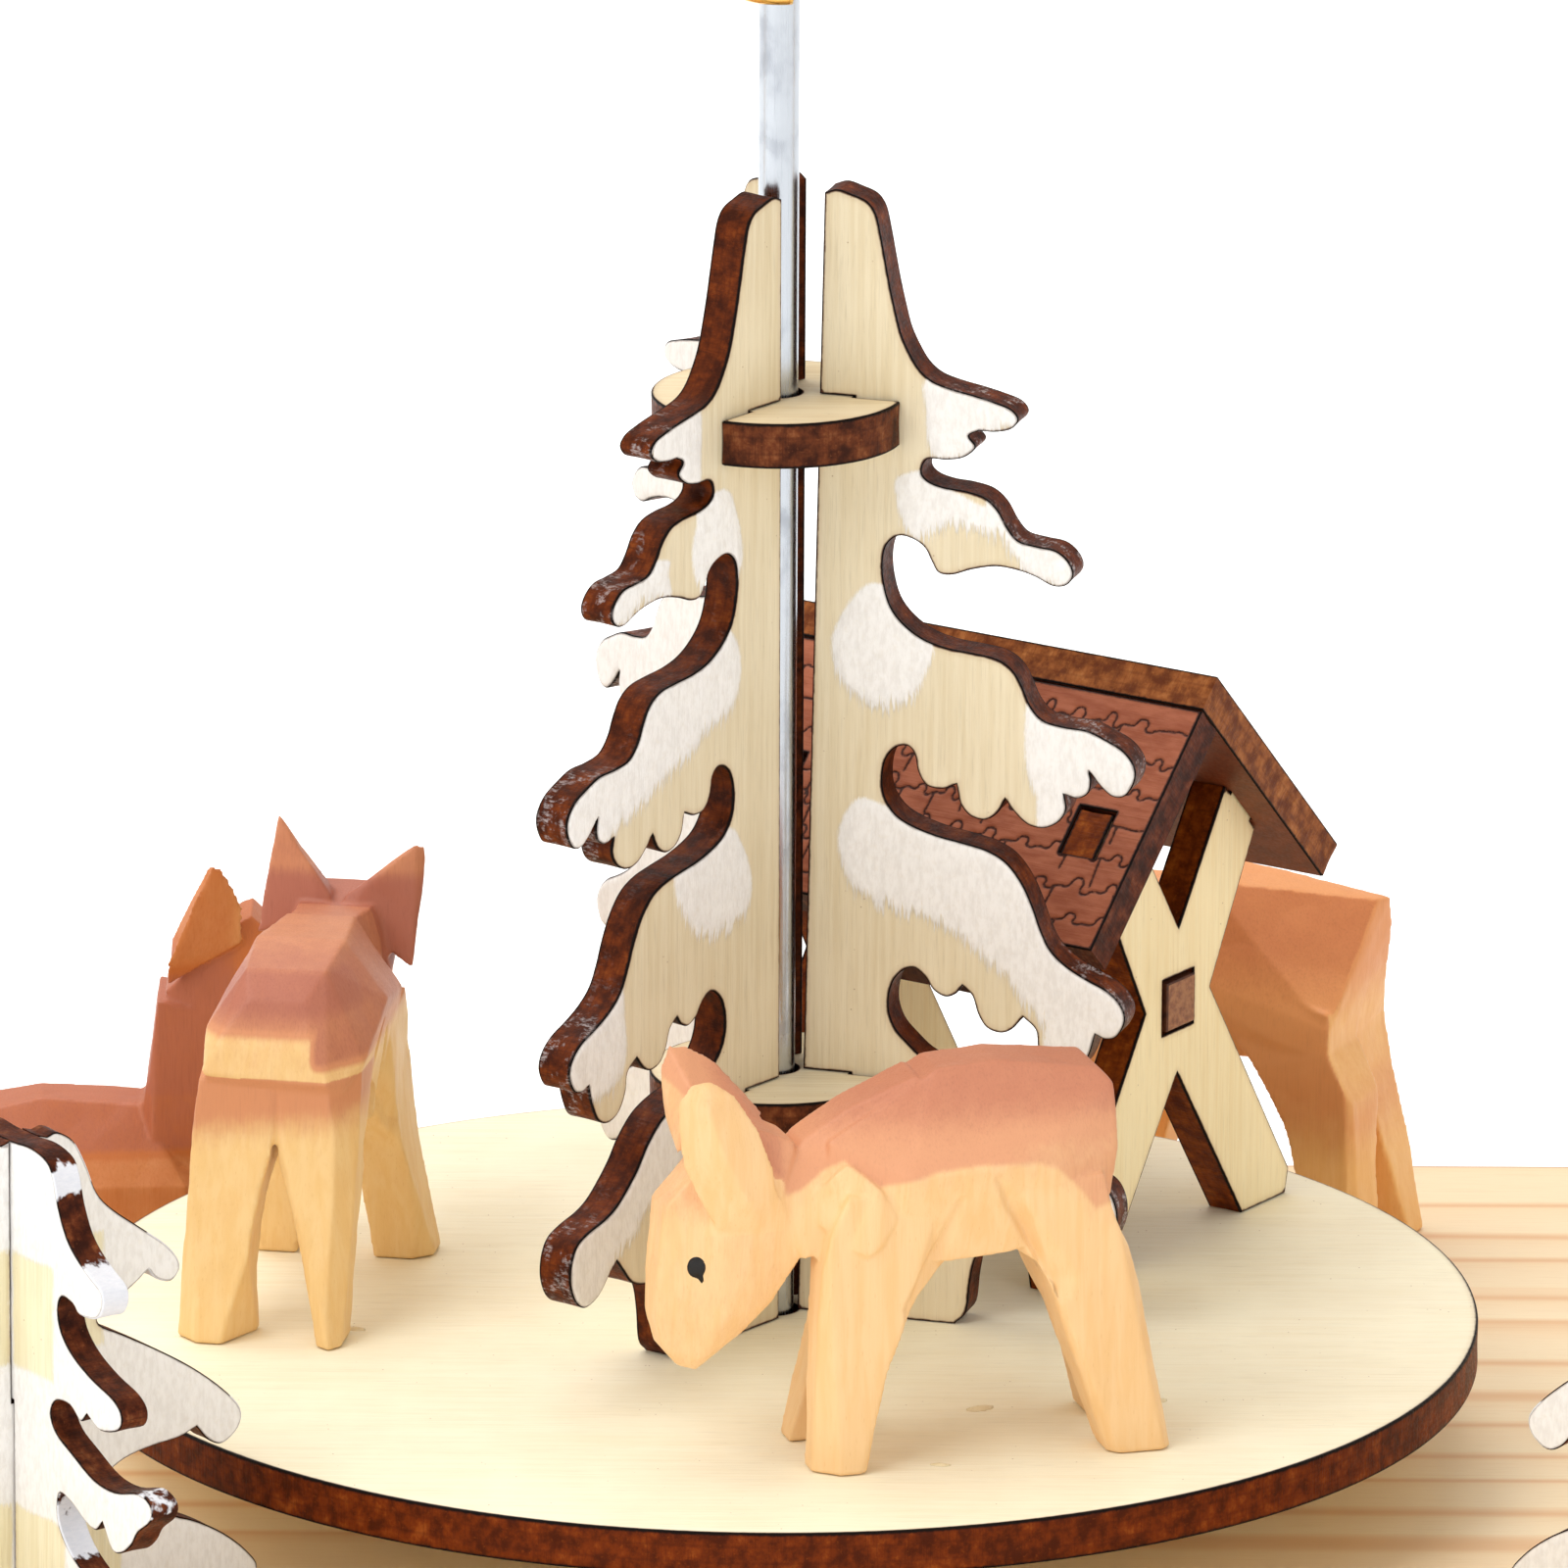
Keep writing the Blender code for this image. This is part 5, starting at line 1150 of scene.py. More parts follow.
def make_rack():
    hole = 2.5 + 0.36
    for tag, along in (("near", -RACK_PLATE_T / 2), ("far", -RACK_PITCH - RACK_PLATE_T / 2)):
        sheet_piece("rack_end_" + tag, (FACE_RACK, WALL_RACK), "rotor",
                    rack_matrix(along, 0, 0, (0, 1, 0), (0, 0, 1)),
                    outline=rack_end_outline(), thickness=RACK_PLATE_T, spacing=(0.7, 0.7), rim=0.12, walls=4,
                    longest=0.6, wobble=0.10,
                    holes=[[(-hole, 25.4 - hole), (hole, 25.4 - hole), (hole, 25.4 + hole), (-hole, 25.4 + hole)]])
    beam_end = simple("beam_end_grain", (158, 104, 62), (118, 66, 36), 0.5, 1.2)
    beam_side = simple("beam_char", (96, 50, 26), (62, 28, 14), 0.5, 0.8)
    sheet_piece("rack_beam", (beam_end, beam_side), "rotor",
                rack_matrix(-(RACK_PITCH + RACK_PLATE_T) / 2, 0, 0, (0, 1, 0), (0, 0, 1)),
                outline=[(-2.5, 22.9), (2.5, 22.9), (2.5, 27.9), (-2.5, 27.9)],
                thickness=RACK_PITCH + RACK_PLATE_T + 0.8, spacing=(0.5, 0.5), rim=0.15, walls=20, longest=0.5)
    for tag, side, length, start in (("far", 1, ROOF_SLOPE, 0.0), ("near", -1, ROOF_SLOPE - ROOF_T - 0.12, ROOF_T + 0.12)):
        mid, s2 = 4.3 - ROOF_L / 2, math.sqrt(0.5)
        across = side * (start * s2 - ROOF_T / 2 * s2)
        up = ROOF_RIDGE - start * s2 - ROOF_T / 2 * s2
        m = rack_matrix(mid, across, up, (1, 0, 0), (0, side, -1))
        holes = []
        for along in (-RACK_PLATE_T / 2, -RACK_PITCH - RACK_PLATE_T / 2):
            cx = along - mid
            t = (8.4 - GAP * s2) / s2 + 4.0 + ROOF_T - start
            hw, hh = RACK_PLATE_T / 2 + 0.12, 2.6 + 0.12
            holes.append([(cx - hw, t - hh), (cx + hw, t - hh), (cx + hw, t + hh), (cx - hw, t + hh)])
        lines = [spline_open(l, 3) for l in shingle_lines(ROOF_L, length, 3.0 if side < 0 else 4.2, 7 if side < 0 else 9)]
        outer = side

        def groove(x, y):
            best = np.full(x.shape, 9.0)
            for line in lines:
                ys = [p[1] for p in line]
                m = (y > min(ys) - 1.2) & (y < max(ys) + 1.2)
                if m.any():
                    best[m] = np.minimum(best[m], distance([line], x[m], y[m], closed=False))
            return np.minimum(best, 1.2)

        def relief(x, y, sd):
            if sd != outer:
                return np.zeros(x.shape)
            return -0.12 * ease(groove(x, y), 0.24, 0.05)

        def extras(x, y, z, sd, edge):
            g = np.full(x.shape, 1.2)
            m = sd == outer
            g[m] = groove(x[m], y[m])
            return {"groove": g}

        ob = sheet_piece("rack_roof_" + tag, (FACE_ROOF, WALL_ROOF_LIT_AND_SHADED[tag], UNDER_ROOF_SHADE), "rotor", m,
                         outline=[(-ROOF_L / 2, 0), (ROOF_L / 2, 0), (ROOF_L / 2, length), (-ROOF_L / 2, length)],
                         thickness=ROOF_T, holes=holes, spacing=(0.24, 0.8) if outer > 0 else (0.8, 0.24),
                         rim=0.14, walls=4, longest=0.4, relief=relief, extras=extras, wobble=0.12)
        # The lower faces take the third material, the painted shade under the roof.
        mesh = ob.data
        loc = np.zeros(len(mesh.vertices) * 3, np.float32)
        mesh.attributes["loc"].data.foreach_get("vector", loc)
        z = loc.reshape(-1, 3)[:, 2]
        for p in mesh.polygons:
            if p.material_index == 0 and z[p.vertices[0]] * outer < 0:
                p.material_index = 2


# ================================================================ small trees
SMALL_A = [(7.6, SEAT, C), (8.4, 2.6), (11.4, 2.2), (13.4, 3.6, C), (16.6, 1.7), (18.6, 1.9),
           (20.4, 3.2, C), (22.2, 1.7), (25.0, 1.9), (26.4, 3.9), (25.0, 6.0), (22.4, 8.2), (19.3, 10.0),
           (16.8, 11.0), (12.6, 13.0), (9.6, 14.8), (9.2, 16.5), (11.2, 17.8), (14.4, 18.5), (17.4, 18.8),
           (19.4, 19.5, C), (20.8, 17.9), (22.5, 17.3), (24.3, 18.6), (24.5, 20.5), (22.4, 22.9), (18.9, 25.7),
           (14.8, 28.3), (10.9, 30.5), (8.4, 31.9), (8.5, 33.4), (10.8, 34.3), (12.7, 35.4), (14.0, 36.4, C),
           (14.9, 35.3), (16.6, 34.8), (17.6, 35.8), (17.3, 37.1), (15.9, 38.7), (13.3, 40.7), (10.0, 43.2),
           (8.2, 45.2), (7.0, 48.2), (5.6, 50.8), (3.8, 52.0), (1.8, 52.1)]
SMALL_B = [(7.6, SEAT, C), (8.6, 2.6), (13.0, 2.0), (16.0, 3.8, C), (19.5, 2.0), (23.6, 2.2),
           (25.5, 3.9), (24.4, 6.2), (21.2, 8.7), (17.4, 10.7), (13.8, 12.2), (11.2, 13.8), (9.6, 15.8),
           (9.3, 17.6), (9.8, 19.0), (11.8, 18.5), (14.2, 17.3), (16.0, 17.0), (17.2, 18.1, C), (18.8, 15.8),
           (20.6, 16.0), (22.3, 17.3), (23.4, 18.8), (25.6, 20.5), (25.8, 22.0), (23.6, 22.8), (19.5, 21.8),
           (15.8, 22.0), (12.1, 23.5), (9.2, 24.9), (8.2, 26.6), (9.2, 28.1), (11.6, 28.3), (13.4, 27.2),
           (14.6, 28.2, C), (16.8, 27.2), (20.1, 28.1), (20.7, 29.7), (19.2, 31.0), (15.6, 32.0),
           (12.3, 33.4), (10.2, 35.2), (9.6, 37.3), (10.3, 38.8), (12.2, 38.6), (13.4, 37.8), (16.3, 38.2),
           (17.5, 39.7), (17.2, 41.2), (15.2, 42.2), (13.0, 43.4), (11.2, 45.0), (9.8, 47.6), (9.0, 50.2),
           (7.8, 51.7), (5.0, 52.3), (1.8, 52.1)]


def small_tree_outline(half, slot_from_top):
    w = SMALL_T / 2 + 0.1
    left = [(-p[0], *p[1:]) for p in reversed(half)]
    if slot_from_top:
        middle = [(w, 52.1, C), (w, 25.9, C), (-w, 25.9, C), (-w, 52.1, C)]
        return half[:-1] + [(2.6, 51.8, C)] + middle + [(-2.6, 51.8, C)] + left[1:]
    return [(-w, SEAT, C), (-w, 26.1, C), (w, 26.1, C), (w, SEAT, C)] + half + left


def between(v, low, high):
    return np.minimum(v - low, high - v)


def small_tree_values(down):
    """Paint on a small tree: almost all over, bare near the middle, in daubs on the cut edges."""
    def extras(x, y, z, side, edge):
        p = np.stack([x * 0.14, y * 0.10, 3.0 * side + 0 * x], 1)
        q = np.stack([x * 0.5, y * 0.25, 5.0 + side + 0 * x], 1)
        r = np.abs(x)
        s = 1.6 - 1.5 * fbm(p, 2, 21) - 1.2 * (fbm(q, 2, 5) - 0.5) + 0.5
        middle = np.minimum(between(r, 1.9, 8.6), between(y, 30.0, 41.0)) * 0.9
        low = np.minimum(between(r, 1.9, 10.5), between(y, 3.0, 15.5)) * 0.9
        s = np.minimum(s, -np.maximum(np.maximum(middle, low), -3.0) + 0.5 * (fbm(q, 2, 8) - 0.5))
        if down:
            daub = np.maximum.reduce([np.minimum(r - 4.6, between(y, 46.4, 50.6)),
                                      np.minimum(r - 13.6, between(y, 34.6, 40.2)),
                                      np.minimum(r - 21.8, between(y, 17.6, 22.4))])
        else:
            daub = np.maximum.reduce([np.minimum(r - 6.5, between(y, 48.3, 51.2)),
                                      np.minimum(r - 12.4, between(y, 37.6, 42.9)),
                                      np.minimum(r - 22.6, between(y, 21.0, 23.6)) * 0.4,
                                      np.minimum(between(r, 8.8, 12.5), between(y, 12.8, 18.8))])
        return {"snow": np.clip(s, -4, 4), "streak": np.full(x.shape, 0.02), "tip": np.clip(daub, -6, 8)}
    return extras


def make_small_trees():
    def relief(x, y, side):
        p = np.stack([x * 0.7, y * 0.35, 2.0 * side + 0 * x], 1)
        return 0.14 * fbm(p, 3, 31)

    for tree, (tx, ty) in SMALL_TREES.items():
        here = Matrix.Translation((tx * MM, ty * MM, 0))
        mirror = -1 if tree.endswith("right") else 1
        for tag, half, ang, top in (("a", SMALL_A, 35.0, True), ("b", SMALL_B, -55.0, False)):
            sheet_piece("%s_panel_%s" % (tree, tag), (FACE_SMALL, WALL_SMALL), "base",
                        here @ upright(ang * mirror, 0.0, BASE_TOP),
                        outline=smooth(small_tree_outline(half, top), 4), thickness=SMALL_T,
                        spacing=(0.7, 0.7), rim=0.14, walls=3, longest=0.6, relief=relief,
                        extras=small_tree_values(5.6 if tag == "a" else 0.0), wobble=0.12)


# ================================================================ carved deer
F = 0.05


def both(points):
    return [p for x, y, z in points for p in ((x, y, z), (x, -y, z))]


def pair(points):
    return [points, [(x, -y, z) for x, y, z in points]]


class Slab:
    """A block sawn to a side outline, its faces following y = f(height), then trimmed by flat knife cuts."""

    def __init__(self, outline, inner, outer, mirror=False, cuts=()):
        self.outline, self.inner, self.outer, self.mirror, self.cuts = outline, inner, outer, mirror, cuts

    def mesh(self, bm):
        loop = tidy(self.outline, 1.2, True)
        got = delaunay_2d_cdt([Vector(p) for p in loop], [(k, (k + 1) % len(loop)) for k in range(len(loop))], [],
                              1, 1e-7)
        n = len(loop)
        flip = -1 if self.mirror else 1

        def face(steps):
            zs, ys = zip(*steps)
            return [bm.verts.new((x, flip * float(np.interp(z, zs, ys)), z)) for x, z in loop]

        low, high = face(self.inner), face(self.outer)
        for tri in got[2]:
            t = [got[3][v][0] for v in tri]
            bm.faces.new([high[v] for v in t])
            bm.faces.new([low[v] for v in reversed(t)])
        for k in range(n):
            j = (k + 1) % n
            bm.faces.new((low[k], low[j], high[j], high[k]))
        for point, normal in self.cuts:
            bmesh.ops.bisect_plane(bm, geom=bm.verts[:] + bm.edges[:] + bm.faces[:], dist=1e-6,
                                   plane_co=Vector(point), plane_no=Vector(normal).normalized(), clear_outer=True)
            bmesh.ops.holes_fill(bm, edges=[e for e in bm.edges if e.is_boundary], sides=0)


FORE_SIDE = [(14.0, 28.0), (15.9, 24.2), (16.6, 20.3), (16.9, 15.3), (17.1, 8.4), (17.4, F), (12.2, F), (12.0, 1.6),
             (11.4, 5.1), (10.2, 10.0), (8.7, 13.8), (6.8, 17.1), (4.3, 19.5), (1.7, 21.0), (1.4, 26.0)]
FORE_FAR = [(13.0, 28.0), (12.8, 22.0), (13.3, 17.1), (14.0, 12.2), (15.2, 6.3), (17.0, F), (11.7, F), (10.9, 5.1),
            (9.8, 10.0), (8.4, 13.8), (6.6, 17.1), (4.3, 19.5), (1.7, 21.0), (1.4, 26.0)]
HIND_SIDE = [(-2.6, 27.0), (-3.1, 20.8), (-5.0, 19.8), (-6.0, 18.0), (-7.0, 14.8), (-8.3, 10.7), (-9.8, 6.5),
             (-12.0, F), (-18.4, F), (-17.7, 3.8), (-16.3, 11.0), (-15.2, 17.0), (-14.1, 20.6), (-13.1, 22.6),
             (-12.2, 25.0), (-11.4, 28.6)]
HIND_FAR = [(-2.6, 27.0), (-3.1, 20.8), (-5.0, 19.8), (-6.6, 18.0), (-8.2, 14.8), (-10.2, 10.7), (-11.9, 6.5),
            (-13.5, F), (-18.6, F), (-17.8, 3.8), (-16.5, 11.0), (-15.4, 17.0), (-14.3, 20.6), (-13.2, 23.0),
            (-12.2, 25.0), (-11.4, 28.6)]
HIND_LEVEL = [(-2.6, 26.0), (-3.1, 20.8), (-5.0, 19.8), (-6.6, 18.0), (-8.6, 14.8), (-10.6, 10.7), (-11.8, 6.5),
              (-12.0, F), (-18.5, F), (-17.9, 3.8), (-16.6, 9.0), (-14.9, 15.0), (-13.7, 20.6), (-13.4, 25.8),
              (-9.0, 28.0)]
HIND_SWEPT = [(-1.6, 24.0), (-2.4, 22.0), (-3.4, 20.9), (-5.9, 17.0), (-7.3, 14.6), (-8.2, 12.0), (-8.9, 8.5),
              (-9.9, 4.0), (-11.0, F)]
SWEPT_NEAR = HIND_SWEPT + [(-16.8, F), (-16.1, 4.0), (-15.4, 8.2), (-14.8, 17.4), (-13.4, 20.1), (-12.2, 22.4),
                           (-11.9, 26.5), (-6.0, 28.0)]
SWEPT_FAR = HIND_SWEPT + [(-16.8, F), (-15.8, 4.4), (-15.0, 8.0), (-14.3, 10.6), (-13.3, 14.7), (-12.4, 18.8),
                          (-11.8, 21.9), (-11.6, 26.5), (-6.0, 28.0)]
INNER_HIND, OUTER_HIND = [(0, 3.7), (19.6, 0.25), (30, 0.2)], [(0, 8.5), (12, 8.1), (28, 7.9)]
INNER_FORE, OUTER_FORE = [(0, 3.4), (12, 2.9), (22, 2.0), (30, 1.0)], [(0, 8.1), (12, 7.5), (22, 7.2), (28, 7.2)]


def leg_cuts(side):
    """Chamfers along a foreleg and a hind leg on one side of the body."""
    fore = [((16.9, 6.4 * side, 10.0), (0.9, 1.0 * side, 0.0)), ((10.4, 7.6 * side, 8.0), (-1.0, 1.25 * side, -0.25))]
    hind = [((-9.1, 7.9 * side, 10.0), (0.95, 0.9 * side, -0.32)), ((-15.8, 7.7 * side, 11.0), (-0.97, 0.9 * side, 0.22)),
            ((-16.6, 4.6 * side, 6.0), (-0.8, -0.9 * side, 0.1))]
    return fore, hind


def legs(fore_near, fore_far, hind_near, hind_far):
    (fn, hn), (ff, hf) = leg_cuts(1), leg_cuts(-1)
    return [Slab(fore_near, INNER_FORE, OUTER_FORE, False, fn), Slab(fore_far, INNER_FORE, OUTER_FORE, True, ff),
            Slab(hind_near, INNER_HIND, OUTER_HIND, False, hn), Slab(hind_far, INNER_HIND, OUTER_HIND, True, hf)]


GRAZE_TORSO = both([(-11.9, 3.6, 37.9), (-13.2, 4.6, 36.6), (-13.2, 6.4, 30.4), (-12.6, 6.2, 25.8), (-10.0, 6.0, 22.5),
                    (-2.0, 2.8, 39.2), (-6.8, 8.1, 29.3), (-10.4, 7.5, 25.2), (-3.0, 8.4, 30.2), (-2.0, 6.4, 20.8),
                    (4.0, 2.8, 38.8), (8.0, 8.1, 29.4), (9.6, 6.0, 20.0), (15.4, 4.4, 24.2), (15.2, 4.0, 32.6)])
LEVEL_TORSO = [(-9.2, 4.0, 36.5), (-9.2, -3.9, 36.5), (-2.0, 4.4, 37.5), (-2.0, -4.4, 37.5), (7.6, 3.4, 37.0),
               (7.6, -3.4, 37.0), (-11.6, 3.4, 33.8), (-11.5, -2.4, 33.8), (-13.5, 6.6, 29.2), (-13.3, -3.2, 29.4),
               (-14.1, 7.6, 26.7), (-14.1, -4.9, 26.0), (-12.4, 6.6, 25.8), (-12.2, -6.4, 25.6), (-4.0, 8.4, 29.6),
               (-10.4, 8.0, 30.4), (-1.0, -8.5, 31.4), (-9.6, -7.8, 27.2), (-10.6, 5.6, 21.0), (-10.6, -5.6, 21.0),
               (-3.0, 6.4, 20.2), (-3.0, -6.4, 20.2), (10.6, 6.2, 20.0), (10.6, -6.2, 20.0), (15.4, 4.4, 24.2),
               (15.4, -4.4, 24.2), (15.2, 3.8, 32.0), (15.2, -3.8, 32.0), (9.0, 8.0, 29.6), (9.0, -8.0, 29.6)]
SWEPT_TORSO = [(3.5, -4.3, 38.3), (3.5, 4.3, 38.2), (-13.3, -5.3, 36.0), (-12.9, -3.1, 36.3), (-13.2, -6.0, 33.0),
               (-12.2, -6.9, 27.0), (-11.9, -7.4, 23.5), (-12.7, -1.2, 31.0), (-12.4, 3.8, 28.2), (-12.1, 7.6, 24.8),
               (-11.9, 7.9, 21.6), (-4.0, 8.3, 24.0), (-4.0, -8.4, 29.0), (-10.6, 5.6, 21.6), (-10.6, -5.6, 21.6),
               (-3.0, 6.4, 20.6), (-3.0, -6.4, 20.6), (9.0, 8.2, 30.0), (9.0, -8.2, 30.0), (9.4, 3.8, 37.2),
               (9.4, -3.8, 37.2), (10.6, 6.2, 20.0), (10.6, -6.2, 20.0), (15.4, 4.4, 24.2), (15.4, -4.4, 24.2),
               (15.2, 3.8, 32.0), (15.2, -3.8, 32.0)]
LEVEL_HEAD = both([(14.6, 4.0, 35.2), (15.2, 5.6, 29.0), (16.2, 4.0, 24.0), (21.8, 3.4, 36.6),
                   (23.2, 5.2, 31.8), (22.6, 4.0, 24.2), (27.6, 2.6, 34.0), (33.0, 2.0, 28.6), (33.4, 1.8, 25.2),
                   (31.0, 2.2, 23.0)])
LEVEL_NECK = both([(6.5, 3.2, 36.8), (8.5, 6.6, 26.4), (13.6, 4.6, 20.8), (17.6, 3.8, 35.6), (19.0, 4.4, 26.0)])

DEER = {
    "graze": [GRAZE_TORSO, *legs(FORE_SIDE, FORE_FAR, HIND_SIDE, HIND_FAR),
              # neck
              both([(6.0, 2.6, 38.2), (8.5, 7.0, 27.0), (13.0, 2.2, 35.2), (17.4, 2.2, 32.4),
                    (20.4, 4.0, 28.0), (18.0, 4.4, 21.2), (12.0, 6.0, 22.0)]),
              # head, with a ridge down each cheek
              both([(28.6, 2.3, 29.4), (31.2, 2.3, 26.7), (31.9, 2.2, 19.5), (31.9, 2.1, 15.6), (31.2, 1.8, 12.4),
                    (29.6, 1.5, 10.6), (27.8, 1.5, 10.0), (26.4, 2.9, 24.0), (26.3, 4.9, 23.4), (24.0, 4.6, 20.2),
                    (25.6, 3.9, 15.4), (27.2, 2.7, 11.4), (26.2, 1.7, 11.4), (23.3, 2.5, 13.8), (20.4, 3.2, 17.0),
                    (18.0, 3.6, 20.8), (20.2, 4.8, 27.2), (18.4, 3.0, 32.6), (24.0, 2.8, 35.0)]),
              # shoulder, ending in a small lip above the foreleg
              [(17.0, 4.8, 27.8), (13.9, 5.6, 30.9), (10.9, 7.5, 28.5), (9.4, 7.4, 25.4), (10.8, 7.8, 22.9),
               (12.2, 7.8, 21.8), (13.7, 7.45, 22.8), (14.7, 6.8, 24.0), (16.6, 5.2, 24.8), (16.6, 2.0, 26.0),
               (12.0, 2.0, 30.0), (8.0, 2.0, 25.0), (13.0, 2.0, 23.6)],
              # near ear
              [(27.7, 5.6, 40.3), (29.6, 5.5, 40.1), (30.7, 5.3, 38.2), (30.7, 5.2, 35.6), (30.0, 5.0, 31.4),
               (28.2, 4.7, 27.6), (26.4, 4.7, 24.6), (21.6, 4.5, 23.6), (20.3, 5.0, 27.4), (21.2, 5.4, 31.0),
               (22.6, 5.6, 34.8), (25.1, 5.7, 38.7), (28.2, 6.9, 37.8), (26.6, 7.1, 33.2), (24.0, 6.3, 28.2),
               (26.5, 3.0, 38.0), (28.0, 2.4, 31.0), (22.6, 2.4, 30.0), (24.0, 3.0, 35.0)],
              # far ear
              [(28.4, -6.2, 40.4), (29.4, -5.9, 38.2), (29.0, -5.0, 33.4), (26.6, -6.6, 40.2), (24.0, -6.4, 38.7),
               (21.5, -5.6, 36.0), (19.6, -4.2, 33.6), (20.4, -1.2, 33.0), (25.8, -1.4, 36.4), (29.0, -1.4, 31.0),
               (27.4, -1.8, 37.4), (25.4, -7.4, 34.6)]],
    "level": [LEVEL_TORSO, LEVEL_NECK, LEVEL_HEAD,
              Slab(HIND_LEVEL, [(0, 2.3), (6.4, 2.5), (10.5, 2.4), (15.2, 1.7), (18.5, 0.8), (30, 0.2)],
                   [(0, 9.8), (6, 9.5), (13, 9.0), (20, 8.8), (28, 8.0)], False,
                   [((-18.0, 4.4, 2.0), (-0.45, -0.89, -0.157)), ((-15.4, 8.9, 12.0), (-0.7, 0.7, 0.1)),
                    ((-9.0, 9.0, 10.0), (0.95, 0.9, -0.32))]),
              Slab(HIND_LEVEL, [(0, 4.4), (2.7, 3.9), (8.8, 2.7), (14.8, 0.9), (18, -0.3), (30, 0.2)],
                   [(0, 6.9), (6.8, 7.2), (12.8, 7.4), (24, 7.7), (28, 7.6)], True,
                   [((-13.9, -4.7, 24.0), (-0.63, -0.77, 0.156)), ((-17.8, -4.9, 4.0), (-0.8, 0.7, 0.0))]),
              Slab(FORE_SIDE, INNER_FORE, OUTER_FORE, False, leg_cuts(1)[0]),
              Slab(FORE_SIDE, [(0, 4.4), (8, 3.4), (22, 1.6), (30, 1.0)],
                   [(0, 10.4), (8.3, 8.8), (15.4, 7.7), (22, 7.2), (28, 7.4)], True,
                   [((11.0, -8.4, 6.0), (-1.0, -0.9, -0.2))]),
              [(15.4, 0.6, 34.8), (16.2, 8.3, 32.2), (19.4, 7.6, 31.0), (19.6, 1.0, 36.2), (17.3, 6.1, 44.2),
               (18.2, 6.3, 43.9), (16.0, 0.6, 36.4)],
              [(15.4, -0.6, 34.8), (16.0, -7.6, 29.4), (19.4, -7.2, 30.0), (19.6, -1.0, 36.2), (17.4, -7.8, 42.0),
               (18.2, -8.6, 41.6), (18.0, -8.7, 40.4), (16.0, -0.6, 36.4)]],
    "swept": [SWEPT_TORSO, LEVEL_NECK, LEVEL_HEAD,
              Slab(SWEPT_NEAR, INNER_HIND, [(0, 8.5), (12, 8.2), (22, 8.1), (28, 7.0)], False, [((-15.4, 7.2, 10.0), (-1.0, 0.9, 0.05))]),
              Slab(SWEPT_FAR, INNER_HIND, OUTER_HIND, True, [((-14.6, -7.9, 10.0), (-1.0, -0.9, 0.15))]),
              Slab(FORE_SIDE, INNER_FORE, OUTER_FORE, False, leg_cuts(1)[0]),
              Slab(FORE_SIDE, INNER_FORE, OUTER_FORE, True, leg_cuts(-1)[0]),
              *pair([(15.4, 0.6, 34.8), (16.2, 7.4, 31.0), (19.6, 6.8, 31.0), (19.8, 1.0, 36.2), (17.4, 6.8, 43.2),
                     (18.4, 7.2, 42.6), (16.0, 0.6, 36.4)])],
    "lying": [both([(-13.6, 3.6, 15.9), (-16.6, 6.6, 10.0), (-15.6, 7.2, F), (-6.0, 2.4, 17.2), (-2.0, 2.8, 18.4),
                    (-2.0, 9.0, 10.4), (0.0, 8.6, F), (8.0, 3.0, 17.8), (13.0, 7.6, 10.4),
                    (14.4, 6.2, F), (18.0, 3.6, 8.0)]),
              *pair([(4.0, 3.0, 8.0), (4.4, 8.2, 7.0), (3.6, 7.8, F), (24.0, 3.2, F), (24.2, 7.0, F),
                     (23.4, 3.6, 4.0), (23.6, 6.6, 3.8)]),
              *pair([(-15.0, 4.0, 9.6), (-14.0, 9.6, 8.0), (-14.6, 10.2, F), (-3.0, 9.2, 9.0),
                     (0.6, 5.0, F), (1.0, 10.0, F), (0.2, 9.4, 4.4)]),
              both([(8.4, 3.4, 16.6), (9.4, 5.4, 9.0), (18.2, 4.6, 10.4), (9.4, 4.6, 24.0), (10.0, 4.6, 29.4),
                    (18.8, 3.8, 26.8)]),
              both([(10.8, 3.4, 30.0), (12.4, 4.2, 26.2), (18.4, 3.6, 37.6), (19.6, 3.2, 38.2), (21.4, 4.2, 31.4),
                    (20.6, 3.4, 24.6), (29.0, 2.0, 28.6), (29.2, 1.8, 25.6), (26.8, 2.2, 23.8)]),
              [(10.9, 4.4, 30.4), (11.2, 6.7, 33.0), (17.6, 5.6, 34.6), (17.8, 2.6, 36.0), (15.0, 6.6, 40.6),
               (15.9, 6.4, 40.4), (12.6, 2.4, 33.0)],
              [(11.0, -4.6, 31.0), (11.1, -6.5, 33.8), (12.1, -6.9, 35.9), (14.1, -7.1, 41.0), (15.8, -6.8, 44.6),
               (16.5, -6.6, 44.5), (17.5, -6.2, 42.8), (18.8, -5.4, 39.8), (18.8, -4.4, 35.6), (18.0, -2.6, 36.0),
               (14.5, -3.6, 38.0), (12.6, -2.4, 33.0)]],
}


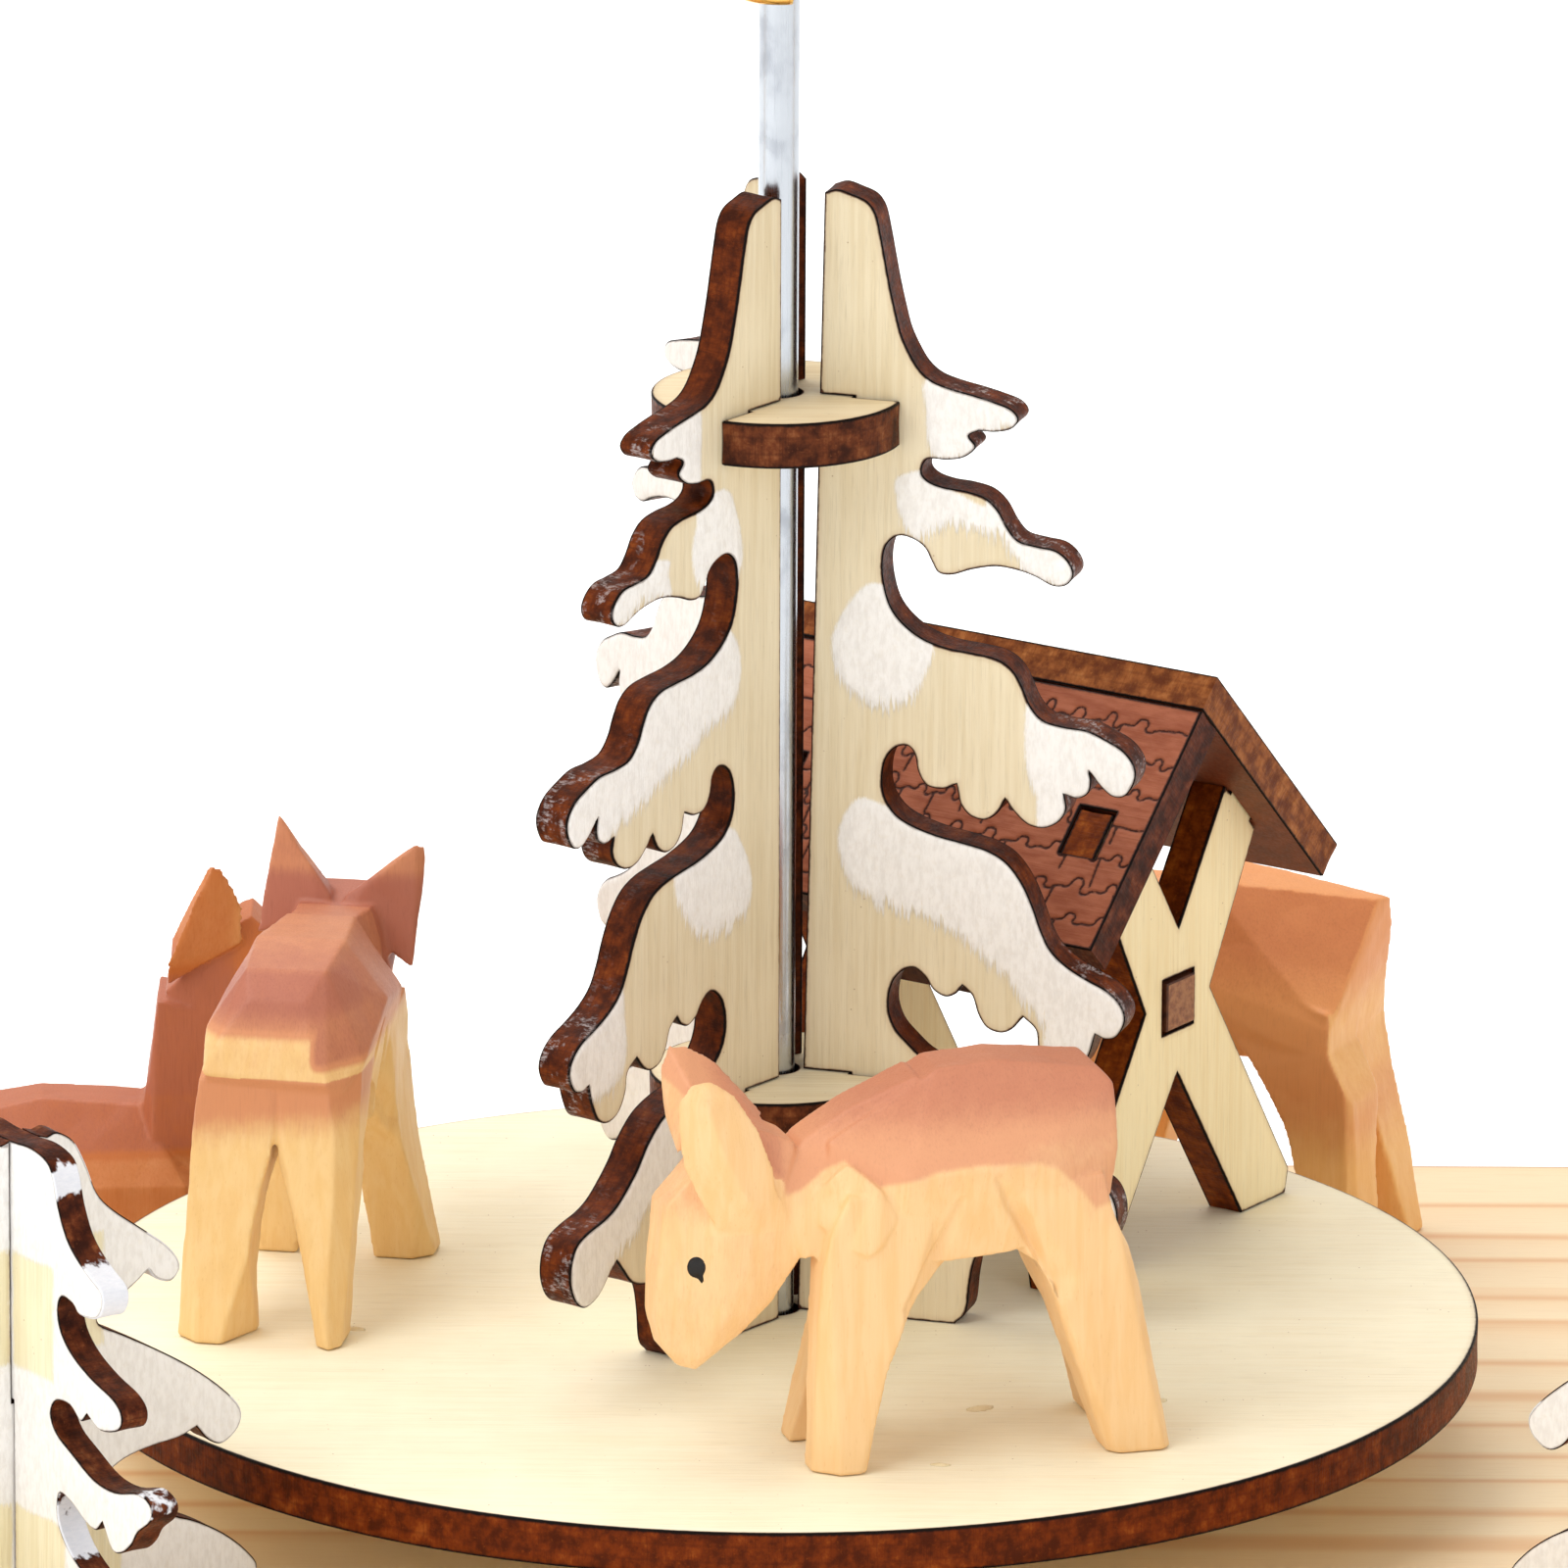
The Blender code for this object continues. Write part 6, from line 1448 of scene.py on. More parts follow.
def carve(name, blocks, voxel):
    """One closed knife-cut body from overlapping blocks, its edges slightly eased. Local mm."""
    joined = bmesh.new()
    for corners in blocks:
        bm = bmesh.new()
        if isinstance(corners, Slab):
            corners.mesh(bm)
        else:
            verts = [bm.verts.new(Vector(c)) for c in corners]
            hull = bmesh.ops.convex_hull(bm, input=verts)
            loose = [g for g in hull["geom_interior"] + hull["geom_unused"] if isinstance(g, bmesh.types.BMVert)]
            if loose:
                bmesh.ops.delete(bm, geom=list(set(loose)), context="VERTS")
        bmesh.ops.recalc_face_normals(bm, faces=bm.faces)
        part = bpy.data.meshes.new("part")
        bm.to_mesh(part)
        bm.free()
        joined.from_mesh(part)
        bpy.data.meshes.remove(part)
    mesh = bpy.data.meshes.new(name)
    joined.to_mesh(mesh)
    joined.free()
    ob = bpy.data.objects.new(name + "_tmp", mesh)
    bpy.context.scene.collection.objects.link(ob)
    mod = ob.modifiers.new("voxels", "REMESH")
    mod.mode = "VOXEL"
    mod.voxel_size = voxel
    soft = ob.modifiers.new("ease", "SMOOTH")
    soft.factor = 0.5
    soft.iterations = 1
    deps = bpy.context.evaluated_depsgraph_get()
    out = bpy.data.meshes.new_from_object(ob.evaluated_get(deps))
    bpy.data.objects.remove(ob)
    bpy.data.meshes.remove(mesh)
    out.name = name
    return out


def cuts(p, cell, depth, seed):
    """Shallow knife facets: each cell of a jittered lattice is planed a little differently."""
    i = np.floor(p / cell).astype(np.int64)
    best = np.full(len(p), 1e9)
    for dx in (-1, 0, 1):
        for dy in (-1, 0, 1):
            for dz in (-1, 0, 1):
                jx, jy, jz = i[:, 0] + dx, i[:, 1] + dy, i[:, 2] + dz
                c = np.stack([(jx + _corner_value(jx, jy, jz, seed)) * cell,
                              (jy + _corner_value(jx, jy, jz, seed + 1)) * cell,
                              (jz + _corner_value(jx, jy, jz, seed + 2)) * cell], 1)
                best = np.minimum(best, np.sum((p - c) ** 2, 1))
    return -depth * best / (cell * cell)


def scoop(p, line, into, side, wide, deep):
    """A scooped cut: steep along a line through 3-D points and running out flat on one side of it."""
    line = np.array(line, float)
    into = np.array(into, float)
    into /= np.linalg.norm(into)
    side = np.array(side, float)
    side /= np.linalg.norm(side)
    best = np.full(len(p), 1e9)
    amount = np.zeros(len(p))
    for k in range(len(line) - 1):
        a, b = line[k], line[k + 1]
        ab = b - a
        t = np.clip(((p - a) @ ab) / (ab @ ab), 0, 1)
        q = p - (a + t[:, None] * ab)
        flat = q - (q @ into)[:, None] * into
        d = np.linalg.norm(q, axis=1)
        s = flat @ side
        u = np.linalg.norm(flat, axis=1)
        along = (k + t) / (len(line) - 1)
        w = wide * (0.25 + 0.75 * along)
        val = np.where(s > 0, np.clip(1 - u / w, 0, 1), np.clip(1 - u / 0.45, 0, 1))
        val = np.where((q @ into > -2.5) & (q @ into < 3.5), val, 0)
        m = d < best
        best[m] = d[m]
        amount[m] = (val * (0.35 + 0.65 * along))[m]
    return p + (amount * deep)[:, None] * into


def eye_patch(tree, centre, side, wide, tall, tilt):
    """A small painted eye lying on the head: an oval with a short stroke below it. Local mm."""
    n, rings = 32, 5
    verts, faces = [], []
    ca, sa = math.cos(tilt), math.sin(tilt)

    def at(u, v, lift):
        x, z = centre[0] + u * ca - v * sa, centre[1] + u * sa + v * ca
        hit = tree.ray_cast(Vector((x, side * 30.0, z)), Vector((0, -side, 0)))
        y = hit[0].y if hit[0] is not None else side * 3.0
        return (x, y + side * lift, z)

    verts.append(at(0, 0, 0.15))
    for i in range(1, rings + 1):
        t = i / rings
        for j in range(n):
            a = 2 * math.pi * j / n
            tail = 1 + 0.75 * math.exp(-((a - math.radians(243)) / 0.20) ** 2)
            verts.append(at(wide / 2 * t * math.cos(a) * tail, tall / 2 * t * math.sin(a) * tail,
                            0.15 * math.cos(t * math.pi / 2) - 0.02))
    for j in range(n):
        faces.append((0, 1 + j, 1 + (j + 1) % n))
    for i in range(rings - 1):
        for j in range(n):
            a, b = 1 + i * n + j, 1 + i * n + (j + 1) % n
            faces.append((a, a + n, b + n, b))
    back = len(verts)
    verts.append(at(0, 0, -0.3))
    for j in range(n):
        faces.append((back, 1 + (rings - 1) * n + (j + 1) % n, 1 + (rings - 1) * n + j))
    return verts, faces


EYE_BLACK = simple("eye_paint", (16, 12, 11), (30, 22, 18), 0.22, 1.5, 0.01, Specular_IOR_Level=0.3)


def creases(p, sides=(1, -1)):
    """The hollows where the hind legs leave the belly and those behind the forelegs."""
    for y in sides:
        p = scoop(p, [(-0.6, 8.3 * y, 28.8), (-1.8, 8.2 * y, 26.0), (-3.9, 8.0 * y, 22.4), (-6.2, 8.0 * y, 18.0)],
                  (0, -y, 0), (-1, 0, 0.35), 2.6, 1.0)
        p = scoop(p, [(3.0, 8.2 * y, 26.8), (4.5, 8.0 * y, 23.4), (6.5, 7.6 * y, 19.6), (8.2, 7.4 * y, 16.2)],
                  (0, -y, 0), (-1, 0, -0.2), 2.4, 0.95)
    return p


def knife_swept(p):
    return creases(p, (-1,))


def no_knife(p):
    return p


KNIFE = {"graze": creases, "level": creases, "swept": knife_swept, "lying": no_knife}


def make_deer(name, pose, at, heading, body, tones, stain_and_painted_light, eye):
    mesh = carve(name, DEER[pose], 0.28)
    n = len(mesh.vertices)
    co = np.zeros(n * 3, np.float32)
    mesh.vertices.foreach_get("co", co)
    p = KNIFE[pose](co.reshape(-1, 3).astype(float))
    mesh.vertices.foreach_set("co", p.astype(np.float32).ravel())
    mesh.update()
    no = np.zeros(n * 3, np.float32)
    mesh.vertices.foreach_get("normal", no)
    nv = no.reshape(-1, 3).astype(float)
    seed = sum(ord(c) for c in name)
    move = cuts(p, 4.6, 0.20, seed) + 0.06 + 0.08 * (fbm(p * 0.35, 2, seed) - 0.5)
    p = p + nv * (move * ease(p[:, 2], 0.2, 1.2))[:, None]
    p[:, 2] = np.maximum(p[:, 2], 0.02)
    mesh.vertices.foreach_set("co", (p * MM).astype(np.float32).ravel())
    add_attribute(mesh, "loc", p)
    # Stain amount per point; for the level and swept deer it also holds painted shade and painted highlights.
    add_attribute(mesh, "stain_and_painted_light", stain_and_painted_light(p[:, 0], p[:, 1], p[:, 2], nv))
    mesh.update()
    mesh.materials.append(limewood(name + "_wood", *tones))
    where = Matrix.Translation(Vector(at) * MM) @ Matrix.Rotation(math.radians(heading), 4, "Z")
    tree = BVHTree.FromPolygons([Vector(v) for v in p], [tuple(f.vertices) for f in mesh.polygons])
    mesh.transform(where)
    mesh.shade_smooth()
    ob = place(bpy.data.objects.new(name + "_look", mesh), body, name)
    for side, word in ((1, "left"), (-1, "right")):
        verts, faces = eye_patch(tree, eye[0], side, eye[1], eye[2], eye[3])
        em = bpy.data.meshes.new("%s_eye_%s" % (name, word))
        local = np.array(verts)
        em.from_pydata((local * MM).tolist(), [], faces)
        add_attribute(em, "loc", local)
        em.transform(where)
        bm = bmesh.new()
        bm.from_mesh(em)
        bmesh.ops.recalc_face_normals(bm, faces=bm.faces)
        bm.to_mesh(em)
        bm.free()
        em.materials.append(EYE_BLACK)
        em.shade_smooth()
        place(bpy.data.objects.new("%s_eye_%s" % (name, word), em), body)
    return ob


def tint_graze(x, y, z, n):
    edge = np.interp(x, [-14, -10.5, -8.8, -6.8, -4.8, 1.1, 5.0, 8.0, 10.9, 13.9, 15.9, 17.8, 20.4, 24.0],
                     [26.0, 25.0, 27.2, 29.2, 30.1, 30.3, 30.1, 29.3, 28.6, 30.9, 29.9, 28.4, 27.3, 30.0])
    t = 0.42 * ease(z - edge, -0.35, 0.55) + 0.12 * ease(z - edge, -4.5, 0.0) + 0.40 * ease(z, 31.0, 37.0)
    t = t - 0.18 * ease(x, 4.0, -6.0) * ease(z, 35.0, 31.0) * ease(z - edge, -0.4, 0.6)
    crown = 0.80 * ease(z - (27.0 + (x - 19.0) * 0.9), 0.0, 2.0)
    crown = crown - 0.34 * ease(x, 23.0, 27.0)
    face = 0.10 + 0.12 * ease(z, 24.0, 28.0)
    ear = 0.10 * ease(z, 34.0, 40.0)
    head = np.where(y > 4.1, np.where(z > 24.4, ear, face), np.maximum(crown, face))
    k = ease(x, 19.0, 20.4)
    return t * (1 - k) + k * head


def tint_level_with_painted_light(x, y, z, n):
    # Below the rump's crease the stain rises towards the crease: painted shade under the overhanging rump.
    low = 0.04 + 0.50 * ease(z + 0.12 * y, 18.5, 25.0)
    # Less stain at the very top of the back: a painted highlight on the up-facing top.
    upper = 0.12 + 0.62 * ease(z, 29.6, 31.4) + 0.22 * ease(z, 31.0, 33.4) - 0.14 * ease(z, 35.6, 36.4)
    # Extra stain on the right flank (-y): painted shade on the side facing away from the key light.
    right = 0.80 * ease(-y, 2.6, 3.8) * ease(z, 26.6, 28.4)
    t = np.where(z > 26.3, np.maximum(upper, right), low)
    body = ease(x, -8.0, -1.0)
    # Towards the shoulders the stain rises with height and drops again at the very top: a painted highlight along the
    # ridge.
    t = t * (1 - body) + body * (0.05 + 0.75 * ease(z, 25.0, 31.0) - 0.10 * ease(z, 36.4, 37.2))
    return np.maximum(t, 1.15 * ease(x, 13.0, 15.4) * ease(z, 27.0, 30.0) - 0.85 * ease(z, 36.0, 42.5))


def tint_swept_with_painted_highlight(x, y, z, n):
    t = 0.06 + 0.44 * ease(z, 8.0, 20.0) + 0.40 * ease(z, 24.0, 33.0)
    # Less stain where the surface faces backwards low on the body and where it faces up at the top: painted highlights
    # on the rump facet and the top of the back.
    t = t - 0.34 * ease(-n[:, 0], 0.45, 0.8) * ease(z, 14.0, 20.0) - 0.30 * ease(n[:, 2], 0.6, 0.9) * ease(z, 33.0, 35.0)
    return np.maximum(t, 0.8 * ease(x, 13.0, 16.5) * ease(z, 24.0, 28.0))


def tint_lying(x, y, z, n):
    t = 0.30 + 0.55 * ease(z, 12.6, 14.2)
    t = np.maximum(t, 0.95 * ease(z, 16.0, 20.0))
    ear = ease(z, 31.0, 34.0) * ease(np.abs(y), 3.6, 4.8)
    return t - 0.62 * ear - 0.25 * ease(x, 17.0, 19.0) * ease(z, 28.0, 30.0)


def make_all_deer():
    make_deer("deer_grazing", "graze", (18.8, -41.1, DISC_TOP), 196.3, "rotor",
              ((198, 128, 98), (222, 158, 118), (243, 203, 150)), tint_graze, ((28.4, 21.1), 1.8, 2.4, 0.0))
    make_deer("deer_disc_left", "level", (-46.5, 4.3, DISC_TOP), 80.3, "rotor",
              ((176, 106, 84), (210, 142, 100), (238, 202, 142)), tint_level_with_painted_light, ((25.6, 30.2), 1.4, 1.9, 0.5))
    make_deer("deer_base_right", "swept", (49.1, 74.4, BASE_TOP), 155.0, "base",
              ((206, 126, 78), (232, 158, 98), (250, 200, 130)), tint_swept_with_painted_highlight, ((25.6, 30.2), 1.4, 1.9, 0.5))
    make_deer("deer_base_left", "lying", (-73.2, 61.0, BASE_TOP), 0.0, "base",
              ((176, 102, 74), (194, 112, 58), (216, 152, 98)), tint_lying, ((22.6, 29.6), 1.4, 1.9, 0.5))


# ================================================================ spindle, frame, base
def make_spindle():
    steel = metal("polished_steel", (190, 195, 202), (138, 144, 156), 0.24, "z", 0.5)
    lathe_piece("spindle", steel, "rotor",
                rounded([(0, HUB_Z + 3.0), (1.6, HUB_Z + 3.0, 0.2), (2.0, HUB_Z + 2.4, 0.2), (2.0, 190.0), (2.0, 150.0),
                         (2.0, 100.0), (2.0, 60.0), (2.0, 16.0, 0.3), (0.5, 12.0, 0.3), (0, 11.6)], 0.01), count=72)


def make_base():
    wood = pine("base_pine", (249, 228, 190), (243, 210, 166), (229, 181, 130), along="x", pitch=10.5)
    end = pine("base_pine_edge", (226, 190, 150), (206, 158, 116), (184, 132, 92), along="x", pitch=6.5, gloss=0.5, sway=0.35)
    sheet_piece("base_board", (wood, end), "base", Matrix.Translation((0, 0, (FOOT_H + BASE_T / 2) * MM)),
                outline=rounded_rect(BASE_X, BASE_Y, 26.0, 14), thickness=BASE_T, rim=2.2, rim_steps=6, walls=3,
                pockets=[(circle(6.0, 48), 8.6)], spacing=(3.0, 6.0), longest=2.6,
                relief=lambda x, y, s: 0.04 * (fbm(np.stack([x * 0.02, y * 0.3, x * 0], 1), 2, 9) - 0.5))
    foot = turned_wood("foot_wood", (150, 104, 66), (122, 80, 48), 0.45)
    for k, (sx, sy) in enumerate(((-1, -1), (1, -1), (-1, 1), (1, 1)), 1):
        lathe_piece("base_foot_%d" % k, foot, "base",
                    rounded([(0, FOOT_H), (FOOT_D / 2, FOOT_H, 0.6), (FOOT_D / 2, 1.6, 0.8),
                             (FOOT_D / 2 - 1.4, 0, 0.8), (0, 0)], 0.6), count=56, at=(sx * 112, sy * 70, 0))
    s = Shader("bearing_glass")
    glass = s.done(srgb(236, 244, 244), None, None, Roughness=0.04, Transmission_Weight=0.9, IOR=1.48)
    lathe_piece("bearing_cup", glass, "base",
                rounded([(0.0, 11.0), (1.2, 12.3, 0.4), (3.6, 16.6, 0.5), (5.2, 16.8, 0.4), (5.7, 16.2, 0.4),
                         (5.7, 9.2, 0.2), (5.4, 8.8, 0.2), (0.0, 8.8)], 0.3), count=56)


def make_frame():
    post = pine("post_pine", (235, 205, 165), (218, 176, 130), (196, 148, 102), along="z", pitch=3.0, gloss=0.36)
    for word, sx in (("left", -1), ("right", 1)):
        z0, z1 = BASE_TOP + SEAT, BAR_Z - 0.05
        prof = [(0, z1 + 6.0), (2.9, z1 + 6.0, 0.4), (3.0, z1, 0.1), (6.2, z1, 0.5), (6.6, z1 - 2.5, 1.2),
                (5.0, z1 - 5.0, 1.6), (4.3, z1 - 9.0, 3.0), (5.0, z1 - 40, 20), (5.2, z0 + 55, 25), (4.3, z0 + 18, 3.0),
                (5.6, z0 + 13, 2.0), (7.4, z0 + 8.0, 2.4), (7.6, z0 + 2.0, 1.6), (7.2, z0, 0.5), (3.0, z0, 0.1),
                (2.9, z0 - 7.0, 0.4), (0, z0 - 7.0)]
        lathe_piece("post_" + word, post, "base", rounded(prof, 0.5, 6), count=48, at=(sx * POST_X, 0, 0))
    bar_wood = pine("bar_pine", (235, 205, 165), (216, 172, 128), (196, 148, 102), along="x", pitch=4.0, gloss=0.36)
    bar_end = pine("bar_pine_edge", (226, 192, 150), (206, 160, 116), (186, 138, 92), along="x", pitch=2.2, gloss=0.4)
    sheet_piece("crossbar", (bar_wood, bar_end), "base", Matrix.Translation((0, 0, (BAR_Z + BAR_T / 2) * MM)),
                outline=rounded_rect(BAR_L, BAR_W, 1.2, 4), thickness=BAR_T, rim=1.2, rim_steps=5, walls=3,
                holes=[circle(3.0, 40)], spacing=(1.8, 1.8), longest=1.6)
    brass = metal("hook_brass", (222, 178, 96), (176, 132, 66), 0.2, "x", 0.5)
    cu = bpy.data.curves.new("guide_hook_look", "CURVE")
    cu.dimensions = "3D"
    cu.bevel_depth = 0.9 * MM
    cu.bevel_resolution = 6
    cu.use_fill_caps = True
    hz = DISC_TOP + 134.9
    pts = [(3.7 * math.cos(math.radians(-72 - k * 7.5)), 3.7 * math.sin(math.radians(-72 - k * 7.5)), hz)
           for k in range(25)]
    pts += [(-2.4, 4.9, hz + 0.2), (-4.2, 4.8, hz + 0.9), (-5.4, 3.8, hz + 2.0), (-5.4, 3.4, hz + 3.0),
            (-5.4, 3.4, BAR_Z + 3.4)]
    sp = cu.splines.new("POLY")
    sp.points.add(len(pts) - 1)
    for q, p in zip(sp.points, pts):
        q.co = (p[0] * MM, p[1] * MM, p[2] * MM, 1.0)
    tmp = bpy.data.objects.new("hook_tmp", cu)
    bpy.context.scene.collection.objects.link(tmp)
    mesh = bpy.data.meshes.new_from_object(tmp.evaluated_get(bpy.context.evaluated_depsgraph_get()))
    bpy.data.objects.remove(tmp)
    bm = bmesh.new()
    bm.from_mesh(mesh)
    bmesh.ops.remove_doubles(bm, verts=bm.verts, dist=1e-6)
    bmesh.ops.recalc_face_normals(bm, faces=bm.faces)
    bm.to_mesh(mesh)
    bm.free()
    co = np.zeros(len(mesh.vertices) * 3, np.float32)
    mesh.vertices.foreach_get("co", co)
    add_attribute(mesh, "loc", co.reshape(-1, 3) / MM)
    mesh.materials.clear()
    mesh.materials.append(brass)
    mesh.shade_smooth()
    place(bpy.data.objects.new("guide_hook_look", mesh), "base", "guide_hook")


def make_candle_holders():
    wood = turned_wood("holder_wood", (206, 152, 92), (178, 122, 68), 0.3)
    brass = metal("cup_brass", (226, 184, 104), (182, 138, 70), 0.22, "x", 0.45)
    for i, (cx, cy) in enumerate(CANDLES, 1):
        z0 = BASE_TOP + SEAT
        prof = [(0, z0 + 4.0), (8.2, z0 + 4.0, 0.3), (8.2, z0 + 17.7, 0.4), (10.0, z0 + 17.7, 0.8), (11.2, z0 + 16.0, 1.2),
                (11.0, z0 + 13.0, 1.8), (9.6, z0 + 9.5, 2.0), (9.4, z0 + 7.5, 1.4), (10.8, z0 + 4.5, 1.4),
                (11.5, z0 + 2.0, 1.0), (11.3, z0, 0.4), (0, z0)]
        lathe_piece("candle_holder_%d" % i, wood, "base", rounded(prof, 0.6, 5), count=72, at=(cx, cy, 0))
        zc = BASE_TOP + GAP + 4.0 + GAP
        cup = [(0, zc + 0.8), (6.9, zc + 0.8, 0.6), (6.9, zc + 14.6, 1.6), (11.8, zc + 14.6, 1.0), (14.6, zc + 16.0, 0.3),
               (14.8, zc + 15.4, 0.2), (11.9, zc + 13.9, 1.0), (7.9, zc + 13.9, 0.7), (7.8, zc, 0.6), (0, zc)]
        lathe_piece("candle_cup_%d" % i, brass, "base", rounded(cup, 0.4, 6), count=72, at=(cx, cy, 0))


# ================================================================ paddle wheel
def make_rotor():
    wood = turned_wood("rotor_hub_wood", (212, 160, 100), (184, 130, 76), 0.3)
    prof = [(0.0, HUB_Z + HUB_T / 2), (9.0, HUB_Z + HUB_T / 2, 0.5), (11.0, HUB_Z + HUB_T / 2 - 2.0, 1.2),
            (HUB_R, HUB_Z + 4.6, 1.4), (HUB_R, HUB_Z - 4.6, 1.4), (11.0, HUB_Z - HUB_T / 2 + 2.0, 1.2),
            (8.0, HUB_Z - HUB_T / 2, 0.6), (SHAFT_HOLE_R, HUB_Z - HUB_T / 2, 0.2), (SHAFT_HOLE_R, HUB_Z + 3.4, 0.1),
            (0.0, HUB_Z + 3.4)]
    lathe_piece("rotor_hub", wood, "rotor", rounded(prof, 0.4, 5), count=96)
    z = HUB_Z + HUB_T / 2 + SEAT
    lathe_piece("rotor_finial", turned_wood("finial_stain", (150, 44, 30), (118, 30, 20), 0.26), "rotor",
                rounded([(0, z + 14.2), (2.2, z + 13.8, 0.8), (3.4, z + 11.8, 1.0), (2.8, z + 9.6, 0.8), (1.9, z + 8.2, 0.5),
                         (3.6, z + 7.0, 0.6), (5.2, z + 4.8, 1.0), (5.4, z + 2.4, 1.0), (4.6, z, 0.4), (0, z)], 0.4, 6),
                count=56)
    face = ply_face("vane_wood", (238, 214, 172), (226, 198, 150), snow=False, along="x", burn=0.12,
                    burn_colour=(176, 132, 84))
    wall = simple("vane_edge", (206, 168, 118), (184, 142, 92), 0.55, 1.2)
    line = [(BLADE_R0, -11.5, C), (BLADE_R0 + 45, -16.0), (BLADE_R1 - 8, -19.0), (BLADE_R1 - 1.5, -15.0),
            (BLADE_R1, 0.0), (BLADE_R1 - 1.5, 15.0), (BLADE_R1 - 8, 19.0), (BLADE_R0 + 45, 16.0),
            (BLADE_R0, 11.5, C)]
    vane = sheet_mesh("vane", smooth(line, 10), VANE_T, spacing=(2.0, 2.0), rim=0.25, rim_steps=2, walls=1, longest=1.6)
    vane.materials.append(face)
    vane.materials.append(wall)

    x0, x1 = 8.2, BLADE_R0 + 14.0
    prof = rounded([(0, x1), (STEM_R, x1, 0.7), (STEM_R, x1 - 10), (STEM_R, 43.0), (STEM_R, 36.0), (STEM_R, 20.0),
                    (STEM_R, x0, 0.3), (0, x0)], 0.01, 4)
    dowel = lathe_mesh("dowel", prof, count=40)
    dowel.transform(Matrix.Rotation(math.pi / 2, 4, "Y"))
    tmp = bpy.data.objects.new("dowel_tmp", dowel)
    bm = bmesh.new()
    bmesh.ops.create_cube(bm, size=1.0, matrix=Matrix.Translation(((BLADE_R0 - 0.1 + 10.0) * MM, 0, 0))
                          @ Matrix.Diagonal((20.0 * MM, 8.0 * MM, (VANE_T + 0.16) * MM, 1)))
    cut_mesh = bpy.data.meshes.new("cut")
    bm.to_mesh(cut_mesh)
    bm.free()
    cutter = bpy.data.objects.new("cut_tmp", cut_mesh)
    for o in (tmp, cutter):
        bpy.context.scene.collection.objects.link(o)
    mod = tmp.modifiers.new("split", "BOOLEAN")
    mod.operation = "DIFFERENCE"
    mod.object = cutter
    mod.solver = "EXACT"
    stem = bpy.data.meshes.new_from_object(tmp.evaluated_get(bpy.context.evaluated_depsgraph_get()))
    bpy.data.objects.remove(tmp)
    bpy.data.objects.remove(cutter)
    co = np.zeros(len(stem.vertices) * 3, np.float32)
    stem.vertices.foreach_get("co", co)
    c = co.reshape(-1, 3) / MM
    old = stem.attributes.get("loc")
    if old is not None:
        stem.attributes.remove(old)
    add_attribute(stem, "loc", np.stack([c[:, 2], c[:, 1], c[:, 0]], 1))
    stem.materials.clear()
    stem.materials.append(turned_wood("stem_wood", (220, 182, 130), (196, 152, 100), 0.4))
    stem.shade_smooth()
    stem.set_sharp_from_angle(angle=math.radians(40))
    for i in range(N_BLADES):
        m = (Matrix.Translation((0, 0, HUB_Z * MM)) @ Matrix.Rotation(2 * math.pi * i / N_BLADES, 4, "Z")
             @ Matrix.Rotation(math.radians(BLADE_PITCH), 4, "X"))
        for word, src in (("vane", vane), ("stem", stem)):
            mesh = src.copy()
            mesh.transform(m)
            node = "%s_%d" % (word, i + 1)
            place(bpy.data.objects.new(node + "_look", mesh), "blade_%d" % (i + 1), node)


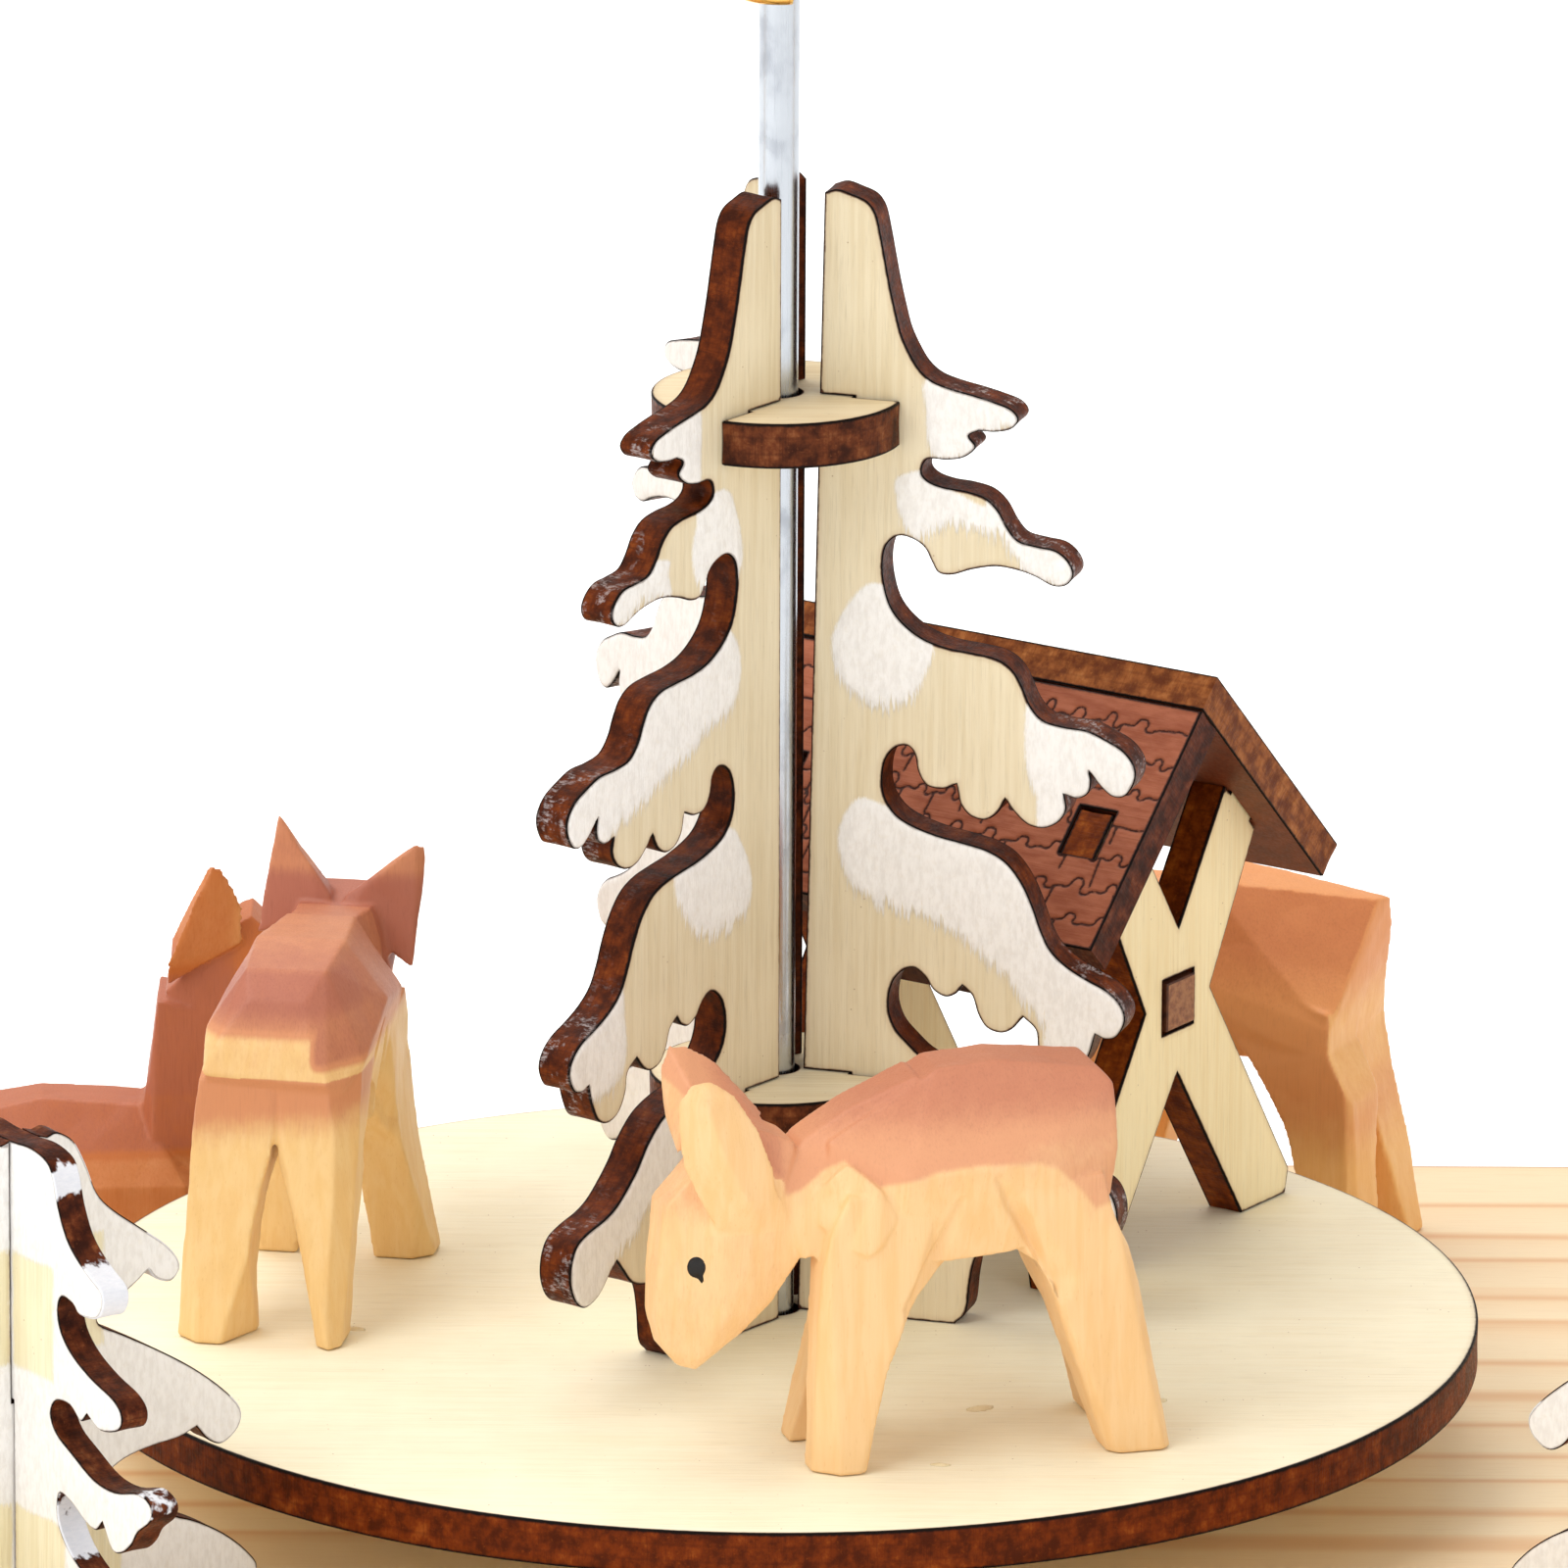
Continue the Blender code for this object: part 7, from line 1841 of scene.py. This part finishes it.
# ================================================================ stage
def make_stage():
    scene = bpy.context.scene
    scene.view_settings.view_transform = "Standard"
    scene.view_settings.look = "None"
    scene.view_settings.exposure = 0.0
    scene.view_settings.gamma = 1.0

    world = bpy.data.worlds.new("studio")
    scene.world = world
    world.use_nodes = True
    nt = world.node_tree
    nt.nodes.clear()
    out = nt.nodes.new("ShaderNodeOutputWorld")
    mix = nt.nodes.new("ShaderNodeMixShader")
    seen = nt.nodes.new("ShaderNodeBackground")
    seen.inputs[0].default_value = (1, 1, 1, 1)
    seen.inputs[1].default_value = 1.0
    lit = nt.nodes.new("ShaderNodeBackground")
    lit.inputs[0].default_value = (1.0, 0.995, 0.985, 1)
    lit.inputs[1].default_value = 0.67
    path = nt.nodes.new("ShaderNodeLightPath")
    nt.links.new(path.outputs["Is Camera Ray"], mix.inputs[0])
    nt.links.new(lit.outputs[0], mix.inputs[1])
    nt.links.new(seen.outputs[0], mix.inputs[2])
    nt.links.new(mix.outputs[0], out.inputs[0])

    s = Shader("floor_paper")
    geo = s.node("ShaderNodeNewGeometry")
    n = s.noise(geo.outputs["Position"], 40.0, 3.0)
    s.done(s.mix(n, (0.90, 0.90, 0.89, 1), (0.93, 0.93, 0.92, 1)), None, None, Roughness=0.9,
           Specular_IOR_Level=0.1)
    s.bsdf.inputs["Emission Color"].default_value = (1.0, 1.0, 1.0, 1)
    s.bsdf.inputs["Emission Strength"].default_value = 0.30
    me = bpy.data.meshes.new("floor")
    n, r = 96, 6.0
    verts = [(r * math.cos(2 * math.pi * k / n), r * math.sin(2 * math.pi * k / n), 0.0) for k in range(n)]
    me.from_pydata(verts, [], [tuple(range(n))])
    me.materials.append(s.mat)
    floor = bpy.data.objects.new("floor", me)
    scene.collection.objects.link(floor)

    def area(name, size, at, look, power, colour=(1, 1, 1)):
        data = bpy.data.lights.new(name, "AREA")
        data.shape = "RECTANGLE"
        data.size, data.size_y = size
        data.energy = power
        data.color = colour
        ob = bpy.data.objects.new(name, data)
        scene.collection.objects.link(ob)
        ob.location = at
        ob.rotation_euler = (Vector(look) - Vector(at)).to_track_quat("-Z", "Y").to_euler()

    area("key", (1.1, 0.9), (-0.95, -0.80, 1.25), (0, 0, 0.06), 12.5, (1.0, 0.99, 0.975))
    area("top", (1.4, 1.4), (-0.35, 0.45, 1.55), (0, 0, 0.03), 18.5)
    area("fill", (1.2, 1.0), (1.3, -1.5, 0.8), (0, 0, 0.06), 5.0)


make_tree()
make_disc()
make_rack()
make_small_trees()
make_all_deer()
make_spindle()
make_base()
make_frame()
make_candle_holders()
make_rotor()
make_stage()
